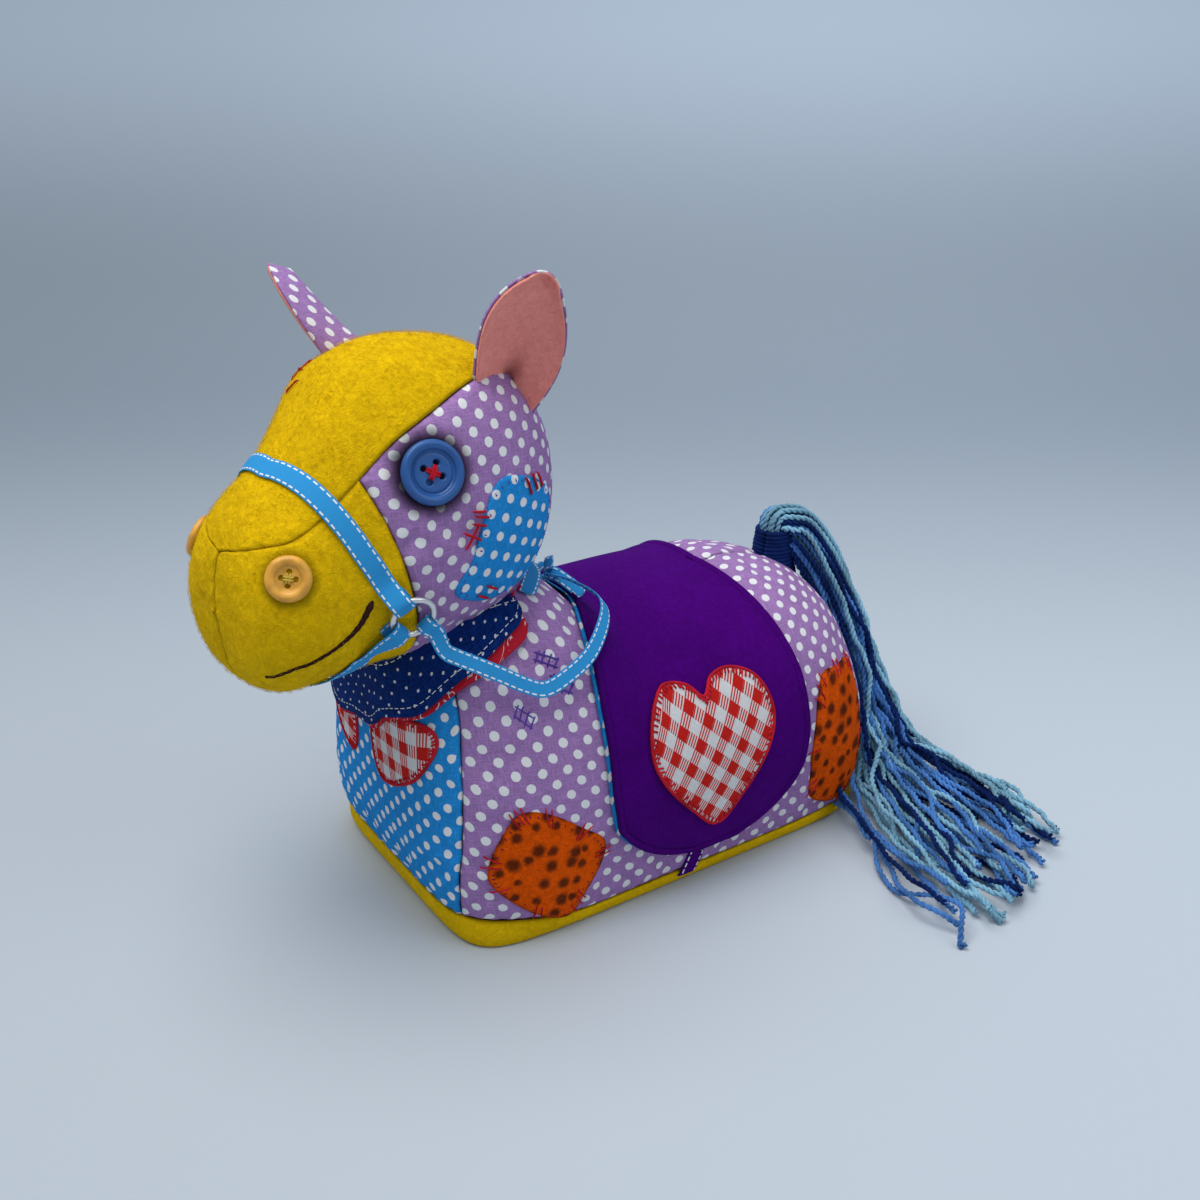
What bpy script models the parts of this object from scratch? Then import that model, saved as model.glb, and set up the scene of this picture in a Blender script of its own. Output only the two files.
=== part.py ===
"""Patchwork plush horse with a saddle, a halter and a yarn tail.

A legless toy horse that sits on a flat, padded base: felt and cotton panels sewn over
stuffing, button eyes and nostrils, a ribbon halter on two wire rings, a bandana, a felt
saddle with its girth, sewn-on patches and a tail of loose yarn hinged at a bound stub.

Axes: the head points along -X, the horse's left side is -Y, up is +Z and the floor is z = 0.
All lengths are metres and all angles are degrees.
"""

import math

import bmesh
import bpy
import numpy as np
from mathutils import Matrix, Vector

# Whole toy
SEAM_GAP = 0.0007
MIDDLE_GAP = 0.0010
NECK_CLEARANCE = 0.0014
MERGE_DISTANCE = 0.00002
PANEL_THICKNESS = 0.0010
FORM_LEVELS = 1
LIFT_STEP_share = 0.004
TINY = 0.0000001
SHARE_DIGITS = 6

# Body form
BODY_FRONT_LENGTH = 0.089
BODY_REAR_LENGTH = 0.096
BODY_HALF_WIDTH = 0.0595
BELLY_HEIGHT = 0.036
BACK_HEIGHT = 0.095
NECK_HEIGHT = 0.113
NECK_FRONT_HEIGHT = 0.103
NECK_START = 0.007
NECK_END = 0.043
CHEST_ROUND_START = 0.072
SEAM_HEIGHT_SIDE = 0.0055
SEAM_HEIGHT_FRONT = 0.0110
SEAM_RISE_START = 0.040
SEAM_RISE_END = 0.086
BELLY_RISE_share = 0.3
TUCK_share = 0.045
PLAN_POWER_BASE_share = 5.6
PLAN_POWER_TOP_share = 3.7
PLAN_POWER_BLEND_share = 0.6
SECTION_POWER_share = 2.25
REAR_POWER_share = 3.4
REAR_ROUND_share = 1.02
BASE_ROUND_share = 0.03
BASE_BULGE_share = 0.012
BASE_SQUARE_share = 3.0
BASE_CORNER_share = 0.3
SIDE_LINES = (38.0, 53.0, 66.0, 77.0, 83.5, 87.5, 89.3, 92.5, 106.0, 125.0, 145.0, 163.0,
              180.0)
SEAM_REACH = 42.0
WHOLE_LINES = (13.0, 38.0, 60.0, 76.0, 84.0, 88.0, 94.0, 106.0, 124.0, 143.0, 165.0)
BASE_LINES_SHARES = (0.0, 0.1, 0.2, 0.3, 0.5, 0.75, 1.0)
WHOLE_COLUMNS = 2 * len(WHOLE_LINES)
CHEST_SEAM_TURN = 27.0
CHEST_SEAM_SPREAD = 22.0
BASE_THICKNESS = 0.0020
BASE_SEAM_INSET = 0.0008
BODY_CAGE_SWELL = 0.0003
STUFFING_CLEARANCE = 0.0016
HEAD_STUFFING_CLEARANCE = 0.0024
STUFFING_FLOOR = 0.0036
STUFFING_TUCK_TOP = 0.0140
STUFFING_TUCK_share = 0.05

# Head form, before the head's turn: sections from the back of the skull to the nose
HEAD_BACK_X = -0.0255
HEAD_LENGTH = 0.1165
HEAD_BOTTOM = 0.097
HEAD_HEIGHT = 0.096
HEAD_HALF_WIDTH = 0.0385
HEAD_POWER_share = 2.15
HEAD_MIDDLE_share = 0.47
HEAD_CAGE_SWELL = 0.0005
HEAD_PIVOT = (-0.050, 0.0, 0.100)
HEAD_TURN = 10.0
HEAD_TILT = -2.0
HEAD_SECTION_SHARES = (
    # along, top, bottom, half width
    (0.000, 0.552, 0.552, 0.000),
    (0.030, 0.719, 0.344, 0.390),
    (0.090, 0.833, 0.208, 0.675),
    (0.176, 0.927, 0.104, 0.870),
    (0.288, 0.979, 0.042, 0.974),
    (0.425, 1.000, 0.010, 1.000),
    (0.554, 0.964, 0.000, 0.974),
    (0.674, 0.844, 0.005, 0.857),
    (0.785, 0.703, 0.005, 0.766),
    (0.880, 0.615, 0.010, 0.740),
    (0.949, 0.521, 0.052, 0.623),
    (0.987, 0.417, 0.135, 0.390),
    (1.000, 0.300, 0.300, 0.000),
)
# Forehead seam: section number on the head and angle from the top, in degrees
GUSSET_SEAM_SHARES = ((2.6, 0.0), (3.5, 30.0), (4.5, 40.0), (5.4, 47.0), (6.3, 50.5),
                      (7.1, 52.0), (7.9, 50.0), (8.8, 46.0), (9.6, 33.0), (10.15, 17.0),
                      (10.4, 0.0))
CHEEK_FRONT_SHARES = ((0.0, 7.1), (0.18, 6.85), (0.38, 6.55), (0.7, 6.1), (1.0, 5.9))
GUSSET_LINES_SHARES = (2.6, 3.5, 4.5, 5.4, 6.3, 7.1, 7.9, 8.8, 9.6, 10.15, 10.4)
CHEEK_LINES_SHARES = (0.0, 0.5, 1.4, 2.6, 3.5, 4.5, 5.4, 6.3, 7.1)
MUZZLE_LINES_SHARES = (7.1, 7.9, 8.8, 9.6, 10.15, 10.4, 11.2, 12.0)

# Ears: where each root lies on the head, and the way from its middle to the tip
EAR_THICKNESS = 0.0014
EAR_LINING_THICKNESS = 0.0012
EAR_ROOT_HALF_WIDTH = 0.0113
EAR_BELLY = 0.0048
EAR_LINING_INSET_share = 0.94
EAR_LAYER_GAP = 0.0006
EAR_TIP_REACH_share = 0.032
EAR_CUP_FALL_share = 0.6
EAR_SINK = 0.003
EAR_CLEARANCE = 0.0005
EAR_LEFT_ROOT_share = (3.5, -45.0)
EAR_LEFT_ACROSS_share = (0.81, -0.12, -0.57)
EAR_LEFT_TIP = (0.0078, -0.0132, 0.0352)
EAR_LEFT_CUP_DEPTH = 0.0075
EAR_LEFT_OPEN_share = (-0.55, -0.76, 0.34)
EAR_RIGHT_ROOT_share = (5.0, 34.0)
EAR_RIGHT_ACROSS_share = (0.56, 0.74, -0.36)
EAR_RIGHT_TIP = (-0.0070, 0.0189, 0.0283)
EAR_RIGHT_OPEN_share = (-0.70, 0.66, 0.28)
EAR_RIGHT_CUP_DEPTH = 0.0165

# Buttons
EYE_RADIUS = 0.0095
EYE_HEIGHT = 0.0030
EYE_HOLE_RADIUS = 0.0010
EYE_HOLE_SPREAD = 0.0021
EYE_PLACE_share = (5.82, 67.0)
NOSTRIL_RADIUS = 0.0066
NOSTRIL_HEIGHT = 0.0026
NOSTRIL_HOLE_RADIUS = 0.0008
NOSTRIL_HOLE_SPREAD = 0.0014
NOSTRIL_PLACE_share = (9.34, 60.0)
EYE_SEAT = -0.0003
NOSTRIL_SEAT = -0.0006
EYE_PROFILE_SHARES = ((0.0, 0.66), (0.56, 0.66), (0.66, 0.56), (0.74, 0.84), (0.86, 1.0),
                      (0.97, 0.82), (1.0, 0.45), (0.93, 0.0), (0.0, 0.0))
NOSTRIL_PROFILE_SHARES = ((0.0, 0.62), (0.48, 0.62), (0.62, 0.95), (0.80, 1.0),
                          (0.96, 0.76), (1.0, 0.4), (0.9, 0.0), (0.0, 0.0))

# Halter
RIBBON_WIDTH = 0.0060
RIBBON_THICKNESS = 0.0006
RING_RADIUS = 0.0063
RING_WIRE_RADIUS = 0.00065
RING_PLACE_share = (6.56, 112.0)
RING_STAND_OFF = 0.0031
LOOP_RADIUS = 0.0021
LOOP_TAIL = 0.0045
LOOP_LEAD = 0.0025
NOSEBAND_RING_TURN = -70.0
CHIN_RING_TURN = 28.0
REIN_RING_TURN = 124.0
RIBBON_LIFT = 0.0014
NOSEBAND_SHARES = ((0.0, 8.2), (17.0, 8.1), (47.0, 7.83), (78.0, 7.42), (93.0, 7.12))
CHIN_STRAP_SHARES = ((131.0, 7.35), (145.0, 7.75), (162.0, 8.0), (180.0, 8.1))
REIN_LEFT_ROUTE = (
    (-0.0830, -0.0440, 0.1090),
    (-0.0790, -0.0440, 0.1043),
    (-0.0722, -0.0470, 0.1000),
    (-0.0664, -0.0487, 0.0950),
    (-0.0600, -0.0502, 0.0906),
    (-0.0528, -0.0512, 0.0900),
    (-0.0440, -0.0510, 0.0920),
    (-0.0350, -0.0485, 0.0955),
    (-0.0262, -0.0425, 0.1003),
    (-0.0200, -0.0350, 0.1038),
    (-0.0185, -0.0270, 0.1058),
    (-0.0205, -0.0185, 0.1078),
    (-0.0230, -0.0110, 0.1082),
    (-0.0232, -0.0062, 0.1072),
)
REIN_LEFT_FACES_SHARES = (
    (-0.30, -0.80, 0.52),
    (-0.25, -0.80, 0.55),
    (-0.20, -0.85, 0.50),
    (-0.15, -0.86, 0.48),
    (-0.10, -0.86, 0.50),
    (-0.05, -0.86, 0.50),
    (0.05, -0.86, 0.50),
    (0.15, -0.84, 0.52),
    (0.35, -0.75, 0.55),
    (0.60, -0.60, 0.52),
    (0.78, -0.30, 0.55),
    (0.70, -0.05, 0.71),
    (0.50, -0.05, 0.86),
    (0.30, -0.05, 0.95),
)
KNOT_PLACE_X = -0.0228
KNOT_HALF_SIZE = (0.0042, 0.0050, 0.0036)
KNOT_SEAT = 0.0008

# Bandana: turn round the neck, lower edge and upper edge as rises on the body form
BANDANA_LIFT = 0.0029
BANDANA_THICKNESS = 0.0010
BANDANA_LINING_LIFT = 0.0017
BANDANA_LINING_THICKNESS = 0.0008
BANDANA_EDGE_SHARES = (
    # turn, lower edge, upper edge, how far the lining hangs below the lower edge
    (-71.0, 0.785, 0.835, 0.036),
    (-69.0, 0.757, 0.835, 0.036),
    (-65.0, 0.735, 0.832, 0.034),
    (-59.5, 0.708, 0.827, 0.030),
    (-53.0, 0.680, 0.820, 0.024),
    (-46.0, 0.655, 0.815, 0.018),
    (-36.0, 0.630, 0.808, 0.014),
    (-26.0, 0.606, 0.800, 0.012),
    (-14.0, 0.588, 0.785, 0.010),
    (-6.0, 0.560, 0.775, 0.010),
    (0.0, 0.500, 0.765, 0.014),
    (7.0, 0.470, 0.770, 0.016),
    (14.0, 0.490, 0.785, 0.018),
    (28.0, 0.560, 0.800, 0.018),
    (45.0, 0.635, 0.812, 0.020),
    (60.0, 0.695, 0.825, 0.026),
    (71.0, 0.745, 0.835, 0.030),
)
TIE_LIFT = 0.0018
TIE_ROUTE_SHARES = ((-1.0, 0.165), (-0.875, 0.115), (-0.78, 0.06), (-0.73, 0.0))
TIE_REACH = 0.0432
BANDANA_SPACE = 0.0050
BANDANA_MARGIN_share = 0.078

# Saddle, girth and heart patches
SADDLE_CENTRE_X = 0.0095
SADDLE_HALF_LENGTH = 0.0435
SADDLE_LINING_LIFT = 0.0014
SADDLE_LINING_THICKNESS = 0.0006
SADDLE_LIFT = 0.0024
SADDLE_THICKNESS = 0.0014
SADDLE_LINING_SPREAD_share = 1.02
SADDLE_EDGE_SHARES = (
    # arc from the spine, front edge, rear edge
    (0.000, -0.49, 0.88),
    (0.120, -0.64, 0.91),
    (0.245, -0.80, 0.95),
    (0.370, -0.91, 0.98),
    (0.490, -0.98, 1.00),
    (0.610, -1.00, 0.97),
    (0.700, -0.96, 0.88),
    (0.765, -0.85, 0.77),
    (0.820, -0.70, 0.62),
    (0.865, -0.50, 0.44),
    (0.900, -0.22, 0.20),
)
GIRTH_X = 0.0085
GIRTH_WIDTH = 0.0070
GIRTH_THICKNESS = 0.0012
GIRTH_CLEARANCE = 0.0004
GIRTH_LIFT = 0.0011
GIRTH_ROUTE_SHARES = (
    # rise on the body form, share of the lift
    (0.085, 1.0), (0.060, 1.0), (0.030, 1.0), (0.0, 0.9), (-0.05, 0.6), (-0.10, 0.3),
    (-0.16, 0.0), (-0.22, -0.3), (-0.30, -0.54), (-0.38, -0.54545),
)
HEART_CENTRE = (0.0125, 0.0485)
HEART_HALF_WIDTH = 0.0265
HEART_HALF_HEIGHT = 0.0285
HEART_OUTLINE_SHARES = ((0.0, -1.0), (0.42, -0.62), (0.82, -0.10), (0.98, 0.36), (0.86, 0.78),
                        (0.52, 0.96), (0.18, 0.80), (0.0, 0.52), (-0.18, 0.80), (-0.52, 0.96),
                        (-0.86, 0.78), (-0.98, 0.36), (-0.82, -0.10), (-0.42, -0.62))

# Patches
PATCH_THICKNESS = 0.0008
PATCH_LIFT = 0.0005
FLANK_PATCH_BACK = 0.0320
FLANK_PATCH_CENTRE = (FLANK_PATCH_BACK - BODY_FRONT_LENGTH, 0.0292)
FLANK_PATCH_HALF_SIZE = (0.0200, 0.0225)
FLANK_PATCH_SHARES = ((-0.95, 0.15), (-0.67, 0.73), (-0.33, 0.98), (0.15, 0.82), (0.62, 0.50),
                      (1.0, 0.20), (0.96, -0.16), (0.60, -0.68), (0.26, -1.0), (-0.30, -0.78),
                      (-0.87, -0.20))
RUMP_PATCH_INSET = 0.0270
RUMP_PATCH_CENTRE = (BODY_REAR_LENGTH - RUMP_PATCH_INSET, 0.0350)
RUMP_PATCH_HALF_SIZE = (0.0145, 0.0260)
RUMP_PATCH_SHARES = ((-1.0, 0.30), (-0.55, 0.98), (0.20, 1.0), (0.85, 0.90), (1.0, 0.10),
                     (0.95, -0.85), (0.20, -1.0), (-0.90, -0.72), (-1.05, -0.20))
CHEST_PATCH_CENTRE = (0.0187, 0.0630)
CHEST_PATCH_HALF_SIZE = (0.0168, 0.0142)
CHEST_PATCH_SHARES = ((-0.98, 0.35), (-0.45, 0.85), (0.10, 0.96), (0.63, 1.0), (0.97, 0.76),
                      (1.0, 0.37), (0.67, -0.28), (0.22, -0.68), (-0.25, -0.95), (-0.73, -1.02),
                      (-1.0, -0.50))
CHEEK_PATCH_CENTRE_share = (4.15, 103.0)
CHEEK_PATCH_HALF_share = (1.40, 24.0)
CHEEK_PATCH_SHARES = ((0.30, 1.0), (-0.30, 0.98), (-0.98, 0.55), (-0.96, -0.10), (-0.55, -0.90),
                      (0.20, -0.95), (1.0, -0.40), (0.78, 0.10))

# Tail
TAIL_ROOT_INSET = 0.0140
TAIL_ROOT_STAND = 0.0025
TAIL_ROOT = (BODY_REAR_LENGTH - TAIL_ROOT_INSET, 0.0, BACK_HEIGHT + TAIL_ROOT_STAND)
TAIL_KNOB_RADIUS = 0.0058
TAIL_KNOB_CLEARANCE = 0.0006
BINDING_BASE_RADIUS = 0.0098
BINDING_WAIST_RADIUS = 0.0068
BINDING_TOP_RADIUS = 0.0058
BINDING_CUP_DEPTH = 0.0012
BINDING_SINK = 0.0110
BINDING_SEAT = 0.0
TAIL_OVERHANG = 0.0264
TAIL_REACH = 0.1340
TAIL_ROUTE_SHARES = (
    # shares of the overhang, the reach and the root's height
    (-0.0758, 0.0000, 1.0379),
    (0.1818, -0.0045, 1.0462),
    (0.4356, -0.0239, 1.0000),
    (0.6629, -0.0634, 0.8923),
    (0.8258, -0.1119, 0.7487),
    (0.9394, -0.1657, 0.5744),
    (1.0000, -0.2179, 0.3897),
    (0.9848, -0.2761, 0.2051),
    (0.8333, -0.3881, 0.0974),
    (0.6818, -0.5522, 0.0636),
    (0.5492, -0.7313, 0.0533),
    (0.4545, -0.8806, 0.0451),
    (0.4167, -1.0000, 0.0349),
)
TAIL_FACES_SHARES = (
    (-0.10, 0.0, 1.0),
    (0.30, 0.0, 0.95),
    (0.75, 0.0, 0.65),
    (0.95, 0.05, 0.30),
    (0.95, 0.1, 0.25),
    (0.93, 0.1, 0.28),
    (0.85, 0.15, 0.45),
    (0.55, 0.2, 0.80),
    (0.20, 0.1, 0.95),
    (0.0, 0.05, 1.0),
    (0.0, 0.03, 1.0),
    (0.0, 0.03, 1.0),
    (0.0, 0.03, 1.0),
)
TAIL_HALF_WIDTHS = (0.0044, 0.0078, 0.0104, 0.0112, 0.0116, 0.0120, 0.0126, 0.0150, 0.0205,
                    0.0300, 0.0400, 0.0450, 0.0380)
TAIL_HALF_HEIGHTS = (0.0038, 0.0058, 0.0078, 0.0086, 0.0088, 0.0090, 0.0090, 0.0088, 0.0072,
                     0.0056, 0.0046, 0.0036, 0.0024)
TAIL_FLOOR_GAP = 0.0004
TAIL_END_share = 0.03

COLOURS = {
    "yellow felt": (0.78, 0.50, 0.014),
    "lilac cotton": (0.36, 0.22, 0.47),
    "blue cotton": (0.05, 0.29, 0.62),
    "pink felt": (0.78, 0.20, 0.22),
    "purple felt": (0.065, 0.008, 0.26),
    "navy twill": (0.022, 0.055, 0.17),
    "red cotton": (0.42, 0.012, 0.028),
    "red gingham": (0.60, 0.10, 0.08),
    "orange felt": (0.72, 0.12, 0.010),
    "sky ribbon": (0.10, 0.42, 0.78),
    "blue plastic": (0.03, 0.10, 0.40),
    "amber plastic": (0.80, 0.45, 0.10),
    "silver wire": (0.60, 0.60, 0.62),
    "blue yarn": (0.05, 0.16, 0.42),
    "navy thread": (0.01, 0.02, 0.09),
    "white stuffing": (0.82, 0.82, 0.80),
}
METALS = {"silver wire": 1.0}
GLOSSY = {"blue plastic": 0.35, "amber plastic": 0.3, "silver wire": 0.25}
DEFAULT_ROUGHNESS = 0.9


def clear_scene():
    """Remove every object of the open file."""
    for item in list(bpy.data.objects):
        bpy.data.objects.remove(item, do_unlink=True)


def new_collection(name):
    """Add a collection to the scene."""
    collection = bpy.data.collections.new(name)
    bpy.context.scene.collection.children.link(collection)
    return collection


def material(name):
    """The Principled material of one cloth, plastic or metal."""
    found = bpy.data.materials.get(name)
    if found:
        return found
    made = bpy.data.materials.new(name)
    made.use_nodes = True
    shader = made.node_tree.nodes["Principled BSDF"]
    shader.inputs["Base Color"].default_value = (*COLOURS[name], 1.0)
    shader.inputs["Roughness"].default_value = GLOSSY.get(name, DEFAULT_ROUGHNESS)
    shader.inputs["Metallic"].default_value = METALS.get(name, 0.0)
    made.diffuse_color = (*COLOURS[name], 1.0)
    return made


def smooth_step(start, end, value):
    """0 before start, 1 after end and a smooth ramp between them."""
    share = np.clip((value - start) / (end - start), 0.0, 1.0)
    return share * share * (3.0 - 2.0 * share)


def smooth_table(places, values, at):
    """A smooth curve through a table that never overshoots its values."""
    places = np.asarray(places, float)
    values = np.asarray(values, float)
    at = np.clip(at, places[0], places[-1])
    steps = np.diff(places)
    slopes = np.diff(values) / steps
    tangents = np.zeros_like(values)
    tangents[0] = slopes[0]
    tangents[-1] = slopes[-1]
    same = slopes[1:] * slopes[:-1] > 0.0
    total = np.where(same, slopes[1:] + slopes[:-1], 1.0)
    tangents[1:-1] = np.where(same, 2.0 * slopes[1:] * slopes[:-1] / total, 0.0)
    left = np.clip(np.searchsorted(places, at, side="right") - 1, 0, len(steps) - 1)
    share = (at - places[left]) / steps[left]
    rest = 1.0 - share
    return (values[left] * (1.0 + 2.0 * share) * rest ** 2
            + steps[left] * tangents[left] * share * rest ** 2
            + values[left + 1] * share ** 2 * (3.0 - 2.0 * share)
            - steps[left] * tangents[left + 1] * share ** 2 * rest)


def power_root(value, power):
    """The signed value raised to 2 / power, as a rounded box outline needs."""
    return np.sign(value) * np.abs(value) ** (2.0 / power)


def crest_height(x):
    """Height of the spine: the back, its fall to the rump and its rise to the neck."""
    rear = np.clip(x / (BODY_REAR_LENGTH * REAR_ROUND_share), 0.0, 1.0)
    fall = (1.0 - rear ** REAR_POWER_share) ** (1.0 / REAR_POWER_share)
    back = BELLY_HEIGHT + (BACK_HEIGHT - BELLY_HEIGHT) * fall
    round_off = smooth_step(CHEST_ROUND_START, BODY_FRONT_LENGTH, -x)
    neck = NECK_HEIGHT - (NECK_HEIGHT - NECK_FRONT_HEIGHT) * round_off
    return back + (neck - back) * smooth_step(NECK_START, NECK_END, -x)


def seam_height(x):
    """Height of the seam between the body and the base, higher under the chest."""
    rise = smooth_step(SEAM_RISE_START, SEAM_RISE_END, -x)
    return SEAM_HEIGHT_SIDE + (SEAM_HEIGHT_FRONT - SEAM_HEIGHT_SIDE) * rise


def plan_power(rise):
    """The plan outline is squarer at the base than at the back."""
    blend = smooth_step(0.0, PLAN_POWER_BLEND_share, rise)
    corner = np.clip(-rise / BASE_CORNER_share, 0.0, 1.0)
    body = PLAN_POWER_BASE_share + (PLAN_POWER_TOP_share - PLAN_POWER_BASE_share) * blend
    return body + BASE_SQUARE_share * corner


def body_section(x, y, rise):
    """Body point from a plan point and a rise: 1 is the spine, 0 the seam, -1 under the toy."""
    above = np.clip((rise - BELLY_RISE_share) / (1.0 - BELLY_RISE_share), 0.0, 1.0)
    angle = above * math.pi / 2.0
    below = np.clip((BELLY_RISE_share - rise) / BELLY_RISE_share, 0.0, 1.0)
    under = np.clip(-rise / BASE_CORNER_share, 0.0, 1.0) * math.pi / 2.0
    inward = np.clip((-rise - BASE_CORNER_share) / (1.0 - BASE_CORNER_share), 0.0, 1.0)
    scale = 1.0 - TUCK_share * below ** 2 - BASE_ROUND_share * (1.0 - np.cos(under))
    scale = scale + BASE_BULGE_share * np.sin(under * 2.0)
    scale = scale * (1.0 - inward)
    seam = seam_height(x)
    top = BELLY_HEIGHT + (crest_height(x) - BELLY_HEIGHT) * power_root(np.sin(angle),
                                                                      SECTION_POWER_share)
    side = BELLY_HEIGHT - (BELLY_HEIGHT - seam) * below
    bottom = seam * (1.0 - np.sin(under))
    z = np.where(rise >= BELLY_RISE_share, top, np.where(rise >= 0.0, side, bottom))
    narrow = power_root(np.clip(np.cos(angle), 0.0, 1.0), SECTION_POWER_share)
    narrow = np.where(above >= 1.0, 0.0, narrow)
    return np.stack(np.broadcast_arrays(x * scale, y * scale * narrow, z), -1)


def body_around(turn, rise):
    """Body point from a turn round the plan, 0 at the chest and 180 at the rump."""
    turn = np.asarray(turn, float)
    power = plan_power(rise)
    angle = np.radians(np.abs(turn))
    length = np.where(angle < math.pi / 2.0, BODY_FRONT_LENGTH, BODY_REAR_LENGTH)
    x = -length * power_root(np.cos(angle), power)
    sine = np.where(np.abs(turn) >= 180.0, 0.0, np.sin(angle))
    y = np.sign(turn) * BODY_HALF_WIDTH * power_root(sine, power)
    return body_section(x, y, rise)


def body_over(x, arc):
    """Body point from a length along the toy and an arc over its back, 0 at the spine."""
    rise = 1.0 - np.abs(arc)
    power = plan_power(rise)
    length = np.where(x < 0.0, BODY_FRONT_LENGTH, BODY_REAR_LENGTH)
    share = np.clip(np.abs(x) / length, 0.0, 1.0)
    y = np.sign(arc) * BODY_HALF_WIDTH * (1.0 - share ** power) ** (1.0 / power)
    return body_section(x, y, rise)


def rise_at(x, z):
    """The rise at which the body form has a height."""
    share = np.clip((z - BELLY_HEIGHT) / (crest_height(x) - BELLY_HEIGHT), 0.0, 1.0)
    above = np.arcsin(share ** (SECTION_POWER_share / 2.0)) * 2.0 / math.pi
    seam = seam_height(x)
    below = np.clip((z - seam) / (BELLY_HEIGHT - seam), 0.0, 1.0) * BELLY_RISE_share
    return np.where(z > BELLY_HEIGHT, BELLY_RISE_share + (1.0 - BELLY_RISE_share) * above, below)


def body_side(side):
    """Surface of one side of the body from a length along the toy and a height."""
    return lambda x, z: body_over(x, side * (1.0 - rise_at(x, z)))


def body_front(side):
    """Surface of the chest from a distance off the middle and a height."""
    def surface(off, z):
        rise = rise_at(np.full_like(z, -BODY_FRONT_LENGTH), z)
        above = np.clip((rise - BELLY_RISE_share) / (1.0 - BELLY_RISE_share), 0.0, 1.0)
        narrow = power_root(np.cos(above * math.pi / 2.0), SECTION_POWER_share)
        share = np.clip(off / (BODY_HALF_WIDTH * narrow), 0.0, 1.0)
        turn = np.degrees(np.arcsin(share ** (plan_power(rise) / 2.0)))
        return body_around(side * turn, rise)
    return surface


def head_at(section, angle):
    """Head point, measured from the head's pivot, from a section and an angle off the top."""
    angle = np.asarray(angle, float)
    numbers = np.arange(len(HEAD_SECTION_SHARES))
    along, top, bottom, wide = (smooth_table(numbers, column, section)
                                for column in zip(*HEAD_SECTION_SHARES))
    middle = bottom + (top - bottom) * HEAD_MIDDLE_share
    turn = np.radians(angle)
    up = power_root(np.cos(turn), HEAD_POWER_share)
    out = power_root(np.sin(turn), HEAD_POWER_share)
    out = np.where(np.abs(angle) >= 180.0, 0.0, out)
    height = middle + up * np.where(up > 0.0, top - middle, middle - bottom)
    x = HEAD_BACK_X - HEAD_LENGTH * along - HEAD_PIVOT[0]
    y = HEAD_HALF_WIDTH * wide * out
    z = HEAD_BOTTOM + HEAD_HEIGHT * height - HEAD_PIVOT[2]
    return np.stack(np.broadcast_arrays(x, y, z), -1)


def surface_frame(surface, u, v, step_u, step_v):
    """Points of a surface with its two directions and its normal, by finite steps."""
    point = surface(u, v)
    along = surface(u + step_u, v) - surface(u - step_u, v)
    across = surface(u, v + step_v) - surface(u, v - step_v)
    normal = np.cross(along, across)
    size = np.linalg.norm(normal, axis=-1, keepdims=True)
    return point, along, across, normal / np.maximum(size, TINY * TINY)


def lifted_around(lift):
    """The whole body form moved out by a lift."""
    def moved(turn, rise):
        step_u = 180.0 * LIFT_STEP_share
        point = body_around(turn, rise)
        near = np.clip(rise, -1.0 + LIFT_STEP_share * 2.0, 1.0 - LIFT_STEP_share * 2.0)
        normal = surface_frame(body_around, turn, near, step_u, LIFT_STEP_share)[3]
        result = point - normal * lift
        middle = np.abs(point[..., 1]) < TINY
        result[..., 1] = np.where(middle, 0.0, result[..., 1])
        return result
    return moved


def lifted_over(surface, lift, side=1.0):
    """A body_side, body_front or body_over surface moved out by a lift."""
    step = BODY_HALF_WIDTH * LIFT_STEP_share
    step_v = LIFT_STEP_share if surface is body_over else step

    def moved(u, v):
        point, along, across, normal = surface_frame(surface, u, v, step, step_v)
        centre = np.array([0.0, 0.0, BELLY_HEIGHT])
        outward = np.sign(np.sum(normal * (point * np.array([0.0, 1.0, 1.0]) - centre), -1))
        if surface is not body_over and side == 0.0:
            outward = np.sign(-normal[..., 0])
        return point + normal * outward[..., None] * lift
    return moved


def lifted_head(lift):
    """The whole head form moved out by a lift."""
    last = len(HEAD_SECTION_SHARES) - 1.0
    step = last * LIFT_STEP_share
    turn_step = 180.0 * LIFT_STEP_share

    def moved(section, angle):
        point = head_at(section, angle)
        near = np.clip(section, step * 2.0, last - step * 2.0)
        normal = surface_frame(head_at, near, angle, step, turn_step)[3]
        centre = np.array([-HEAD_LENGTH / 2.0, 0.0, HEAD_HEIGHT / 2.0])
        outward = np.sign(np.sum(normal * (point - centre), -1))[..., None]
        result = point + normal * outward * lift
        middle = np.abs(point[..., 1]) < TINY
        result[..., 1] = np.where(middle, 0.0, result[..., 1])
        pole = np.where(section >= last, -1.0, np.where(section <= 0.0, 1.0, 0.0))
        straight = point + np.array([1.0, 0.0, 0.0]) * (pole * lift)[..., None]
        return np.where(pole[..., None] == 0.0, result, straight)
    return moved


def closed_outline(shares, at):
    """A smooth closed curve through hand-set points; at runs from 0 to 1 round it."""
    points = np.asarray(shares, float)
    count = len(points)
    place = np.asarray(at, float) * count
    index = np.floor(place).astype(int)
    part = (place - index)[..., None]
    before = points[(index - 1) % count]
    first = points[index % count]
    second = points[(index + 1) % count]
    after = points[(index + 2) % count]
    return (first + (second - before) * part / 2.0
            + (before - first * 2.5 + second * 2.0 - after / 2.0) * part ** 2
            + (first * 1.5 - before / 2.0 - second * 1.5 + after / 2.0) * part ** 3)


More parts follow.
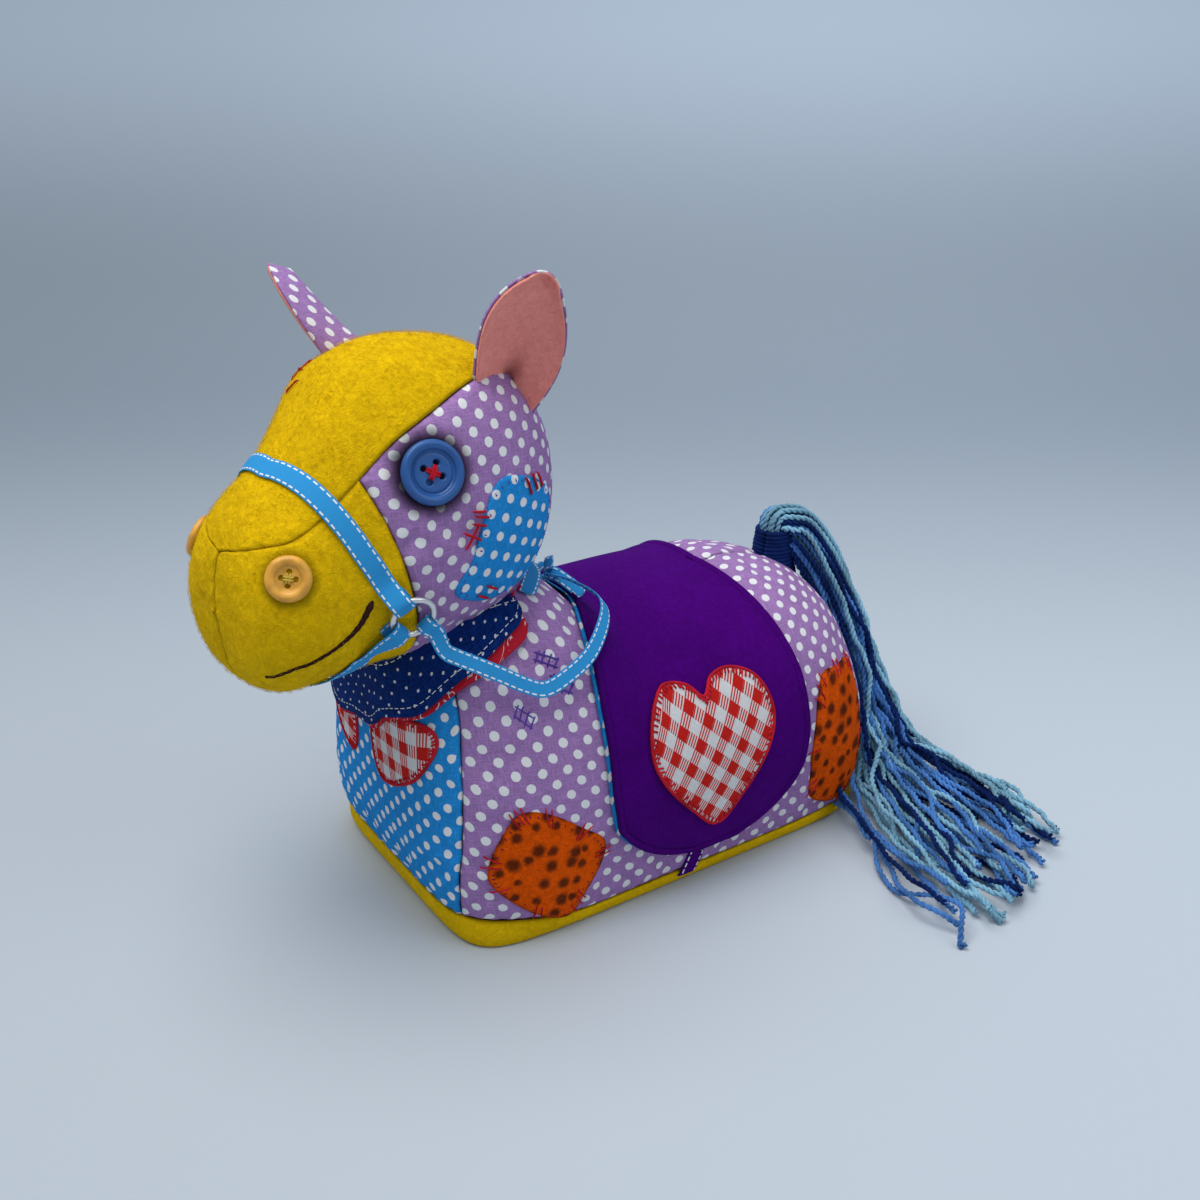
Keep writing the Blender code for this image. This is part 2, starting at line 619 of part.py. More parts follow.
def outline_patch(surface, centre, half_size, shares):
    """Map a disc onto a surface so that its rim follows a closed outline."""
    def mapped(radius, around):
        rim = closed_outline(shares, around)
        u = centre[0] + rim[..., 0] * radius * half_size[0]
        v = centre[1] + rim[..., 1] * radius * half_size[1]
        return surface(u, v)
    return mapped


def ribbon_surface(centres, acrosses, width):
    """A flat ribbon along a centre line, from its points and its across directions."""
    centres = np.asarray(centres, float)
    acrosses = np.asarray(acrosses, float)
    acrosses = acrosses / np.linalg.norm(acrosses, axis=1, keepdims=True)
    places = np.linspace(0.0, 1.0, len(centres))

    def mapped(along, across):
        centre = np.stack([np.interp(along, places, column) for column in centres.T], -1)
        sideways = np.stack([np.interp(along, places, column) for column in acrosses.T], -1)
        return centre + sideways * ((across - 0.5) * width)[..., None]
    return mapped


def grid_mesh(name, surface, columns, rows):
    """Bend a flat grid onto a surface of two shares and merge the points that meet."""
    mesh_data = bmesh.new()
    bmesh.ops.create_grid(mesh_data, x_segments=columns, y_segments=rows, size=1.0)
    flat = np.array([vertex.co[:] for vertex in mesh_data.verts])
    flat = np.round(flat, SHARE_DIGITS)
    places = surface((flat[:, 0] + 1.0) / 2.0, (flat[:, 1] + 1.0) / 2.0)
    for vertex, place in zip(mesh_data.verts, places):
        vertex.co = place
    bmesh.ops.remove_doubles(mesh_data, verts=mesh_data.verts[:], dist=MERGE_DISTANCE)
    bmesh.ops.dissolve_degenerate(mesh_data, edges=mesh_data.edges[:], dist=MERGE_DISTANCE)
    mesh = bpy.data.meshes.new(name)
    mesh_data.to_mesh(mesh)
    mesh_data.free()
    return mesh


def draw_in_border(mesh, distance):
    """Move the rim of an open mesh inward within its own surface, for a seam gap."""
    mesh_data = bmesh.new()
    mesh_data.from_mesh(mesh)
    moves = {}
    for edge in mesh_data.edges:
        if len(edge.link_faces) != 1:
            continue
        face = edge.link_faces[0]
        along = (edge.verts[1].co - edge.verts[0].co).normalized()
        inward = face.normal.cross(along)
        if inward.dot(face.calc_center_median() - edge.verts[0].co) < 0.0:
            inward = -inward
        for vertex in edge.verts:
            moves.setdefault(vertex, []).append(inward)
    for vertex, inwards in moves.items():
        total = sum(inwards, Vector())
        if total.length > TINY:
            vertex.co += total.normalized() * distance
    mesh_data.to_mesh(mesh)
    mesh_data.free()


def face_outward(mesh, centre, sense=1.0):
    """Turn the faces of an open mesh so that they look away from a point."""
    total = sum((polygon.normal.dot(polygon.center - Vector(centre)) * polygon.area
                 for polygon in mesh.polygons), 0.0)
    if total * sense < 0.0:
        mesh.flip_normals()


def add_object(name, mesh, cloth, collection, parent=None):
    """Add a mesh as a smooth-shaded, named object of the toy."""
    item = bpy.data.objects.new(name, mesh)
    collection.objects.link(item)
    mesh.materials.append(material(cloth))
    mesh.polygons.foreach_set("use_smooth", [True] * len(mesh.polygons))
    item.parent = parent
    return item


def add_cutter(name, mesh, cutters, parent=None):
    """Add a mesh that only cuts other pieces."""
    item = bpy.data.objects.new(name, mesh)
    cutters.objects.link(item)
    item.parent = parent
    item.hide_render = True
    item.display_type = "WIRE"
    return item


def subdivide(item, levels=FORM_LEVELS):
    """Round a coarse cage into a soft form."""
    soften = item.modifiers.new("Soften", "SUBSURF")
    soften.levels = levels
    soften.render_levels = levels
    soften.boundary_smooth = "PRESERVE_CORNERS"


def thicken(item, thickness, outward):
    """Give an open surface its cloth thickness, 1 outward, -1 inward, 0 both ways."""
    shell = item.modifiers.new("Cloth", "SOLIDIFY")
    shell.thickness = thickness
    shell.offset = outward


def cut(item, cutter):
    """Cut one object out of another."""
    boolean = item.modifiers.new("Cut " + cutter.name, "BOOLEAN")
    boolean.operation = "DIFFERENCE"
    boolean.solver = "EXACT"
    boolean.object = cutter


def join(item, other):
    """Join one object's solid to another's."""
    boolean = item.modifiers.new("Join " + other.name, "BOOLEAN")
    boolean.operation = "UNION"
    boolean.solver = "EXACT"
    boolean.object = other


def make_closed(mesh):
    """Point the faces of a closed mesh outward."""
    mesh_data = bmesh.new()
    mesh_data.from_mesh(mesh)
    bmesh.ops.recalc_face_normals(mesh_data, faces=mesh_data.faces[:])
    mesh_data.to_mesh(mesh)
    mesh_data.free()


class Toy:
    """The collections, the head's empty and the cutters that the builders share."""

    def __init__(self):
        self.parts = new_collection("patchwork_plush_horse")
        self.cutters = new_collection("cutters")
        self.head = self.add_head_empty()
        self.body_middle = self.add_middle_cutter("body_middle", None)
        self.head_middle = self.add_middle_cutter("head_middle", self.head)
        self.body_cutter = self.add_seat_cutter("body_space", NECK_CLEARANCE + BODY_CAGE_SWELL)
        self.head_cutter = self.add_head_cutter()
        self.bandana_cutter = self.add_bandana_cutter()
        self.neck_cutter = self.add_neck_cutter()

    def add_head_empty(self):
        """The head is modelled straight and turned as one on this empty."""
        pivot = bpy.data.objects.new("head_pose", None)
        self.parts.objects.link(pivot)
        pivot.location = HEAD_PIVOT
        pivot.rotation_euler = (math.radians(HEAD_TILT), 0.0, math.radians(HEAD_TURN))
        return pivot

    def add_middle_cutter(self, name, parent):
        """A thin slab along the middle, where the left and the right panels meet."""
        mesh_data = bmesh.new()
        size = Matrix.Diagonal((HEAD_LENGTH * 2.0, MIDDLE_GAP, HEAD_LENGTH * 3.0, 1.0))
        bmesh.ops.create_cube(mesh_data, size=1.0, matrix=size)
        mesh = bpy.data.meshes.new(name)
        mesh_data.to_mesh(mesh)
        mesh_data.free()
        return add_cutter(name, mesh, self.cutters, parent)

    def add_seat_cutter(self, name, clearance):
        """The body's outer form with the clearance of what sits on it."""
        mesh = grid_mesh(name, closed_body(clearance), WHOLE_COLUMNS * 2, 28)
        make_closed(mesh)
        return add_cutter(name, mesh, self.cutters)

    def add_head_cutter(self):
        """The head's outer form with its running clearance."""
        mesh = grid_mesh("head_space", closed_head(EAR_CLEARANCE), 24, 24)
        make_closed(mesh)
        return add_cutter("head_space", mesh, self.cutters, self.head)

    def add_bandana_cutter(self):
        """The space that the bandana takes between the head and the body."""
        surface = bandana_surface(-BANDANA_SPACE, 1.0, BANDANA_MARGIN_share)
        mesh = grid_mesh("bandana_space", surface, 28, 3)
        face_outward(mesh, (HEAD_PIVOT[0], 0.0, BELLY_HEIGHT))
        cutter = add_cutter("bandana_space", mesh, self.cutters)
        thicken(cutter, BANDANA_SPACE * 2.0, 1.0)
        return cutter

    def add_neck_cutter(self):
        """The space of the body and of the bandana in one, for what sits on the neck."""
        cutter = add_cutter("neck_space", self.body_cutter.data.copy(), self.cutters)
        join(cutter, self.bandana_cutter)
        return cutter


def closed_body(lift):
    """The whole body form, base included, with a column on each side of the middle."""
    form = lifted_around(lift)

    lines = [-line for line in reversed(WHOLE_LINES)] + list(WHOLE_LINES)
    lines.append(360.0 - WHOLE_LINES[-1])

    def mapped(u, v):
        turn = line_value(lines, u)
        return form(np.where(turn > 180.0, turn - 360.0, turn), v * 2.0 - 1.0)
    return mapped


def closed_head(lift):
    """The whole head form as shares round it and along it."""
    form = lifted_head(lift)
    last = len(HEAD_SECTION_SHARES) - 1.0
    return lambda u, v: form(v * last, (u - 0.5) * 360.0)


def seam_turn(rise):
    """Turn of the chest seam at a rise."""
    return CHEST_SEAM_TURN + CHEST_SEAM_SPREAD * rise


def add_base_panel(toy, girth_cutter):
    """Felt dish that the toy rests on, flat below and turned up to the body seam."""
    form = lifted_around(0.0)
    mesh = grid_mesh("base_panel",
                     lambda u, v: form((u - 0.5) * 360.0, -line_value(BASE_LINES_SHARES, v)),
                     30, len(BASE_LINES_SHARES) - 1)
    face_outward(mesh, (0.0, 0.0, BELLY_HEIGHT))
    draw_in_border(mesh, BASE_SEAM_INSET)
    item = add_object("base_panel", mesh, "yellow felt", toy.parts)
    thicken(item, BASE_THICKNESS, -1.0)
    cut(item, girth_cutter)


def add_body_panels(toy):
    """The two side panels and the chest panel, sewn along the spine and the chest seams."""
    centre = (0.0, 0.0, BELLY_HEIGHT)
    form = lifted_around(BODY_CAGE_SWELL)
    for name, side in (("side_left", -1.0), ("side_right", 1.0)):
        def surface(u, v, side=side):
            line = line_value(SIDE_LINES, u)
            near_seam = np.clip(1.0 - (line - SIDE_LINES[0]) / SEAM_REACH, 0.0, 1.0)
            return form(side * (line + (seam_turn(v) - SIDE_LINES[0]) * near_seam), v)
        mesh = grid_mesh(name, surface, len(SIDE_LINES) - 1, 7)
        item = add_soft_panel(toy, name, mesh, "lilac cotton", centre)
        cut(item, toy.body_middle)
    mesh = grid_mesh("chest_panel", lambda u, v: form((u * 2.0 - 1.0) * seam_turn(v), v), 5, 7)
    add_soft_panel(toy, "chest_panel", mesh, "blue cotton", centre)


def add_soft_panel(toy, name, mesh, cloth, centre, parent=None):
    """Finish an open cage as one sewn panel: its rims, its softness and its thickness."""
    face_outward(mesh, centre)
    draw_in_border(mesh, SEAM_GAP / 2.0)
    item = add_object(name, mesh, cloth, toy.parts, parent)
    subdivide(item)
    thicken(item, PANEL_THICKNESS, -1.0)
    return item


def add_body_stuffing(toy):
    """The fill inside the body panels."""
    depth = max(PANEL_THICKNESS, BASE_THICKNESS) + STUFFING_CLEARANCE
    form = closed_body(-depth)

    def fill(u, v):
        point = form(u, v)
        low = np.clip((STUFFING_TUCK_TOP - point[..., 2]) / STUFFING_TUCK_TOP, 0.0, 1.0)
        point[..., :2] *= (1.0 - STUFFING_TUCK_share * low)[..., None]
        point[..., 2] = np.maximum(point[..., 2], STUFFING_FLOOR)
        return point

    mesh = grid_mesh("body_stuffing", fill, WHOLE_COLUMNS, 14)
    make_closed(mesh)
    add_object("body_stuffing", mesh, "white stuffing", toy.parts)


def gusset_angle(section):
    """Angle from the top of the forehead seam at a section."""
    sections, angles = zip(*GUSSET_SEAM_SHARES)
    return np.interp(section, sections, angles, left=0.0, right=0.0)


def cheek_front(share):
    """Section at which the cheek meets the muzzle, from the seam down to the chin."""
    shares, sections = zip(*CHEEK_FRONT_SHARES)
    return smooth_table(shares, sections, share)


def line_value(lines, share):
    """Value at a share of a list of hand-set grid lines."""
    return np.interp(share, np.linspace(0.0, 1.0, len(lines)), lines)


def add_head_panels(toy):
    """The forehead gusset, two cheeks and two muzzle halves, cut where the neck is."""
    centre = (-HEAD_LENGTH / 2.0, 0.0, HEAD_HEIGHT / 2.0)
    seam_top = CHEEK_FRONT_SHARES[0][1]
    last = len(HEAD_SECTION_SHARES) - 1.0
    form = lifted_head(HEAD_CAGE_SWELL)

    def gusset(u, v):
        section = line_value(GUSSET_LINES_SHARES, u)
        return form(section, gusset_angle(section) * (v * 2.0 - 1.0))

    mesh = grid_mesh("forehead_panel", gusset, len(GUSSET_LINES_SHARES) - 1, 4)
    add_soft_panel(toy, "forehead_panel", mesh, "yellow felt", centre, toy.head)
    for word, side in (("left", -1.0), ("right", 1.0)):
        def cheek(u, v, side=side):
            section = line_value(CHEEK_LINES_SHARES, u)
            start = gusset_angle(section)
            angle = start + (180.0 - start) * v
            return form(section * cheek_front(v) / seam_top, side * angle)

        def muzzle(u, v, side=side):
            section = line_value(MUZZLE_LINES_SHARES, u)
            start = gusset_angle(section)
            angle = start + (180.0 - start) * v
            share = (section - seam_top) / (last - seam_top)
            return form(cheek_front(v) + (last - cheek_front(v)) * share, side * angle)

        mesh = grid_mesh("cheek_" + word, cheek, len(CHEEK_LINES_SHARES) - 1, 7)
        item = add_soft_panel(toy, "cheek_" + word, mesh, "lilac cotton", centre, toy.head)
        cut(item, toy.head_middle)
        cut(item, toy.neck_cutter)
        mesh = grid_mesh("muzzle_" + word, muzzle, len(MUZZLE_LINES_SHARES) - 1, 6)
        item = add_soft_panel(toy, "muzzle_" + word, mesh, "yellow felt", centre, toy.head)
        cut(item, toy.head_middle)
        cut(item, toy.neck_cutter)


def add_head_stuffing(toy):
    """The fill inside the head panels, cut flat on the neck."""
    depth = PANEL_THICKNESS + HEAD_STUFFING_CLEARANCE
    mesh = grid_mesh("head_stuffing", closed_head(-depth), 16, 14)
    make_closed(mesh)
    item = add_object("head_stuffing", mesh, "white stuffing", toy.parts, toy.head)
    cut(item, toy.neck_cutter)


def ear_surface(root, across, tip, opening, cup, inset):
    """A cupped leaf from an across share and a length share."""
    root_point = head_at(np.array(root[0]), np.array(root[1]))
    across = np.asarray(across, float)
    across = across / np.linalg.norm(across)
    opening = np.asarray(opening, float)
    opening = opening / np.linalg.norm(opening)
    tip = np.asarray(tip, float)
    sink = -tip / np.linalg.norm(tip) * EAR_SINK

    def mapped(u, v):
        off = u * 2.0 - 1.0
        v = np.sin(v * math.pi / 2.0)
        half = EAR_ROOT_HALF_WIDTH + EAR_BELLY * np.sin(math.pi * v)
        half = half * np.sqrt(np.clip(1.0 - v ** 4, 0.0, 1.0)) * inset
        depth = cup * (1.0 - v * EAR_CUP_FALL_share) * (1.0 - off ** 2)
        middle = root_point + sink + (tip - sink) * v[..., None] * inset
        sideways = across * (off * half)[..., None]
        return middle + sideways - opening * depth[..., None]
    return mapped


def lifted_leaf(surface, opening, lift):
    """The leaf moved along its own normal, toward the side that it opens to."""
    step = LIFT_STEP_share

    def mapped(u, v):
        near_u = np.clip(u, step, 1.0 - step)
        near_v = np.clip(v, step, 1.0 - EAR_TIP_REACH_share)
        normal = surface_frame(surface, near_u, near_v, step, step)[3]
        outward = np.sign(np.sum(normal * np.asarray(opening), -1))[..., None]
        return surface(u, v) + normal * outward * lift
    return mapped


def add_ears(toy):
    """Two ears, each a cotton back and a felt lining, rooted in the head."""
    ears = (("left", EAR_LEFT_ROOT_share, EAR_LEFT_ACROSS_share, EAR_LEFT_TIP,
             EAR_LEFT_OPEN_share, EAR_LEFT_CUP_DEPTH),
            ("right", EAR_RIGHT_ROOT_share, EAR_RIGHT_ACROSS_share, EAR_RIGHT_TIP,
             EAR_RIGHT_OPEN_share, EAR_RIGHT_CUP_DEPTH))
    for word, root, across, tip, opening, cup in ears:
        back = Vector(opening)
        for layer, cloth, inset, lift, thickness in (
                ("outer", "lilac cotton", 1.0, 0.0, EAR_THICKNESS),
                ("lining", "pink felt", EAR_LINING_INSET_share,
                 EAR_LINING_THICKNESS + EAR_LAYER_GAP, EAR_LINING_THICKNESS)):
            name = "ear_" + word + "_" + layer
            leaf = ear_surface(root, across, tip, opening, cup, inset)
            mesh = grid_mesh(name, lifted_leaf(leaf, opening, lift), 8, 7)
            total = sum((polygon.normal.dot(back) for polygon in mesh.polygons), 0.0)
            if total < 0.0:
                mesh.flip_normals()
            item = add_object(name, mesh, cloth, toy.parts, toy.head)
            thicken(item, thickness, -1.0)
            cut(item, toy.head_cutter)


def head_place(section, angle, lift):
    """Point and rotation, from the head's pivot, of something that lies on the head."""
    turn_step = 180.0 * LIFT_STEP_share
    step = len(HEAD_SECTION_SHARES) * LIFT_STEP_share
    frame = surface_frame(head_at, np.array(float(section)), np.array(float(angle)), step,
                          turn_step)
    point, along, across, normal = (Vector(value) for value in frame)
    centre = Vector((-HEAD_LENGTH / 2.0, 0.0, HEAD_HEIGHT / 2.0))
    if normal.dot(point - centre) < 0.0:
        normal = -normal
    forward = (along - normal * along.dot(normal)).normalized()
    sideways = normal.cross(forward)
    turn = Matrix((forward, sideways, normal)).transposed()
    return point + normal * lift, turn


def add_button(toy, name, place, seat, radius, height, profile, hole_radius, hole_spread,
               cloth):
    """A turned four-hole button on the head."""
    points = [(share_r * radius, 0.0, share_z * height) for share_r, share_z in profile]
    edges = [(index, index + 1) for index in range(len(points) - 1)]
    mesh = bpy.data.meshes.new(name)
    mesh.from_pydata(points, edges, [])
    item = add_object(name, mesh, cloth, toy.parts, toy.head)
    location, turn = head_place(place[0], place[1], seat)
    item.location = location
    item.rotation_euler = turn.to_euler()
    screw = item.modifiers.new("Turn", "SCREW")
    screw.steps = 16
    screw.render_steps = 16
    screw.use_merge_vertices = True
    screw.merge_threshold = MERGE_DISTANCE
    screw.use_smooth_shade = True
    mesh_data = bmesh.new()
    for across in (-1.0, 1.0):
        for along in (-1.0, 1.0):
            offset = Matrix.Translation((along * hole_spread, across * hole_spread,
                                         height / 2.0))
            bmesh.ops.create_cone(mesh_data, cap_ends=True, segments=6, radius1=hole_radius,
                                  radius2=hole_radius, depth=height * 2.0, matrix=offset)
    holes = bpy.data.meshes.new(name + "_holes")
    mesh_data.to_mesh(holes)
    mesh_data.free()
    cutter = add_cutter(name + "_holes", holes, toy.cutters, item)
    cut(item, cutter)


def add_buttons(toy):
    """Blue eyes and amber nostrils."""
    for word, side in (("left", -1.0), ("right", 1.0)):
        place = (EYE_PLACE_share[0], side * EYE_PLACE_share[1])
        add_button(toy, "eye_button_" + word, place, EYE_SEAT, EYE_RADIUS, EYE_HEIGHT,
                   EYE_PROFILE_SHARES, EYE_HOLE_RADIUS, EYE_HOLE_SPREAD, "blue plastic")
        place = (NOSTRIL_PLACE_share[0], side * NOSTRIL_PLACE_share[1])
        add_button(toy, "nostril_button_" + word, place, NOSTRIL_SEAT, NOSTRIL_RADIUS,
                   NOSTRIL_HEIGHT, NOSTRIL_PROFILE_SHARES, NOSTRIL_HOLE_RADIUS,
                   NOSTRIL_HOLE_SPREAD, "amber plastic")


def ring_frame(side):
    """Centre and rotation of a halter ring, from the head's pivot."""
    return head_place(RING_PLACE_share[0], side * RING_PLACE_share[1], RING_STAND_OFF)


def add_rings(toy):
    """The two wire rings that join the halter ribbons."""
    for word, side in (("left", -1.0), ("right", 1.0)):
        bpy.ops.mesh.primitive_torus_add(major_radius=RING_RADIUS,
                                         minor_radius=RING_WIRE_RADIUS,
                                         major_segments=24, minor_segments=6)
        item = bpy.context.active_object
        for collection in list(item.users_collection):
            collection.objects.unlink(item)
        item.name = "ring_" + word
        item.data.name = item.name
        toy.parts.objects.link(item)
        item.data.materials.clear()
        item.data.materials.append(material("silver wire"))
        item.data.polygons.foreach_set("use_smooth", [True] * len(item.data.polygons))
        centre, turn = ring_frame(side)
        item.parent = toy.head
        item.location = centre
        item.rotation_euler = turn.to_euler()


def ring_loop(side, ring_turn):
    """Ribbon centre points and across directions of a loop at a turn round a ring."""
    centre, turn = ring_frame(side)
    normal = turn @ Vector((0.0, 0.0, 1.0))
    angle = math.radians(ring_turn) * -side
    way = turn @ Vector((math.cos(angle), math.sin(angle), 0.0))
    across = normal.cross(way)
    wire = centre + way * RING_RADIUS
    points = [wire + way * LOOP_TAIL - normal * LOOP_RADIUS]
    for step in range(9):
        angle = math.pi * step / 8.0
        points.append(wire - normal * LOOP_RADIUS * math.cos(angle)
                      - way * LOOP_RADIUS * math.sin(angle))
    points.append(wire + way * LOOP_LEAD + normal * LOOP_RADIUS)
    return [tuple(point) for point in points], [tuple(across)] * len(points)


def head_strap(table, side_sign):
    """Centre points and across directions of a ribbon that follows the head form."""
    angles, sections = zip(*table)
    turns = np.linspace(-max(angles), max(angles), 25) if side_sign == 0.0 else None
    if turns is None:
        turns = np.concatenate([-np.linspace(min(angles), 180.0, 8),
                                np.linspace(180.0, min(angles), 8)[1:]])
    places = smooth_table(angles, sections, np.abs(turns))
    form = lifted_head(RIBBON_LIFT)
    centres = form(places, turns)
    step = len(HEAD_SECTION_SHARES) * LIFT_STEP_share
    across = form(places + step, turns) - form(places - step, turns)
    return centres, across


def joined_strap(centres, across, ring_turn):
    """A strap over the head with a ring loop at each end."""
    all_points = []
    all_across = []
    for side, end in ((-1.0, 0), (1.0, -1)):
        points, acrosses = ring_loop(side, ring_turn)
        sign = 1.0 if np.dot(acrosses[0], across[end]) > 0.0 else -1.0
        acrosses = [tuple(sign * value for value in vector) for vector in acrosses]
        all_points.append(points)
        all_across.append(acrosses)
    unit = across / np.linalg.norm(across, axis=1, keepdims=True)
    centres = all_points[0] + [tuple(point) for point in centres] + all_points[1][::-1]
    across = all_across[0] + [tuple(vector) for vector in unit] + all_across[1][::-1]
    return centres, across


def add_ribbon(toy, name, centres, across, width, thickness, cloth, parent=None):
    """A flat ribbon as a closed solid."""
    surface = ribbon_surface(centres, across, width)
    mesh = grid_mesh(name, surface, len(centres) - 1, 1)
    item = add_object(name, mesh, cloth, toy.parts, parent)
    thicken(item, thickness, 0.0)
    return item


def add_straps(toy):
    """The noseband over the muzzle and the strap under the chin, looped on the rings."""
    straps = (("noseband", NOSEBAND_SHARES, 0.0, NOSEBAND_RING_TURN),
              ("chin_strap", CHIN_STRAP_SHARES, 1.0, CHIN_RING_TURN))
    for name, table, sign, ring_turn in straps:
        centres, across = head_strap(table, sign)
        centres, across = joined_strap(centres, across, ring_turn)
        add_ribbon(toy, name, centres, across, RIBBON_WIDTH, RIBBON_THICKNESS, "sky ribbon",
                   toy.head)


def rein_path(toy, side):
    """Centre points and across directions of one rein, from its ring to the knot."""
    route = np.array(REIN_LEFT_ROUTE) * np.array([1.0, -side, 1.0])
    faces = np.array(REIN_LEFT_FACES_SHARES) * np.array([1.0, -side, 1.0])
    ways = np.gradient(route, axis=0)
    across = np.cross(ways, faces) * -side
    pose = toy.head.matrix_world
    points, acrosses = ring_loop(side, REIN_RING_TURN)
    points = [tuple(pose @ Vector(point)) for point in points]
    acrosses = [tuple(pose.to_3x3() @ Vector(vector)) for vector in acrosses]
    sign = 1.0 if np.dot(acrosses[0], across[0]) > 0.0 else -1.0
    unit = across / np.linalg.norm(across, axis=1, keepdims=True) * sign
    return points + [tuple(point) for point in route], acrosses + [tuple(row) for row in unit]


def add_reins(toy):
    """The free rein ribbons and the knot that joins them behind the neck."""
    for word, side in (("left", -1.0), ("right", 1.0)):
        centres, across = rein_path(toy, side)
        add_ribbon(toy, "rein_" + word, centres, across, RIBBON_WIDTH, RIBBON_THICKNESS,
                   "sky ribbon")
    mesh_data = bmesh.new()
    bmesh.ops.create_uvsphere(mesh_data, u_segments=14, v_segments=9, radius=1.0)
    mesh = bpy.data.meshes.new("rein_knot")
    mesh_data.to_mesh(mesh)
    mesh_data.free()
    knot = add_object("rein_knot", mesh, "sky ribbon", toy.parts)
    knot.location = (KNOT_PLACE_X, 0.0,
                     float(crest_height(np.array(KNOT_PLACE_X))) + KNOT_HALF_SIZE[2])
    knot.scale = KNOT_HALF_SIZE
    cut(knot, toy.add_seat_cutter("knot_seat", KNOT_SEAT))


def bandana_surface(lift, hem, margin=0.0):
    """The band round the neck as shares round it and up it; hem 1 adds the lining's drop."""
    turns, lows, highs, drops = zip(*BANDANA_EDGE_SHARES)
    form = lifted_around(lift)

    def mapped(u, v):
        turn = turns[0] + (turns[-1] - turns[0]) * u
        low = smooth_table(turns, lows, turn) - smooth_table(turns, drops, turn) * hem - margin
        high = smooth_table(turns, highs, turn) + margin
        return form(turn * (1.0 + margin), low + (high - low) * v)
    return mapped


def add_bandana(toy):
    """The navy neckerchief and its red lining, which shows below its edge."""
    layers = (("bandana", "navy twill", BANDANA_LIFT, BANDANA_THICKNESS, 0.0),
              ("bandana_lining", "red cotton", BANDANA_LINING_LIFT, BANDANA_LINING_THICKNESS,
               1.0))
    for name, cloth, lift, thickness, hem in layers:
        mesh = grid_mesh(name, bandana_surface(lift, hem), 28, 3)
        face_outward(mesh, (HEAD_PIVOT[0], 0.0, BELLY_HEIGHT))
        item = add_object(name, mesh, cloth, toy.parts)
        thicken(item, thickness, 1.0)


def add_bandana_tie(toy):
    """The ribbon that closes the bandana over the back of the neck."""
    form = lifted_over(body_over, TIE_LIFT)
    half = [(share * TIE_REACH, arc) for share, arc in TIE_ROUTE_SHARES]
    places = [(x, -arc) for x, arc in half] + [(x, arc) for x, arc in reversed(half[:-1])]
    x, arc = np.array(places).T
    centres = form(x, arc)
    ways = np.gradient(centres, axis=0)
    outward = centres - np.array([0.0, 0.0, BELLY_HEIGHT])
    outward[:, 0] = 0.0
    add_ribbon(toy, "bandana_tie", centres, np.cross(ways, outward), RIBBON_WIDTH,
               RIBBON_THICKNESS, "sky ribbon")


def saddle_surface(lift, spread):
    """The saddle blanket as shares along it and over the back."""
    arcs, fronts, rears = zip(*SADDLE_EDGE_SHARES)
    form = lifted_over(body_over, lift)

    def mapped(u, v):
        arc = (v * 2.0 - 1.0) * arcs[-1]
        front = smooth_table(arcs, fronts, np.abs(arc)) * spread
        rear = smooth_table(arcs, rears, np.abs(arc)) * spread
        x = SADDLE_CENTRE_X + SADDLE_HALF_LENGTH * (front + (rear - front) * u)
        return form(x, arc)
    return mapped


def add_saddle(toy):
    """The felt saddle over its dotted lining."""
    layers = (("saddle", "purple felt", SADDLE_LIFT, SADDLE_THICKNESS, 1.0),
              ("saddle_lining", "blue cotton", SADDLE_LINING_LIFT, SADDLE_LINING_THICKNESS,
               SADDLE_LINING_SPREAD_share))
    for name, cloth, lift, thickness, spread in layers:
        mesh = grid_mesh(name, saddle_surface(lift, spread), 7, 20)
        face_outward(mesh, (0.0, 0.0, 0.0))
        item = add_object(name, mesh, cloth, toy.parts)
        thicken(item, thickness, 1.0)


def girth_path():
    """Half route of the girth, from under the saddle flap round the corner of the base."""
    points = []
    for rise, share in GIRTH_ROUTE_SHARES:
        form = lifted_over(body_over, GIRTH_LIFT * share)
        points.append(tuple(form(np.array(GIRTH_X), np.array(rise - 1.0))))
    return points


def girth_surface(width):
    """The whole girth from the left side to the right side."""
    half = girth_path()
    other = [(x, -y, z) for x, y, z in reversed(half)]
    centres = half + other
    across = [(1.0, 0.0, 0.0)] * len(centres)
    return ribbon_surface(centres, across, width), len(centres) - 1


def add_girth_cutter(toy):
    """The channel that the girth presses into the base."""
    surface, columns = girth_surface(GIRTH_WIDTH + GIRTH_CLEARANCE * 2.0)
    mesh = grid_mesh("girth_space", surface, columns, 1)
    cutter = add_cutter("girth_space", mesh, toy.cutters)
    thicken(cutter, GIRTH_THICKNESS + GIRTH_CLEARANCE * 2.0, 0.0)
    return cutter


def add_girth(toy):
    """The strap from one saddle flap under the toy to the other."""
    surface, columns = girth_surface(GIRTH_WIDTH)
    mesh = grid_mesh("girth_strap", surface, columns, 1)
    item = add_object("girth_strap", mesh, "purple felt", toy.parts)
    thicken(item, GIRTH_THICKNESS, 0.0)


def add_patch(toy, name, surface, centre, half_size, shares, cloth, away, parent=None,
              columns=3, rows=18, sense=1.0):
    """A thin sewn-on patch that follows the form below it."""
    mesh = grid_mesh(name, outline_patch(surface, centre, half_size, shares), columns, rows)
    face_outward(mesh, away, sense)
    item = add_object(name, mesh, cloth, toy.parts, parent)
    thicken(item, PATCH_THICKNESS, 1.0)
    return item


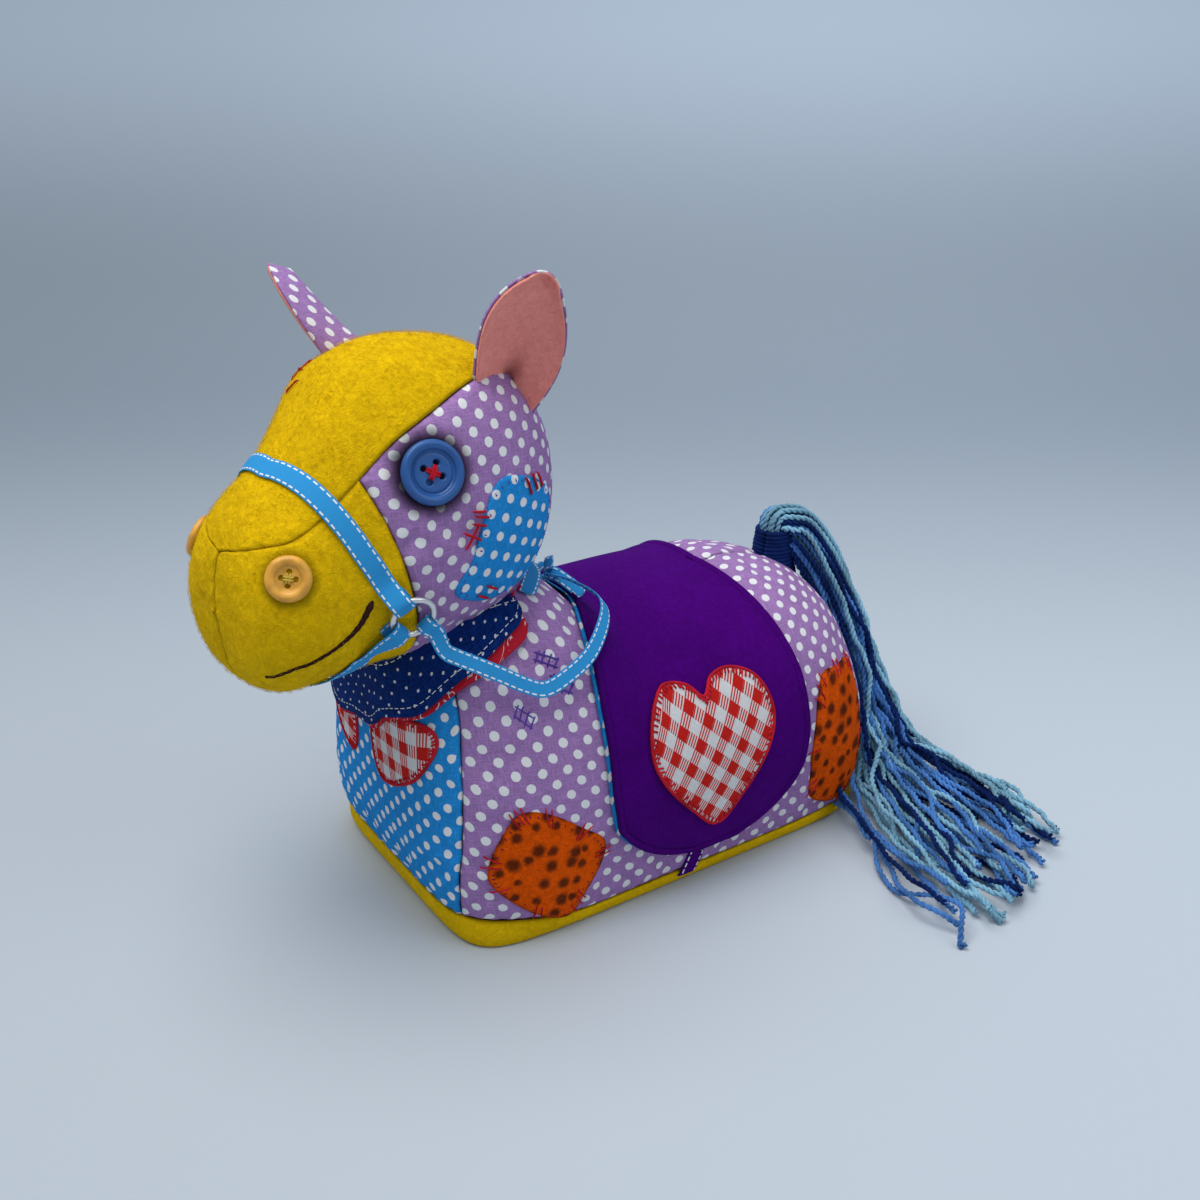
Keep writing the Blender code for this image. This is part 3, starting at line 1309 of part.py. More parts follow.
def add_hearts(toy):
    """A gingham heart on each saddle flap."""
    lift = SADDLE_LIFT + SADDLE_THICKNESS + PATCH_LIFT
    for word, side in (("left", -1.0), ("right", 1.0)):
        surface = lifted_over(body_side(side), lift)
        add_patch(toy, "heart_" + word, surface, HEART_CENTRE,
                  (HEART_HALF_WIDTH, HEART_HALF_HEIGHT), HEART_OUTLINE_SHARES, "red gingham",
                  (0.0, 0.0, BELLY_HEIGHT), rows=24)


def add_body_patches(toy):
    """Leopard patches on the left side and gingham patches on the chest."""
    left = lifted_over(body_side(-1.0), PATCH_LIFT)
    middle = (0.0, 0.0, BELLY_HEIGHT)
    add_patch(toy, "flank_patch", left, FLANK_PATCH_CENTRE, FLANK_PATCH_HALF_SIZE,
              FLANK_PATCH_SHARES, "orange felt", middle)
    add_patch(toy, "rump_patch", left, RUMP_PATCH_CENTRE, RUMP_PATCH_HALF_SIZE,
              RUMP_PATCH_SHARES, "orange felt", middle)
    for word, side in (("left", -1.0), ("right", 1.0)):
        surface = lifted_over(body_front(side), PATCH_LIFT, 0.0)
        add_patch(toy, "chest_patch_" + word, surface, CHEST_PATCH_CENTRE,
                  CHEST_PATCH_HALF_SIZE, CHEST_PATCH_SHARES, "red gingham", middle, rows=16)


def add_cheek_patch(toy):
    """The dotted patch on the left cheek."""
    surface = lifted_head(PATCH_LIFT)
    centre = (CHEEK_PATCH_CENTRE_share[0], -CHEEK_PATCH_CENTRE_share[1])
    item = add_patch(toy, "cheek_patch", surface, centre, CHEEK_PATCH_HALF_share,
                     CHEEK_PATCH_SHARES, "blue cotton",
                     (-HEAD_LENGTH / 2.0, 0.0, HEAD_HEIGHT / 2.0), toy.head, rows=18)
    cut(item, toy.neck_cutter)


def add_tail_binding(toy):
    """The thread-bound stub that holds the tail, with a cup for the tail's knob."""
    x = TAIL_ROOT[0]
    ground = float(crest_height(np.array(x)))
    top = TAIL_ROOT[2] - ground - TAIL_KNOB_RADIUS + BINDING_CUP_DEPTH
    points = [(0.0, 0.0, top), (BINDING_TOP_RADIUS, 0.0, top),
              (BINDING_WAIST_RADIUS, 0.0, top / 2.0),
              (BINDING_BASE_RADIUS, 0.0, 0.0), (BINDING_BASE_RADIUS, 0.0, -BINDING_SINK),
              (0.0, 0.0, -BINDING_SINK)]
    mesh = bpy.data.meshes.new("tail_binding")
    mesh.from_pydata(points, [(index, index + 1) for index in range(len(points) - 1)], [])
    item = add_object("tail_binding", mesh, "navy thread", toy.parts)
    item.location = (x, 0.0, ground)
    screw = item.modifiers.new("Turn", "SCREW")
    screw.steps = 20
    screw.render_steps = 20
    screw.use_merge_vertices = True
    screw.merge_threshold = MERGE_DISTANCE
    screw.use_smooth_shade = True
    mesh_data = bmesh.new()
    bmesh.ops.create_uvsphere(mesh_data, u_segments=20, v_segments=12,
                              radius=TAIL_KNOB_RADIUS + TAIL_KNOB_CLEARANCE)
    ball = bpy.data.meshes.new("tail_knob_space")
    mesh_data.to_mesh(ball)
    mesh_data.free()
    cutter = add_cutter("tail_knob_space", ball, toy.cutters)
    cutter.location = TAIL_ROOT
    cut(item, cutter)
    cut(item, toy.add_seat_cutter("binding_seat", BINDING_SEAT))


def tail_surface(u, v):
    """The yarn bundle as shares round it and along it, closed at both ends."""
    spread = np.array([TAIL_OVERHANG, TAIL_REACH, TAIL_ROOT[2]])
    route = np.array(TAIL_ROUTE_SHARES) * spread + np.array([TAIL_ROOT[0], 0.0, 0.0])
    places = np.linspace(0.0, 1.0, len(route))
    inner = np.clip((v - TAIL_END_share) / (1.0 - 2.0 * TAIL_END_share), 0.0, 1.0)
    centre = np.stack([smooth_table(places, column, inner) for column in route.T], -1)
    ahead = np.stack([smooth_table(places, column, inner + LIFT_STEP_share)
                      - smooth_table(places, column, inner - LIFT_STEP_share)
                      for column in route.T], -1)
    ahead = ahead / np.linalg.norm(ahead, axis=-1, keepdims=True)
    faces = np.array(TAIL_FACES_SHARES)
    face = np.stack([np.interp(inner, places, column) for column in faces.T], -1)
    sideways = np.cross(ahead, face)
    sideways = sideways / np.linalg.norm(sideways, axis=-1, keepdims=True)
    upward = np.cross(sideways, ahead)
    ends = np.where((v < TINY) | (v > 1.0 - TINY), 0.0, 1.0)
    wide = smooth_table(places, TAIL_HALF_WIDTHS, inner) * ends
    high = smooth_table(places, TAIL_HALF_HEIGHTS, inner) * ends
    turn = u * math.pi * 2.0
    point = (centre + sideways * (wide * np.cos(turn))[..., None]
             + upward * (high * np.sin(turn))[..., None])
    point[..., 2] = np.maximum(point[..., 2], TAIL_FLOOR_GAP)
    return point


def add_tail(toy):
    """The loose yarn tail, which swings on the knob at its top."""
    mesh_data = bmesh.new()
    bmesh.ops.create_grid(mesh_data, x_segments=9, y_segments=13, size=1.0)
    flat = np.array([vertex.co[:] for vertex in mesh_data.verts])
    places = tail_surface((flat[:, 0] + 1.0) / 2.0, (flat[:, 1] + 1.0) / 2.0)
    for vertex, place in zip(mesh_data.verts, places - np.array(TAIL_ROOT)):
        vertex.co = place
    bmesh.ops.remove_doubles(mesh_data, verts=mesh_data.verts[:], dist=MERGE_DISTANCE)
    mesh = bpy.data.meshes.new("tail")
    mesh_data.to_mesh(mesh)
    mesh_data.free()
    make_closed(mesh)
    item = add_object("tail", mesh, "blue yarn", toy.parts)
    item.location = TAIL_ROOT
    subdivide(item)
    mesh_data = bmesh.new()
    bmesh.ops.create_uvsphere(mesh_data, u_segments=16, v_segments=10, radius=TAIL_KNOB_RADIUS)
    ball = bpy.data.meshes.new("tail_knob")
    mesh_data.to_mesh(ball)
    mesh_data.free()
    knob = add_cutter("tail_knob", ball, toy.cutters, item)
    join(item, knob)
    cut(item, toy.body_cutter)


def build():
    """Build the whole toy."""
    clear_scene()
    toy = Toy()
    bpy.context.view_layer.update()
    girth_cutter = add_girth_cutter(toy)
    add_base_panel(toy, girth_cutter)
    add_body_panels(toy)
    add_body_stuffing(toy)
    add_head_panels(toy)
    add_head_stuffing(toy)
    add_ears(toy)
    add_buttons(toy)
    add_rings(toy)
    add_straps(toy)
    add_reins(toy)
    add_bandana(toy)
    add_bandana_tie(toy)
    add_saddle(toy)
    add_girth(toy)
    add_hearts(toy)
    add_body_patches(toy)
    add_cheek_patch(toy)
    add_tail_binding(toy)
    add_tail(toy)


build()
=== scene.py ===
"""Looks of a patchwork plush horse: its felt, cottons, ribbons, stitches and yarn tail.

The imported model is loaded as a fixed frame. Each operator below makes one piece or one group
of like pieces around it. Lengths are metres, angles are degrees, the chest points along -X,
the toy's left side is -Y and up is +Z.
"""

import math

import bmesh
import bpy
import numpy as np
from bpy.props import FloatProperty, FloatVectorProperty, IntProperty, PointerProperty
from mathutils import Matrix, Vector


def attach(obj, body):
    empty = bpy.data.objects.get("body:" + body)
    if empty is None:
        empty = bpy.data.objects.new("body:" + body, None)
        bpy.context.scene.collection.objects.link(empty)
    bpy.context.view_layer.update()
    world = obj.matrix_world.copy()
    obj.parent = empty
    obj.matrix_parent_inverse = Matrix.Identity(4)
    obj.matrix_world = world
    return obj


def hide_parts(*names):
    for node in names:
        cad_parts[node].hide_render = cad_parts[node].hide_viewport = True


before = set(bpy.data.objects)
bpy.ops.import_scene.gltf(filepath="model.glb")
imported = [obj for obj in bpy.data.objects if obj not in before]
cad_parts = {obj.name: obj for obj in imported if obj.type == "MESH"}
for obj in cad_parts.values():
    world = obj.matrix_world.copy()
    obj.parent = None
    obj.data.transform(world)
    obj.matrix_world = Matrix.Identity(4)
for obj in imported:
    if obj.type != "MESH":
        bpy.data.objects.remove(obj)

bl_info = {
    "name": "Patchwork plush horse",
    "version": (1, 0, 0),
    "blender": (4, 5, 0),
    "location": "3D View > Sidebar > Plush horse",
    "description": "Dresses the packed plush horse in felt, cotton, ribbon and yarn",
    "category": "Object",
}

# Body form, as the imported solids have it
BODY_FRONT_LENGTH = 0.089
BODY_REAR_LENGTH = 0.096
BODY_HALF_WIDTH = 0.0595
BELLY_HEIGHT = 0.036
BACK_HEIGHT = 0.095
NECK_HEIGHT = 0.113
NECK_FRONT_HEIGHT = 0.103
NECK_START = 0.007
NECK_END = 0.043
CHEST_ROUND_START = 0.072
SEAM_HEIGHT_SIDE = 0.0055
SEAM_HEIGHT_FRONT = 0.0110
SEAM_RISE_START = 0.040
SEAM_RISE_END = 0.086
BELLY_RISE = 0.3
TUCK = 0.045
PLAN_POWER_BASE = 5.6
PLAN_POWER_TOP = 3.7
PLAN_POWER_BLEND = 0.6
SECTION_POWER = 2.25
REAR_POWER = 3.4
REAR_ROUND = 1.02
BASE_ROUND = 0.045
BASE_BULGE = 0.002
BASE_SQUARE = 3.0
BASE_CORNER = 0.3
CHEST_SEAM_TURN = 27.0
CHEST_SEAM_SPREAD = 22.0
CHEST_TURN = 38.0
SADDLE_PRESS = 0.0055
SADDLE_PRESS_FRONT = (-0.036, -0.006)
SADDLE_PRESS_REAR = (0.034, 0.058)
BODY_MIDDLE = (0.0, 0.0, BELLY_HEIGHT)
BODY_STUFFING_LIFT = -0.0044
HEAD_STUFFING_LIFT = -0.0046
BODY_STUFFING_BOTTOM = 0.0042
HEAD_STUFFING_BOTTOM = 0.1155
BASE_DIP = 0.0002
BASE_WALL = 0.0016
PANEL_WALL = 0.0009
FELT_GIVE = 0.35
PUCKER_PITCH = 0.0052
PUCKER_REACH = 0.0030
SEAM_ROLL = 0.0008
SIDES = (("left", -1.0), ("right", 1.0))
UP = (0.0, 0.0, 1.0)
GROUND = (0.0, 0.0, 0.0)

# Cloth solver that settles the stuffed panels
SETTLE_COLUMNS = 44
SETTLE_ROWS = 32
SETTLE_FRAMES = 20
SWELL_SHARE = 0.2
CLOTH_SETTINGS = (
    ("quality", 5), ("mass", 0.2), ("tension_stiffness", 12.0), ("compression_stiffness", 12.0),
    ("shear_stiffness", 6.0), ("bending_stiffness", 0.3), ("use_pressure", True),
    ("uniform_pressure_force", 4.0), ("shrink_min", -0.03), ("vertex_group_mass", "seam"),
)

# Head form: sections from the back of the skull to the nose
HEAD_BACK_X = -0.0255
HEAD_LENGTH = 0.1165
HEAD_BOTTOM = 0.097
HEAD_HEIGHT = 0.096
HEAD_HALF_WIDTH = 0.0385
HEAD_POWER = 2.15
HEAD_MIDDLE = 0.47
HEAD_PIVOT = (-0.050, 0.0, 0.100)
HEAD_TURN = 10.0
HEAD_TILT = -2.0
HEAD_PINCH = 0.12
HEAD_PINCH_SECTION = 6.9
HEAD_PINCH_REACH = 1.2
HEAD_SECTIONS = (
    # along, top, bottom, half width, each as a share
    (0.000, 0.552, 0.552, 0.000),
    (0.030, 0.719, 0.344, 0.390),
    (0.090, 0.833, 0.208, 0.675),
    (0.176, 0.927, 0.104, 0.870),
    (0.288, 0.979, 0.042, 0.974),
    (0.425, 1.000, 0.010, 1.000),
    (0.554, 0.964, 0.000, 0.974),
    (0.674, 0.844, 0.005, 0.857),
    (0.785, 0.703, 0.005, 0.766),
    (0.880, 0.615, 0.010, 0.740),
    (0.949, 0.521, 0.052, 0.623),
    (0.987, 0.417, 0.135, 0.390),
    (1.000, 0.300, 0.300, 0.000),
)
LAST_SECTION = len(HEAD_SECTIONS) - 1.0
GUSSET_SEAM = ((2.6, 0.0), (3.5, 30.0), (4.5, 40.0), (5.4, 47.0), (6.3, 50.5), (7.1, 52.0),
               (7.9, 50.0), (8.8, 46.0), (9.6, 33.0), (10.15, 17.0), (10.4, 0.0))
CHEEK_FRONT = ((0.0, 7.1), (0.18, 6.85), (0.38, 6.55), (0.7, 6.1), (1.0, 5.9))

HEAD_CENTRE = (-HEAD_LENGTH / 2.0, 0.0, HEAD_HEIGHT / 2.0)
HEAD_MIDDLE_POINT = (HEAD_BACK_X - HEAD_LENGTH / 2.0, -0.004, HEAD_BOTTOM + HEAD_HEIGHT / 2.0)
TEMPLE_SWELL = 0.0030
TEMPLE_PLACE = (6.1, 40.0)
CHEEK_MIDDLE = (4.9, 92.0)
CHEEK_FACING = (-0.20, 0.97, 0.05)
FUZZ_LENGTH = 0.0022
FUZZ_RADIUS = 0.000035

# Ears: root on the head, way across, way to the tip, way that each opens, depth of its cup
EAR_ROOT_HALF_WIDTH = 0.0113
EAR_BELLY = 0.0048
EAR_SINK = 0.003
EAR_CUP_FALL = 0.6
EARS = {
    "left": ((3.5, -45.0), (0.81, -0.12, -0.57), (0.0078, -0.0132, 0.0352),
             (-0.55, -0.76, 0.34), 0.0075),
    "right": ((5.0, 34.0), (0.56, 0.74, -0.36), (-0.0070, 0.0189, 0.0283),
              (-0.70, 0.66, 0.28), 0.0165),
}
EAR_SWING = {"left": 0.0, "right": -5.0}
EAR_SHIFT = {"left": (0.0, 0.0, 0.0), "right": (-0.0042, 0.0012, -0.0026)}
EAR_FOLD = 0.0105
EAR_COLUMNS = 64
EAR_ROWS = 72
EAR_LAYERS = (
    # layer, finish, slot, size share, lift, wall
    ("outer", "ear", "lilac_cotton", 1.0, 0.0, 0.0007),
    ("lining", "ear_felt", "pink_felt", 0.985, 0.0011, 0.0009),
)

# Buttons
EYE_RADIUS = 0.0095
EYE_HEIGHT = 0.0030
EYE_PLACE = (5.82, 67.0)
NOSTRIL_RADIUS = 0.0066
NOSTRIL_HEIGHT = 0.0026
NOSTRIL_PLACE = (9.34, 60.0)
EYE_PROFILE = ((0.0, 0.62), (0.30, 0.62), (0.50, 0.64), (0.58, 0.62), (0.63, 0.52), (0.68, 0.62),
               (0.74, 0.90), (0.86, 1.0), (0.96, 0.86), (1.0, 0.45), (0.95, 0.08), (0.7, 0.0),
               (0.0, 0.0))
NOSTRIL_PROFILE = ((0.0, 0.58), (0.30, 0.58), (0.50, 0.62), (0.62, 0.88), (0.78, 1.0),
                   (0.92, 0.86), (1.0, 0.45), (0.93, 0.06), (0.7, 0.0), (0.0, 0.0))

# Halter
RIBBON_THICKNESS = 0.0006
RING_RADIUS = 0.0063
RING_WIRE_RADIUS = 0.00100
RING_PLACE = (6.56, 112.0)
RING_STAND_OFF = 0.0031
LOOP_RADIUS = 0.0021
LOOP_TAIL = 0.0045
LOOP_LEAD = 0.0025
NOSEBAND_RING_TURN = -70.0
CHIN_RING_TURN = 28.0
REIN_RING_TURN = 124.0
NOSEBAND = ((0.0, 8.2), (17.0, 8.1), (47.0, 7.83), (78.0, 7.42), (93.0, 7.12))
CHIN_STRAP = ((131.0, 7.35), (145.0, 7.75), (162.0, 8.0), (180.0, 8.1))
REIN_ROUTE = (
    (-0.0830, -0.0440, 0.1090), (-0.0788, -0.0445, 0.1056), (-0.0722, -0.0470, 0.1016),
    (-0.0658, -0.0487, 0.0974), (-0.0592, -0.0502, 0.0930), (-0.0528, -0.0512, 0.0902),
    (-0.0450, -0.0510, 0.0920), (-0.0350, -0.0485, 0.0955), (-0.0262, -0.0425, 0.0998),
    (-0.0198, -0.0350, 0.1028), (-0.0180, -0.0275, 0.1042), (-0.0205, -0.0185, 0.1060),
    (-0.0230, -0.0110, 0.1062), (-0.0232, -0.0062, 0.1052),
)
REIN_FACES = (
    (-0.30, -0.80, 0.52), (-0.25, -0.80, 0.55), (-0.20, -0.85, 0.50), (-0.15, -0.86, 0.48),
    (-0.10, -0.86, 0.50), (-0.05, -0.86, 0.50), (0.05, -0.86, 0.50), (0.15, -0.84, 0.52),
    (0.35, -0.75, 0.55), (0.60, -0.60, 0.52), (0.78, -0.30, 0.55), (0.70, -0.05, 0.71),
    (0.50, -0.05, 0.86), (0.30, -0.05, 0.95),
)
REIN_WIDTH_SHARE = 0.80
KNOT_X = -0.0228
KNOT_RADIUS = 0.0030
KNOT_WIDTH = 0.0052
KNOT_TAIL_WIDTH = 0.0050
KNOT_TAILS = (
    ((0.0, -0.0020, 0.0050), (-0.0010, -0.0050, 0.0085), (0.0000, -0.0085, 0.0105)),
    ((0.0010, -0.0020, 0.0040), (0.0020, -0.0065, 0.0045), (0.0050, -0.0110, 0.0018),
     (0.0075, -0.0150, -0.0015)),
)
TIE_WIDTH = 0.006
TIE_LIFT = 0.0018
TIE_ROUTE = ((-0.0432, 0.165), (-0.0378, 0.115), (-0.0337, 0.06), (-0.0315, 0.0))

# Bandana: turn, lower edge, upper edge, how far the lining hangs below the lower edge
BANDANA_LIFT = 0.0029
LINING_LIFT = 0.0017
BANDANA_EDGES = (
    (-71.0, 0.785, 0.835, 0.036), (-69.0, 0.757, 0.835, 0.036), (-65.0, 0.735, 0.832, 0.034),
    (-59.5, 0.708, 0.827, 0.030), (-53.0, 0.680, 0.820, 0.024), (-46.0, 0.655, 0.815, 0.018),
    (-36.0, 0.630, 0.808, 0.014), (-26.0, 0.606, 0.800, 0.012), (-14.0, 0.588, 0.785, 0.010),
    (-6.0, 0.560, 0.775, 0.010), (0.0, 0.500, 0.765, 0.014), (7.0, 0.470, 0.770, 0.016),
    (14.0, 0.490, 0.785, 0.018), (28.0, 0.560, 0.800, 0.018), (45.0, 0.635, 0.812, 0.020),
    (60.0, 0.695, 0.825, 0.026), (71.0, 0.745, 0.835, 0.030),
)

# Saddle, girth and patches
SADDLE_CENTRE_X = 0.0095
SADDLE_HALF_LENGTH = 0.0435
SADDLE_LIFT = 0.0024
SADDLE_THICKNESS = 0.0014
SADDLE_LINING_LIFT = 0.0014
SADDLE_LINING_SPREAD = 1.02
SADDLE_STITCH = 0.0024
SADDLE_EDGES = (
    (0.000, -0.60, 0.80), (0.120, -0.75, 0.83), (0.245, -0.89, 0.87), (0.370, -0.97, 0.91),
    (0.490, -1.00, 0.94), (0.610, -1.00, 0.93), (0.700, -0.96, 0.87), (0.765, -0.85, 0.77),
    (0.820, -0.70, 0.62), (0.865, -0.50, 0.44), (0.900, -0.22, 0.20),
)
GIRTH_X = 0.0085
GIRTH_WIDTH = 0.0070
GIRTH_THICKNESS = 0.0012
GIRTH_LIFT = 0.0011
GIRTH_SLANT = 0.0085
GIRTH_TUCK = 0.10
GIRTH_ROUTE = ((0.085, 1.0), (0.060, 1.0), (0.030, 1.0), (0.0, 0.9), (-0.05, 0.6),
               (-0.10, 0.3), (-0.16, 0.0), (-0.22, -0.3), (-0.30, -0.54), (-0.38, -0.54545))
PATCH_THICKNESS = 0.0008
PATCH_LIFT = 0.0005
HEART = ((0.0070, 0.0500), (0.0267, 0.0235),
         ((0.0, -1.0), (0.42, -0.62), (0.82, -0.10), (0.98, 0.36), (0.86, 0.78), (0.52, 0.96),
          (0.20, 0.93), (0.0, 0.76), (-0.20, 0.93), (-0.52, 0.99), (-0.86, 0.80),
          (-0.98, 0.36), (-0.82, -0.10), (-0.42, -0.62)))
FLANK_PATCH = ((-0.0570, 0.0292), (0.0200, 0.0225),
               ((-0.95, 0.15), (-0.67, 0.73), (-0.33, 0.98), (0.15, 0.82), (0.62, 0.50),
                (1.0, 0.20), (0.96, -0.16), (0.60, -0.68), (0.26, -1.0), (-0.30, -0.78),
                (-0.87, -0.20)))
RUMP_PATCH = ((0.0690, 0.0350), (0.0145, 0.0260),
              ((-1.0, 0.30), (-0.55, 0.98), (0.20, 1.0), (0.85, 0.90), (1.0, 0.10),
               (0.95, -0.85), (0.20, -1.0), (-0.90, -0.72), (-1.05, -0.20)))
CHEST_PATCH = ((0.0187, 0.0630), (0.0168, 0.0142),
               ((-0.98, 0.35), (-0.45, 0.85), (0.10, 0.96), (0.63, 1.0), (0.97, 0.76),
                (1.0, 0.37), (0.67, -0.28), (0.22, -0.68), (-0.25, -0.95), (-0.73, -1.02),
                (-1.0, -0.50)))
CHEST_PATCHES = {"left": CHEST_PATCH,
                 "right": ((0.0235, 0.0630), (0.0122, 0.0142), CHEST_PATCH[2])}
CHEEK_PATCH = ((4.15, -103.0), (1.40, 24.0),
               ((0.30, 1.0), (-0.30, 0.98), (-0.98, 0.55), (-0.96, -0.10), (-0.55, -0.90),
                (0.20, -0.95), (1.0, -0.40), (0.78, 0.10)))

# Tail
TAIL_ROOT = (0.0820, 0.0, 0.0975)
TAIL_ROUTE = (
    (0.0818, 0.0, 0.0880), (0.0830, -0.0004, 0.0985), (0.0888, -0.0030, 0.0965),
    (0.0944, -0.0085, 0.0870), (0.0986, -0.0150, 0.0730), (0.1018, -0.0222, 0.0560),
    (0.1040, -0.0300, 0.0380), (0.1052, -0.0390, 0.0200), (0.1040, -0.0520, 0.0095),
    (0.1000, -0.0740, 0.0062), (0.0965, -0.0980, 0.0052), (0.0940, -0.1180, 0.0044),
    (0.0930, -0.1340, 0.0034),
)
TAIL_THICK = (0.0046, 0.0062, 0.0078, 0.0084, 0.0086, 0.0088, 0.0092, 0.0098, 0.0086, 0.0068,
              0.0054, 0.0042, 0.0032)
TAIL_FAN = (0.0046, 0.0064, 0.0080, 0.0086, 0.0086, 0.0088, 0.0098, 0.0140, 0.0215, 0.0300,
            0.0350, 0.0365, 0.0360)
TAIL_SKEW = 0.022
TAIL_FREE_Y = -0.122
TAIL_PAST = 0.020
TAIL_RINGS = 250
GOLDEN_TURN = 2.39996
PLY_OFFSET = 0.00052
PLY_PITCH = 0.0048
BINDING_TURNS = 15
BINDING_THREAD = 0.00095
BINDING_RADIUS = 0.0092
BINDING_TOP_RADIUS = 0.0062
BINDING_SINK = 0.0085

# Hand stitches, as shares round an outline or as places on the body and the head
HEART_STITCHES = 84
CHEST_STITCHES = 48
BLANKET_STITCHES = 44
LEOPARD_TUFTS = (0.005, 0.03, 0.135, 0.155, 0.175, 0.245, 0.262, 0.36, 0.385, 0.50, 0.52, 0.64,
                 0.66, 0.685, 0.80, 0.82, 0.91)
RUMP_TUFTS = (0.06, 0.085, 0.11, 0.20, 0.225, 0.30, 0.33, 0.47, 0.50, 0.62, 0.65, 0.80, 0.83,
              0.94)
CHEEK_BARS = (
    # section and angle of both ends
    (5.20, -84.0, 4.88, -85.5), (5.16, -85.7, 4.82, -87.5), (5.24, -87.5, 4.90, -89.6),
    (5.46, -88.8, 5.02, -93.6), (5.08, -88.0, 5.44, -94.6), (3.42, -79.0, 3.24, -86.0),
    (3.62, -78.5, 3.46, -86.0), (3.84, -79.0, 3.68, -86.5), (3.62, -131.0, 3.50, -139.0),
    (3.86, -130.5, 3.74, -138.5), (5.02, -117.0, 4.70, -122.0), (4.84, -114.0, 4.52, -119.0),
)
TEMPLE_CROSSES = ((6.34, 34.0, 5.96, 25.0), (6.26, 25.0, 6.10, 33.0), (6.64, 31.0, 6.50, 22.0))
DARNS = (
    # turn and rise of a cluster's middle, its length along the turn and up the rise
    (-62.5, 0.555, 4.2, 0.040), (-74.0, 0.605, 3.8, 0.036), (-72.5, 0.665, 3.8, 0.034),
)
DARN_LEAN = 36.0
DARN_BARS = (((-0.62, -0.5), (-0.66, 0.45)), ((-0.22, -0.6), (-0.2, 0.55)),
             ((0.2, -0.5), (0.24, 0.6)), ((0.6, -0.55), (0.56, 0.5)),
             ((-0.95, -0.28), (0.85, -0.3)), ((-0.85, 0.24), (0.95, 0.2)))
MOUTH = ((7.40, 96.0), (7.80, 106.0), (8.48, 111.0), (9.40, 114.0), (10.30, 133.0))

# Camera and making
CAMERA_TURN = -33.72
CAMERA_RISE = 25.0
CAMERA_DISTANCE = 0.53636
CAMERA_SHIFT = (0.00135, 0.07892)
CAMERA_LENS = 42.0
LIGHT_AIM = (0.0, -0.02, 0.08)
LIGHTS = (
    # name, place, width, power, colour
    ("window", (-0.28, 0.08, 1.20), 1.1, 12.5, (1.0, 0.99, 0.975)),
    ("room_bounce", (0.6, -0.9, 1.0), 1.0, 3.0, (0.96, 0.98, 1.0)),
)
ROOM_COLOUR = (0.80, 0.89, 1.0, 1.0)
ROOM_LIGHT = 0.42
TINY = 0.0000001
STEP = 0.004
MERGE_DISTANCE = 0.00001


def smooth_step(start, end, value):
    """0 before start, 1 after end, and s^2 (3 - 2 s) between them."""
    share = np.clip((value - start) / (end - start), 0.0, 1.0)
    return share * share * (3.0 - 2.0 * share)


def smooth_table(places, values, at):
    """Cubic curve through a table whose slopes are harmonic means, so it never overshoots."""
    places = np.asarray(places, float)
    values = np.asarray(values, float)
    at = np.clip(at, places[0], places[-1])
    steps = np.diff(places)
    slopes = np.diff(values) / steps
    tangents = np.zeros_like(values)
    tangents[0] = slopes[0]
    tangents[-1] = slopes[-1]
    same = slopes[1:] * slopes[:-1] > 0.0
    total = np.where(same, slopes[1:] + slopes[:-1], 1.0)
    tangents[1:-1] = np.where(same, 2.0 * slopes[1:] * slopes[:-1] / total, 0.0)
    left = np.clip(np.searchsorted(places, at, side="right") - 1, 0, len(steps) - 1)
    share = (at - places[left]) / steps[left]
    rest = 1.0 - share
    return (values[left] * (1.0 + 2.0 * share) * rest ** 2
            + steps[left] * tangents[left] * share * rest ** 2
            + values[left + 1] * share ** 2 * (3.0 - 2.0 * share)
            - steps[left] * tangents[left + 1] * share ** 2 * rest)


def power_root(value, power):
    """sign(x) |x|^(2 / power), which squares a circle into a rounded box."""
    return np.sign(value) * np.abs(value) ** (2.0 / power)


def crest_height(x):
    """Height of the spine: a rounded fall to the rump and a smooth rise to the neck."""
    rear = np.clip(x / (BODY_REAR_LENGTH * REAR_ROUND), 0.0, 1.0)
    fall = (1.0 - rear ** REAR_POWER) ** (1.0 / REAR_POWER)
    back = BELLY_HEIGHT + (BACK_HEIGHT - BELLY_HEIGHT) * fall
    round_off = smooth_step(CHEST_ROUND_START, BODY_FRONT_LENGTH, -x)
    neck = NECK_HEIGHT - (NECK_HEIGHT - NECK_FRONT_HEIGHT) * round_off
    under = smooth_step(*SADDLE_PRESS_FRONT, x) * (1.0 - smooth_step(*SADDLE_PRESS_REAR, x))
    return back + (neck - back) * smooth_step(NECK_START, NECK_END, -x) - SADDLE_PRESS * under


def seam_height(x):
    """Height of the base seam, higher under the chest."""
    rise = smooth_step(SEAM_RISE_START, SEAM_RISE_END, -x)
    return SEAM_HEIGHT_SIDE + (SEAM_HEIGHT_FRONT - SEAM_HEIGHT_SIDE) * rise


def plan_power(rise):
    """Power of the plan outline, squarer at the base than at the back."""
    blend = smooth_step(0.0, PLAN_POWER_BLEND, rise)
    corner = np.clip(-rise / BASE_CORNER, 0.0, 1.0)
    return (PLAN_POWER_BASE + (PLAN_POWER_TOP - PLAN_POWER_BASE) * blend
            + BASE_SQUARE * corner)


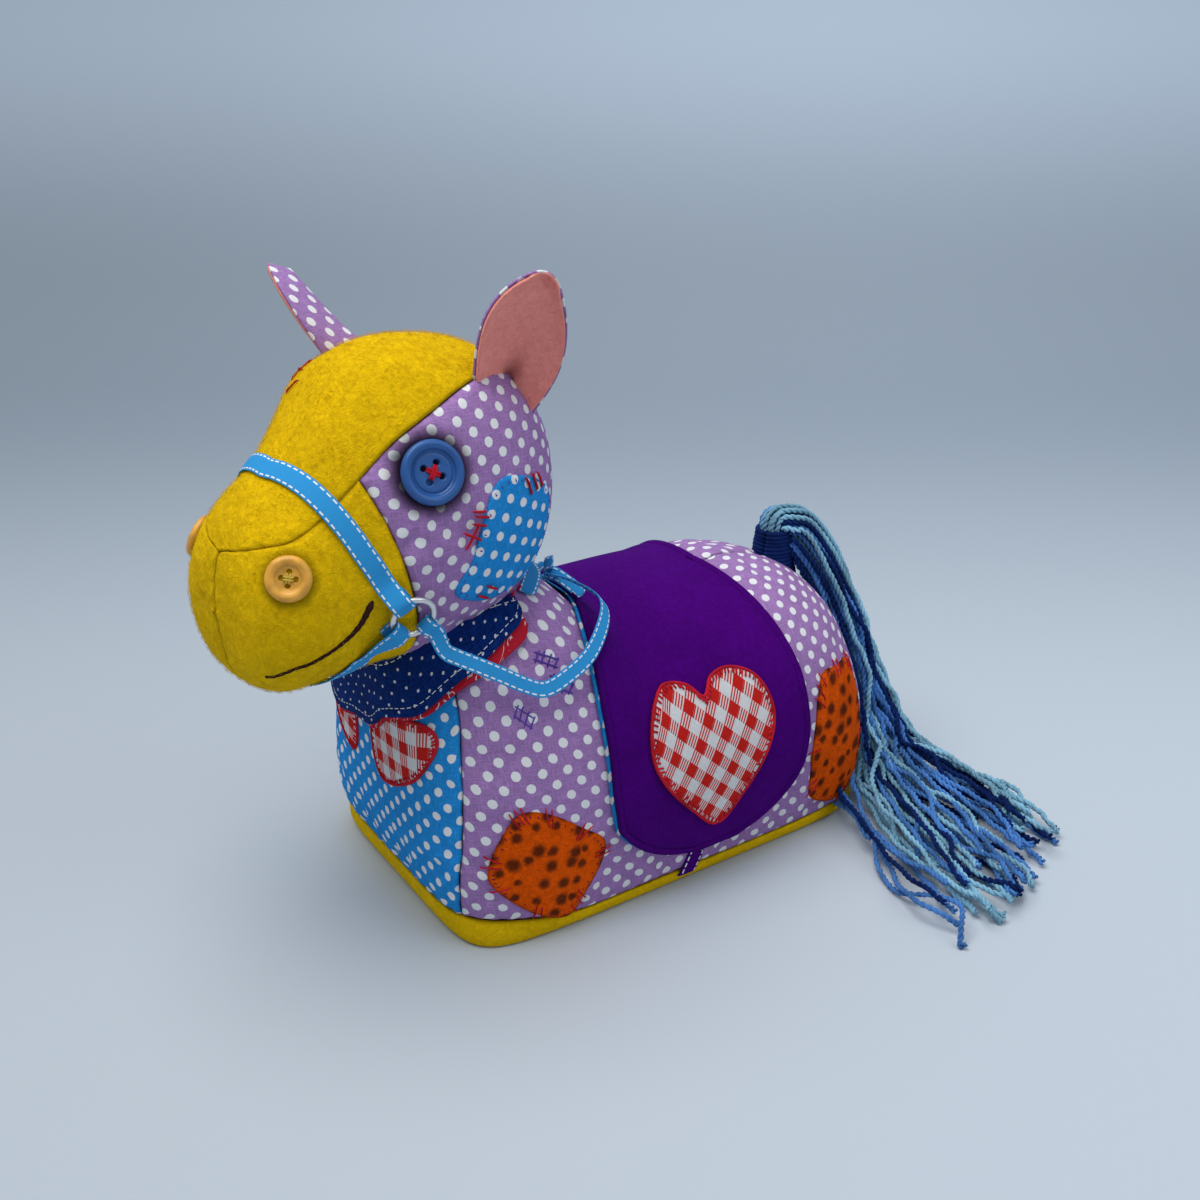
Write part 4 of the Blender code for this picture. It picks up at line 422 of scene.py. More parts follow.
def body_section(x, y, rise):
    """Plan point (x, y) carried up a rounded-box section; rise 1 spine, 0 seam, -1 under."""
    above = np.clip((rise - BELLY_RISE) / (1.0 - BELLY_RISE), 0.0, 1.0)
    angle = above * math.pi / 2.0
    below = np.clip((BELLY_RISE - rise) / BELLY_RISE, 0.0, 1.0)
    under = np.clip(-rise / BASE_CORNER, 0.0, 1.0) * math.pi / 2.0
    inward = np.clip((-rise - BASE_CORNER) / (1.0 - BASE_CORNER), 0.0, 1.0)
    scale = 1.0 - TUCK * below ** 2 - BASE_ROUND * (1.0 - np.cos(under))
    scale = (scale + BASE_BULGE * np.sin(under * 2.0)) * (1.0 - inward)
    seam = seam_height(x)
    top = BELLY_HEIGHT + (crest_height(x) - BELLY_HEIGHT) * power_root(np.sin(angle),
                                                                      SECTION_POWER)
    side = BELLY_HEIGHT - (BELLY_HEIGHT - seam) * below
    bottom = seam * (1.0 - np.sin(under))
    z = np.where(rise >= BELLY_RISE, top, np.where(rise >= 0.0, side, bottom))
    narrow = power_root(np.clip(np.cos(angle), 0.0, 1.0), SECTION_POWER)
    narrow = np.where(above >= 1.0, 0.0, narrow)
    return np.stack(np.broadcast_arrays(x * scale, y * scale * narrow, z), -1)


def body_around(turn, rise):
    """Body point at a turn round the plan, 0 chest, 180 rump, negative on the left."""
    turn = np.asarray(turn, float)
    power = plan_power(rise)
    angle = np.radians(np.abs(turn))
    length = np.where(angle < math.pi / 2.0, BODY_FRONT_LENGTH, BODY_REAR_LENGTH)
    x = -length * power_root(np.cos(angle), power)
    sine = np.where(np.abs(turn) >= 180.0, 0.0, np.sin(angle))
    y = np.sign(turn) * BODY_HALF_WIDTH * power_root(sine, power)
    return body_section(x, y, rise)


def body_over(x, arc):
    """Body point at a length along the toy and an arc over its back, 0 at the spine."""
    rise = 1.0 - np.abs(arc)
    power = plan_power(rise)
    length = np.where(x < 0.0, BODY_FRONT_LENGTH, BODY_REAR_LENGTH)
    share = np.clip(np.abs(x) / length, 0.0, 1.0)
    y = np.sign(arc) * BODY_HALF_WIDTH * (1.0 - share ** power) ** (1.0 / power)
    return body_section(x, y, rise)


def rise_at(x, z):
    """Rise at which the body form has a height."""
    share = np.clip((z - BELLY_HEIGHT) / (crest_height(x) - BELLY_HEIGHT), 0.0, 1.0)
    above = np.arcsin(share ** (SECTION_POWER / 2.0)) * 2.0 / math.pi
    seam = seam_height(x)
    below = np.clip((z - seam) / (BELLY_HEIGHT - seam), 0.0, 1.0) * BELLY_RISE
    return np.where(z > BELLY_HEIGHT, BELLY_RISE + (1.0 - BELLY_RISE) * above, below)


def body_side(side):
    """Body side, -1 left and 1 right, as a surface of length along the toy and height."""
    return lambda x, z: body_over(x, side * (1.0 - rise_at(x, z)))


def body_front(side):
    """Chest as a surface of distance off the middle and height."""
    def surface(off, z):
        rise = rise_at(np.full_like(z, -BODY_FRONT_LENGTH), z)
        above = np.clip((rise - BELLY_RISE) / (1.0 - BELLY_RISE), 0.0, 1.0)
        narrow = power_root(np.cos(above * math.pi / 2.0), SECTION_POWER)
        share = np.clip(off / (BODY_HALF_WIDTH * narrow), 0.0, 1.0)
        turn = np.degrees(np.arcsin(share ** (plan_power(rise) / 2.0)))
        return body_around(side * turn, rise)
    return surface


def head_turn_matrix():
    """Turn of the head about its pivot: a tilt about X, then a turn about Z."""
    tilt = Matrix.Rotation(math.radians(HEAD_TILT), 3, "X")
    turn = Matrix.Rotation(math.radians(HEAD_TURN), 3, "Z")
    return np.array(turn @ tilt)


def to_world(points):
    """Points or ways measured on the straight head, turned with the head."""
    return np.asarray(points, float) @ head_turn_matrix().T


def head_straight(section, angle):
    """Head point from its pivot, before the head's turn: a rounded section, off the top."""
    angle = np.asarray(angle, float)
    numbers = np.arange(len(HEAD_SECTIONS))
    along, top, bottom, wide = (smooth_table(numbers, column, section)
                                for column in zip(*HEAD_SECTIONS))
    middle = bottom + (top - bottom) * HEAD_MIDDLE
    turn = np.radians(angle)
    up = power_root(np.cos(turn), HEAD_POWER)
    out = power_root(np.sin(turn), HEAD_POWER)
    out = np.where(np.abs(angle) >= 180.0, 0.0, out)
    height = middle + up * np.where(up > 0.0, top - middle, middle - bottom)
    pinch = HEAD_PINCH * np.exp(-((section - HEAD_PINCH_SECTION) / HEAD_PINCH_REACH) ** 2)
    out = out * (1.0 - pinch * np.clip(np.cos(turn), 0.0, 1.0) ** 0.7)
    x = HEAD_BACK_X - HEAD_LENGTH * along - HEAD_PIVOT[0]
    y = HEAD_HALF_WIDTH * wide * out
    z = HEAD_BOTTOM + HEAD_HEIGHT * height - HEAD_PIVOT[2]
    swell = TEMPLE_SWELL * np.exp(-((section - TEMPLE_PLACE[0]) / 1.0) ** 2
                                  - ((angle - TEMPLE_PLACE[1]) / 20.0) ** 2)
    return np.stack(np.broadcast_arrays(x - 0.35 * swell, y + 0.8 * swell, z + 0.35 * swell), -1)


def unit(vectors):
    """Vectors divided by their own lengths."""
    size = np.linalg.norm(vectors, axis=-1, keepdims=True)
    return vectors / np.maximum(size, TINY * TINY)


def surface_normal(surface, u, v, step_u, step_v):
    """Unit cross product of the two central differences of a surface."""
    return unit(np.cross(surface(u + step_u, v) - surface(u - step_u, v),
                         surface(u, v + step_v) - surface(u, v - step_v)))


def lifted_body(lift):
    """Body form by turn and rise, moved out along its normal."""
    def moved(turn, rise):
        near = np.clip(rise, -1.0 + STEP * 2.0, 1.0 - STEP * 2.0)
        point = body_around(turn, rise)
        return point - surface_normal(body_around, turn, near, 180.0 * STEP, STEP) * lift
    return moved


def lifted_part(surface, lift, forward=False):
    """A body surface moved out: away from the body's middle line, or forward at the chest."""
    step = BODY_HALF_WIDTH * STEP
    step_v = STEP if surface is body_over else step

    def moved(u, v):
        point = surface(u, v)
        normal = surface_normal(surface, u, v, step, step_v)
        away = point * np.array([0.0, 1.0, 1.0]) - np.array(BODY_MIDDLE)
        outward = np.sign(-normal[..., 0] if forward else np.sum(normal * away, -1))
        return point + normal * outward[..., None] * lift
    return moved


def lifted_head(lift):
    """Head form by section and angle in the toy's frame, moved out along its normal."""
    def moved(section, angle):
        step = LAST_SECTION * STEP
        near = np.clip(section, step * 2.0, LAST_SECTION - step * 2.0)
        point = head_straight(section, angle)
        normal = surface_normal(head_straight, near, angle, step, 180.0 * STEP)
        outward = np.sign(np.sum(normal * (point - np.array(HEAD_CENTRE)), -1))[..., None]
        return to_world(point + normal * outward * lift) + np.array(HEAD_PIVOT)
    return moved


def head_place(section, angle, lift):
    """Point and axes (forward, sideways, normal) of something that lies on the head."""
    section, angle = np.array(float(section)), np.array(float(angle))
    step = len(HEAD_SECTIONS) * STEP
    along = head_straight(section + step, angle) - head_straight(section - step, angle)
    normal = surface_normal(head_straight, section, angle, step, 180.0 * STEP)
    point = head_straight(section, angle)
    normal = normal * np.sign(np.dot(normal, point - np.array(HEAD_CENTRE)))
    forward = unit(along - normal * np.dot(along, normal))
    axes = np.stack([forward, np.cross(normal, forward), normal])
    return to_world(point + normal * lift) + np.array(HEAD_PIVOT), to_world(axes)


def gusset_angle(section):
    """Angle from the top of the forehead seam at a section, 0 behind and before it."""
    sections, angles = zip(*GUSSET_SEAM)
    inside = (section >= sections[0]) & (section <= sections[-1])
    return np.where(inside, smooth_table(sections, angles, section), 0.0)


def cheek_front(share):
    """Section at which the cheek meets the muzzle, from the seam down to the chin."""
    shares, sections = zip(*CHEEK_FRONT)
    return smooth_table(shares, sections, share)


def rounded_curve(before, first, second, after, part):
    """Catmull-Rom curve between two of four points, at a part of the way."""
    return (first + (second - before) * part / 2.0
            + (before - first * 2.5 + second * 2.0 - after / 2.0) * part ** 2
            + (first * 1.5 - before / 2.0 - second * 1.5 + after / 2.0) * part ** 3)


def closed_outline(shares, at):
    """Smooth closed curve through listed points; at runs from 0 to 1 round it."""
    points = np.asarray(shares, float)
    place = np.asarray(at, float) * len(points)
    index = np.floor(place).astype(int)
    around = [points[(index + shift) % len(points)] for shift in (-1, 0, 1, 2)]
    return rounded_curve(*around, (place - index)[..., None])


def running_lengths(points):
    """Length along a line of points at each of them."""
    return np.concatenate([[0.0], np.cumsum(np.linalg.norm(np.diff(points, axis=0), axis=1))])


def smooth_path(points, spacing, *others):
    """Smooth curve through points, resampled at equal lengths; others go along with it."""
    points = np.asarray(points, float)
    tables = [points] + [np.asarray(other, float).reshape(len(points), -1) for other in others]
    place = np.linspace(0.0, len(points) - 1.0, len(points) * 24)
    index = np.minimum(np.floor(place).astype(int), len(points) - 2)
    part = (place - index)[:, None]
    fine = [rounded_curve(table[np.maximum(index - 1, 0)], table[index], table[index + 1],
                          table[np.minimum(index + 2, len(points) - 1)], part)
            for table in tables]
    lengths = running_lengths(fine[0])
    count = max(int(round(lengths[-1] / spacing)), 2) + 1
    at = np.linspace(0.0, lengths[-1], count)
    even = [np.stack([np.interp(at, lengths, column) for column in table.T], -1)
            for table in fine]
    return (even[0], at, *even[1:])


def share_grid(columns, rows):
    """Two arrays of shares from 0 to 1, along and across."""
    return np.meshgrid(np.linspace(0.0, 1.0, columns + 1), np.linspace(0.0, 1.0, rows + 1),
                       indexing="ij")


def lengths_along(points, axis):
    """Running length along one axis of a grid of points."""
    steps = np.linalg.norm(np.diff(points, axis=axis), axis=-1)
    pad = [(0, 0), (0, 0)]
    pad[axis] = (1, 0)
    return np.cumsum(np.pad(steps, pad), axis=axis)


def grid_faces(name, points):
    """A mesh of a grid of points joined with quads, its faces and the points' numbers."""
    index = np.arange(points[..., 0].size).reshape(points.shape[:2])
    faces = np.stack([index[:-1, :-1], index[1:, :-1], index[1:, 1:], index[:-1, 1:]], -1)
    faces = faces.reshape(-1, 4)
    mesh = bpy.data.meshes.new(name)
    mesh.from_pydata(points.reshape(-1, 3).tolist(), [], faces.tolist())
    return mesh, faces, index


def grid_mesh(name, points, cloth=None, edge=None):
    """Join a grid of points with quads, merge what meets and keep its two flat maps."""
    mesh, faces, _ = grid_faces(name, points)
    for layer_name, values in (("cloth", cloth), ("edge", edge)):
        if values is not None:
            layer = mesh.uv_layers.new(name=layer_name)
            flat = values.reshape(-1, 2)[faces.reshape(-1)]
            layer.data.foreach_set("uv", flat.astype(np.float32).ravel())
    edit_mesh(mesh, lambda work: (
        bmesh.ops.remove_doubles(work, verts=work.verts[:], dist=MERGE_DISTANCE),
        bmesh.ops.dissolve_degenerate(work, edges=work.edges[:], dist=MERGE_DISTANCE)))
    return mesh


def edit_mesh(mesh, change):
    """Change a mesh by mesh operations."""
    work = bmesh.new()
    work.from_mesh(mesh)
    change(work)
    work.to_mesh(mesh)
    work.free()


def close_outward(mesh):
    """Point the faces of a closed mesh outward."""
    edit_mesh(mesh, lambda work: bmesh.ops.recalc_face_normals(work, faces=work.faces[:]))


def face_from(mesh, centre):
    """Flip an open mesh whose faces look towards a point on the whole."""
    count = len(mesh.polygons)
    normals, centres = np.zeros(count * 3), np.zeros(count * 3)
    mesh.polygons.foreach_get("normal", normals)
    mesh.polygons.foreach_get("center", centres)
    away = centres.reshape(-1, 3) - np.asarray(centre, float)
    if np.sum(normals.reshape(-1, 3) * away) < 0.0:
        mesh.flip_normals()


def add_object(name, mesh, finish):
    """Add a smooth mesh with its material to the scene."""
    made = bpy.data.objects.new(name, mesh)
    bpy.context.scene.collection.objects.link(made)
    mesh.materials.append(finish)
    mesh.polygons.foreach_set("use_smooth", np.ones(len(mesh.polygons), bool))
    return made


def add_piece(name, mesh, finish, replaced=(), body="body"):
    """Add a mesh to the toy: its finish, its body and the nodes it stands for."""
    piece = add_object(name, mesh, finish_for(finish))
    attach(piece, body)
    if replaced:
        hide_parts(*replaced)
    return piece


def add_wall(piece, thickness, outward):
    """Give an open cloth its thickness, 1 outward and -1 inward."""
    wall = piece.modifiers.new("Cloth wall", "SOLIDIFY")
    wall.thickness = thickness
    wall.offset = outward
    wall.use_even_offset = False


def grid_normal(points, centre):
    """Unit normals of a grid of points, away from a point on the whole."""
    normal = unit(np.cross(np.gradient(points, axis=0), np.gradient(points, axis=1)))
    away = np.sum(normal * (points - np.asarray(centre, float)))
    return normal if away > 0.0 else -normal


def resampled(values, columns, rows):
    """A grid of numbers spread over a finer grid by smooth curves between them."""
    for count in (columns, rows):
        places = np.linspace(0.0, 1.0, len(values))
        at = np.linspace(0.0, 1.0, count)
        values = np.stack([smooth_table(places, column, at) for column in values.T])
    return values


def blurred(values, times):
    """A grid of numbers averaged with its neighbours again and again."""
    for _ in range(times):
        wide = np.pad(values, 1, mode="edge")
        values = (values * 2.0 + wide[:-2, 1:-1] + wide[2:, 1:-1] + wide[1:-1, :-2]
                  + wide[1:-1, 2:]) / 6.0
    return values


def settled(points, centre):
    """How far a stuffed panel moves along its normal when its cloth is pressed from inside.

    A coarse copy is pinned along its seams and pressed outward by the cloth solver for twenty
    frames. Its folds are kept whole and its swelling is limited by the settings.
    """
    settings = bpy.context.scene.plush_horse
    columns = np.linspace(0, points.shape[0] - 1, SETTLE_COLUMNS).round().astype(int)
    rows = np.linspace(0, points.shape[1] - 1, SETTLE_ROWS).round().astype(int)
    coarse = points[np.ix_(columns, rows)]
    mesh, _, index = grid_faces("settling cloth", coarse)
    face_from(mesh, centre)
    cloth = bpy.data.objects.new("settling cloth", mesh)
    scene = bpy.context.scene
    scene.collection.objects.link(cloth)
    seam = np.unique(np.concatenate([index[0], index[-1], index[:, 0], index[:, -1]]))
    cloth.vertex_groups.new(name="seam").add(seam.tolist(), 1.0, "REPLACE")
    solver = cloth.modifiers.new("Settling", "CLOTH")
    for name, value in CLOTH_SETTINGS:
        setattr(solver.settings, name, value)
    solver.settings.effector_weights.gravity = 0.0
    solver.collision_settings.use_collision = False
    solver.point_cache.frame_start = 1
    solver.point_cache.frame_end = SETTLE_FRAMES
    for step in range(1, SETTLE_FRAMES + 1):
        scene.frame_set(step)
    made = cloth.evaluated_get(bpy.context.evaluated_depsgraph_get()).to_mesh()
    moved = np.zeros(len(made.vertices) * 3)
    made.vertices.foreach_get("co", moved)
    bpy.data.objects.remove(cloth)
    bpy.data.meshes.remove(mesh)
    scene.frame_set(1)
    rise = np.nan_to_num(np.sum((moved.reshape(coarse.shape) - coarse)
                                * grid_normal(coarse, centre), -1))
    swell = blurred(rise, 10)
    folds = np.clip(rise - swell, -settings.dip, settings.swell)
    return resampled(folds + np.clip(swell * SWELL_SHARE, 0.0, settings.swell),
                     *points.shape[:2])


def sewn_panel(surface, columns, rows, centre, seams=(1, 1, 1, 1), give=1.0):
    """A stuffed panel: surface minus depth exp(-(d / w)^2) at its seams, with small puckers.

    d is the length to the nearest sewn edge, and give is how much of the cloth solver's
    movement the panel takes up. The puckers are sine waves along the seam that
    die out within a few millimetres of it. Returns the points and the cloth's flat map.
    """
    settings = bpy.context.scene.plush_horse
    u, v = share_grid(columns, rows)
    points = surface(u, v)
    move = settled(points, centre) * give
    points = points + grid_normal(points, centre) * move[..., None]
    along, across = lengths_along(points, 0), lengths_along(points, 1)
    far = np.full_like(along, 1.0)
    gaps = [along if seams[0] else far, along[-1:] - along if seams[1] else far,
            across if seams[2] else far, across[:, -1:] - across if seams[3] else far]
    nearest = np.minimum.reduce(gaps)
    on_ends = np.minimum(gaps[0], gaps[1]) < np.minimum(gaps[2], gaps[3])
    run = np.where(on_ends, across, along)
    wave = (np.sin(run / PUCKER_PITCH * math.tau) + 0.6 * np.sin(run / PUCKER_PITCH * 3.7 + 1.0))
    fade = np.exp(-(nearest / PUCKER_REACH) ** 2) * smooth_step(0.0, SEAM_ROLL, nearest)
    offset = settings.pucker * wave * fade
    offset = offset - settings.seam_depth * np.exp(-(nearest / SEAM_ROLL) ** 2)
    normal = grid_normal(points, centre)
    flat = np.stack([along - along[columns // 2], across], -1)
    return points + normal * offset[..., None], flat, np.stack([run, nearest], -1)


def even_share(points, values):
    """Parameter values at equal lengths along a line of points, as a function of a share."""
    lengths = running_lengths(points)
    return lambda share: np.interp(share, lengths / lengths[-1], values)


def even_turns(start, end):
    """Turns round the body, evenly spaced on its widest plan outline."""
    turns = np.linspace(start, end, 721)
    return even_share(body_around(turns, np.full_like(turns, BELLY_RISE)), turns)


def even_rises(start, end):
    """Rises from start to end, evenly spaced up the middle section of the body."""
    rises = np.linspace(start, end, 481)
    return even_share(body_over(np.zeros_like(rises), 1.0 - rises), rises)


def even_sections(start, end):
    """Sections of the head, evenly spaced along its side."""
    sections = np.linspace(start, end, 481)
    return even_share(head_straight(sections, np.full_like(sections, 60.0)), sections)


def band(name, centres, acrosses, width, thickness, spacing=0.0008, squareness=3.2):
    """Closed band: a superellipse section swept along a smooth path, with round ends.

    The section is across * a * c^(2 / p) + normal * b * s^(2 / p), where c and s are the
    cosine and sine round it, a is half the width and b half the thickness.
    """
    path, lengths, across = smooth_path(centres, spacing, acrosses)
    tangent = unit(np.gradient(path, axis=0))
    across = unit(across - tangent * np.sum(across * tangent, -1, keepdims=True))
    normal = np.cross(tangent, across)
    sides = 22
    turn = np.linspace(0.0, math.tau, sides + 1)
    wide = power_root(np.cos(turn), squareness) * width / 2.0
    high = power_root(np.sin(turn), squareness) * thickness / 2.0
    ends = np.minimum(lengths, lengths[-1] - lengths) / (width * 0.06)
    scale = np.sqrt(1.0 - (1.0 - np.clip(ends, 0.0, 1.0)) ** 2)
    points = (path[:, None] + across[:, None] * (wide[None] * scale[:, None])[..., None]
              + normal[:, None] * (high[None] * scale[:, None])[..., None])
    along = np.broadcast_to(lengths[:, None], points.shape[:2])
    flat = np.stack([along, np.broadcast_to(wide[None], points.shape[:2])], -1)
    edge = np.stack([along, np.broadcast_to((width / 2.0 - np.abs(wide))[None],
                                            points.shape[:2])], -1)
    mesh = grid_mesh(name, points, flat, edge)
    close_outward(mesh)
    return mesh


def tubes(name, paths, radii, sides=6, flat=None):
    """Closed round tubes along many paths at once; a radius may vary along its path.

    Ring k of a path is p_k + r_k (n_k cos a + b_k sin a). Rings are joined by quads, and the
    two end rings shrink to a point.
    """
    paths = np.asarray(paths, float)
    count, rings = paths.shape[:2]
    radii = np.broadcast_to(radii, (count, rings)).copy()
    radii[:, 0] *= 0.05
    radii[:, -1] *= 0.05
    tangent = unit(np.gradient(paths, axis=1))
    reference = unit(paths[:, -1] - paths[:, 0] + np.array([0.0013, 0.0007, 0.0]))
    reference = np.cross(reference, np.array([0.31, 0.17, 0.94]))[:, None]
    normal = unit(np.cross(tangent, reference))
    other = np.cross(tangent, normal)
    turn = np.arange(sides) * math.tau / sides
    ring = (normal[:, :, None] * np.cos(turn)[:, None] + other[:, :, None]
            * np.sin(turn)[:, None])
    points = paths[:, :, None] + ring * radii[:, :, None, None]
    index = np.arange(count * rings * sides).reshape(count, rings, sides)
    after = np.roll(index, -1, axis=2)
    quads = np.stack([index[:, :-1], after[:, :-1], after[:, 1:], index[:, 1:]], -1)
    quads = quads.reshape(-1, 4)
    caps = np.concatenate([index[:, 0, ::-1], index[:, -1]])
    mesh = bpy.data.meshes.new(name)
    mesh.from_pydata(points.reshape(-1, 3).tolist(), [], quads.tolist() + caps.tolist())
    if flat is not None:
        layer = mesh.uv_layers.new(name="cloth")
        values = np.repeat(flat.reshape(-1, 2), sides, axis=0)
        order = np.concatenate([quads.reshape(-1), caps.reshape(-1)])
        layer.data.foreach_set("uv", values[order].astype(np.float32).ravel())
    return mesh


def stitches(starts, ends, normals, height, rings=9):
    """Paths of hand stitches: a straight run that arches out by h (1 - (2 t - 1)^6)."""
    starts, ends = np.asarray(starts, float), np.asarray(ends, float)
    share = np.linspace(0.0, 1.0, rings)
    arch = 1.0 - (2.0 * share - 1.0) ** 6
    run = starts[:, None] + (ends - starts)[:, None] * share[:, None]
    return run + unit(np.asarray(normals, float))[:, None] * (arch * height)[:, None]


def lathe(profile, radius, height, place, axes, holes, columns=96):
    """Points and map of a turned button: its profile swept round, with holes in its face.

    A point within a hole's radius of a hole's centre drops by the hole's depth, by a smooth
    step.
    """
    shares = np.asarray(profile, float)
    fine = np.linspace(0.0, len(shares) - 1.0, (len(shares) - 1) * 9 + 1)
    numbers = np.arange(len(shares))
    r = smooth_table(numbers, shares[:, 0], fine) * radius
    z = smooth_table(numbers, shares[:, 1], fine) * height
    turn = np.linspace(0.0, math.tau, columns + 1)
    x = r[:, None] * np.cos(turn)
    y = r[:, None] * np.sin(turn)
    z = np.repeat(z[:, None], columns + 1, axis=1)
    spread, hole_radius, depth = holes
    front = (fine < numbers[-1] * 0.6)[:, None]
    gap = np.hypot(np.abs(x) - spread, np.abs(y) - spread)
    z = z - front * depth * (1.0 - smooth_step(hole_radius * 0.75, hole_radius * 1.15, gap))
    return np.stack([x, y, z], -1) @ axes + place, np.stack([x, y], -1)


def cloth_piece(name, maps, away, finish, replaced, wall, outward):
    """Add an open cloth from its points and flat maps, with its wall; it faces off a point."""
    mesh = grid_mesh(name, *maps)
    face_from(mesh, away)
    piece = add_piece(name, mesh, finish, replaced)
    add_wall(piece, wall, outward)
    return piece


def closed_piece(name, maps, finish, replaced, body="body"):
    """Add a closed form from its grid of points."""
    mesh = grid_mesh(name, *maps)
    close_outward(mesh)
    return add_piece(name, mesh, finish, replaced, body)


def add_ribbon(name, centres, acrosses, width, replaced=(), **shape):
    """Add a band of sky blue ribbon."""
    mesh = band(name, centres, acrosses, width, RIBBON_THICKNESS, **shape)
    return add_piece(name, mesh, "ribbon", replaced)


class Plush_OT_base(bpy.types.Operator):
    """Yellow felt base with its rounded rim"""

    bl_idname = "plush.base"
    bl_label = "Base"

    def execute(self, context):
        rises = np.concatenate([np.linspace(0.0, -BASE_CORNER, 15),
                                np.linspace(-BASE_CORNER, -1.0, 24)[1:]])
        u, _ = share_grid(280, len(rises) - 1)
        points = lifted_body(0.0)(even_turns(-180.0, 180.0)(u), np.broadcast_to(rises, u.shape))
        down = lengths_along(points, 1)
        dip = BASE_DIP * np.exp(-(down / SEAM_ROLL) ** 2)
        points = points - grid_normal(points, BODY_MIDDLE) * dip[..., None]
        points[..., 2] = np.maximum(points[..., 2], 0.0)
        maps = (points, points[..., :2], np.stack([lengths_along(points, 0), down], -1))
        piece = cloth_piece("base_felt", maps, BODY_MIDDLE, "yellow",
                            ("base_panel",), BASE_WALL, -1.0)
        return {"FINISHED"}


def body_panel(name, surface, columns, rows, finish, node, upright=False):
    """One sewn panel of the body; an upright one keeps its print level at the chest."""
    points, flat, edge = sewn_panel(surface, columns, rows, BODY_MIDDLE)
    if upright:
        plain = 1.0 - smooth_step(-0.060, -0.020, points[..., 0])
        flat[..., 1] += plain * (points[..., 2] - SEAM_HEIGHT_SIDE - flat[..., 1])
    piece = cloth_piece(name, (points, flat, edge), BODY_MIDDLE, finish, (node,),
                        PANEL_WALL, -1.0)


class Plush_OT_body(bpy.types.Operator):
    """Lilac side panels and the blue dotted chest"""

    bl_idname = "plush.body"
    bl_label = "Body"

    def execute(self, context):
        form = lifted_body(0.0003)
        rises = even_rises(0.0, 1.0)
        for word, side in SIDES:
            turns = even_turns(CHEST_TURN, 180.0)

            def surface(u, v, side=side, turns=turns):
                rise, line = rises(v), turns(u)
                near = np.clip(1.0 - (line - CHEST_TURN) / 42.0, 0.0, 1.0)
                return form(side * (line + (seam_turn(rise) - CHEST_TURN) * near), rise)

            body_panel("side_" + word + "_cotton", surface, 200, 130, "lilac",
                       "side_" + word, True)
        turns = even_turns(-CHEST_TURN, CHEST_TURN)

        def chest(u, v):
            rise = rises(v)
            return form(turns(u) / CHEST_TURN * seam_turn(rise), rise)

        body_panel("chest_cotton", chest, 110, 120, "blue", "chest_panel")
        return {"FINISHED"}


def seam_turn(rise):
    """Turn of the chest seam at a rise."""
    return CHEST_SEAM_TURN + CHEST_SEAM_SPREAD * rise


def side_map(points):
    """Flat map of cloth over the side of the head: its way off a middle point, times chord."""
    straight = (points - np.array(HEAD_PIVOT)) @ head_turn_matrix()
    side = -1.0 if straight[..., 1].mean() < 0.0 else 1.0
    middle = head_straight(np.array(CHEEK_MIDDLE[0]), np.array(side * CHEEK_MIDDLE[1]))
    gap = straight - middle
    normal = unit(np.array(CHEEK_FACING) * np.array([1.0, side, 1.0]))
    level = unit(np.cross(UP, normal)) * side
    flat = np.stack([gap @ level, gap @ np.cross(normal, level) * side], -1)
    return unit(flat) * np.linalg.norm(gap, axis=-1, keepdims=True)


class Plush_OT_head(bpy.types.Operator):
    """Felt forehead and muzzle and the cotton cheeks"""

    bl_idname = "plush.head"
    bl_label = "Head"

    def execute(self, context):
        form = lifted_head(0.0005)
        last_cheek = CHEEK_FRONT[0][1]
        top = even_sections(GUSSET_SEAM[0][0], GUSSET_SEAM[-1][0])
        back = even_sections(0.0, last_cheek)
        nose = even_sections(last_cheek, LAST_SECTION)

        def gusset(u, v):
            section = top(u)
            return form(section, gusset_angle(section) * (v * 2.0 - 1.0))

        def down_side(section, angle_section, v, side):
            start = gusset_angle(angle_section)
            return form(section, side * (start + (180.0 - start) * v))

        self.panel("forehead_felt", gusset, 150, 60, "yellow", "yellow_felt", "forehead_panel",
                   (1, 1, 1, 1))
        for word, side in SIDES:
            def cheek(u, v, side=side):
                section = back(u)
                return down_side(section * cheek_front(v) / last_cheek, section, v, side)

            def muzzle(u, v, side=side):
                section = nose(u)
                share = (section - last_cheek) / (LAST_SECTION - last_cheek)
                place = cheek_front(v) + (LAST_SECTION - cheek_front(v)) * share
                return down_side(place, section, v, side)

            self.panel("cheek_" + word + "_cotton", cheek, 120, 110, "cheek", "lilac_cotton",
                       "cheek_" + word, (0, 1, 1, 1))
            self.panel("muzzle_" + word + "_felt", muzzle, 100, 100, "yellow", "yellow_felt",
                       "muzzle_" + word, (1, 0, 1, 1))
            add_fuzz("muzzle_" + word + "_fuzz", muzzle, 3000, 21)
        add_fuzz("forehead_fuzz", gusset, 5000, 23)
        return {"FINISHED"}

    def panel(self, name, surface, columns, rows, finish, slot, node, seams):
        """One sewn panel of the head."""
        is_cheek = finish == "cheek"
        points, flat, edge = sewn_panel(surface, columns, rows, HEAD_MIDDLE_POINT, seams,
                                        1.0 if is_cheek else FELT_GIVE)
        maps = (points, side_map(points) if is_cheek else flat, edge)
        piece = cloth_piece(name, maps, HEAD_MIDDLE_POINT, finish, (node,), PANEL_WALL,
                            -1.0)


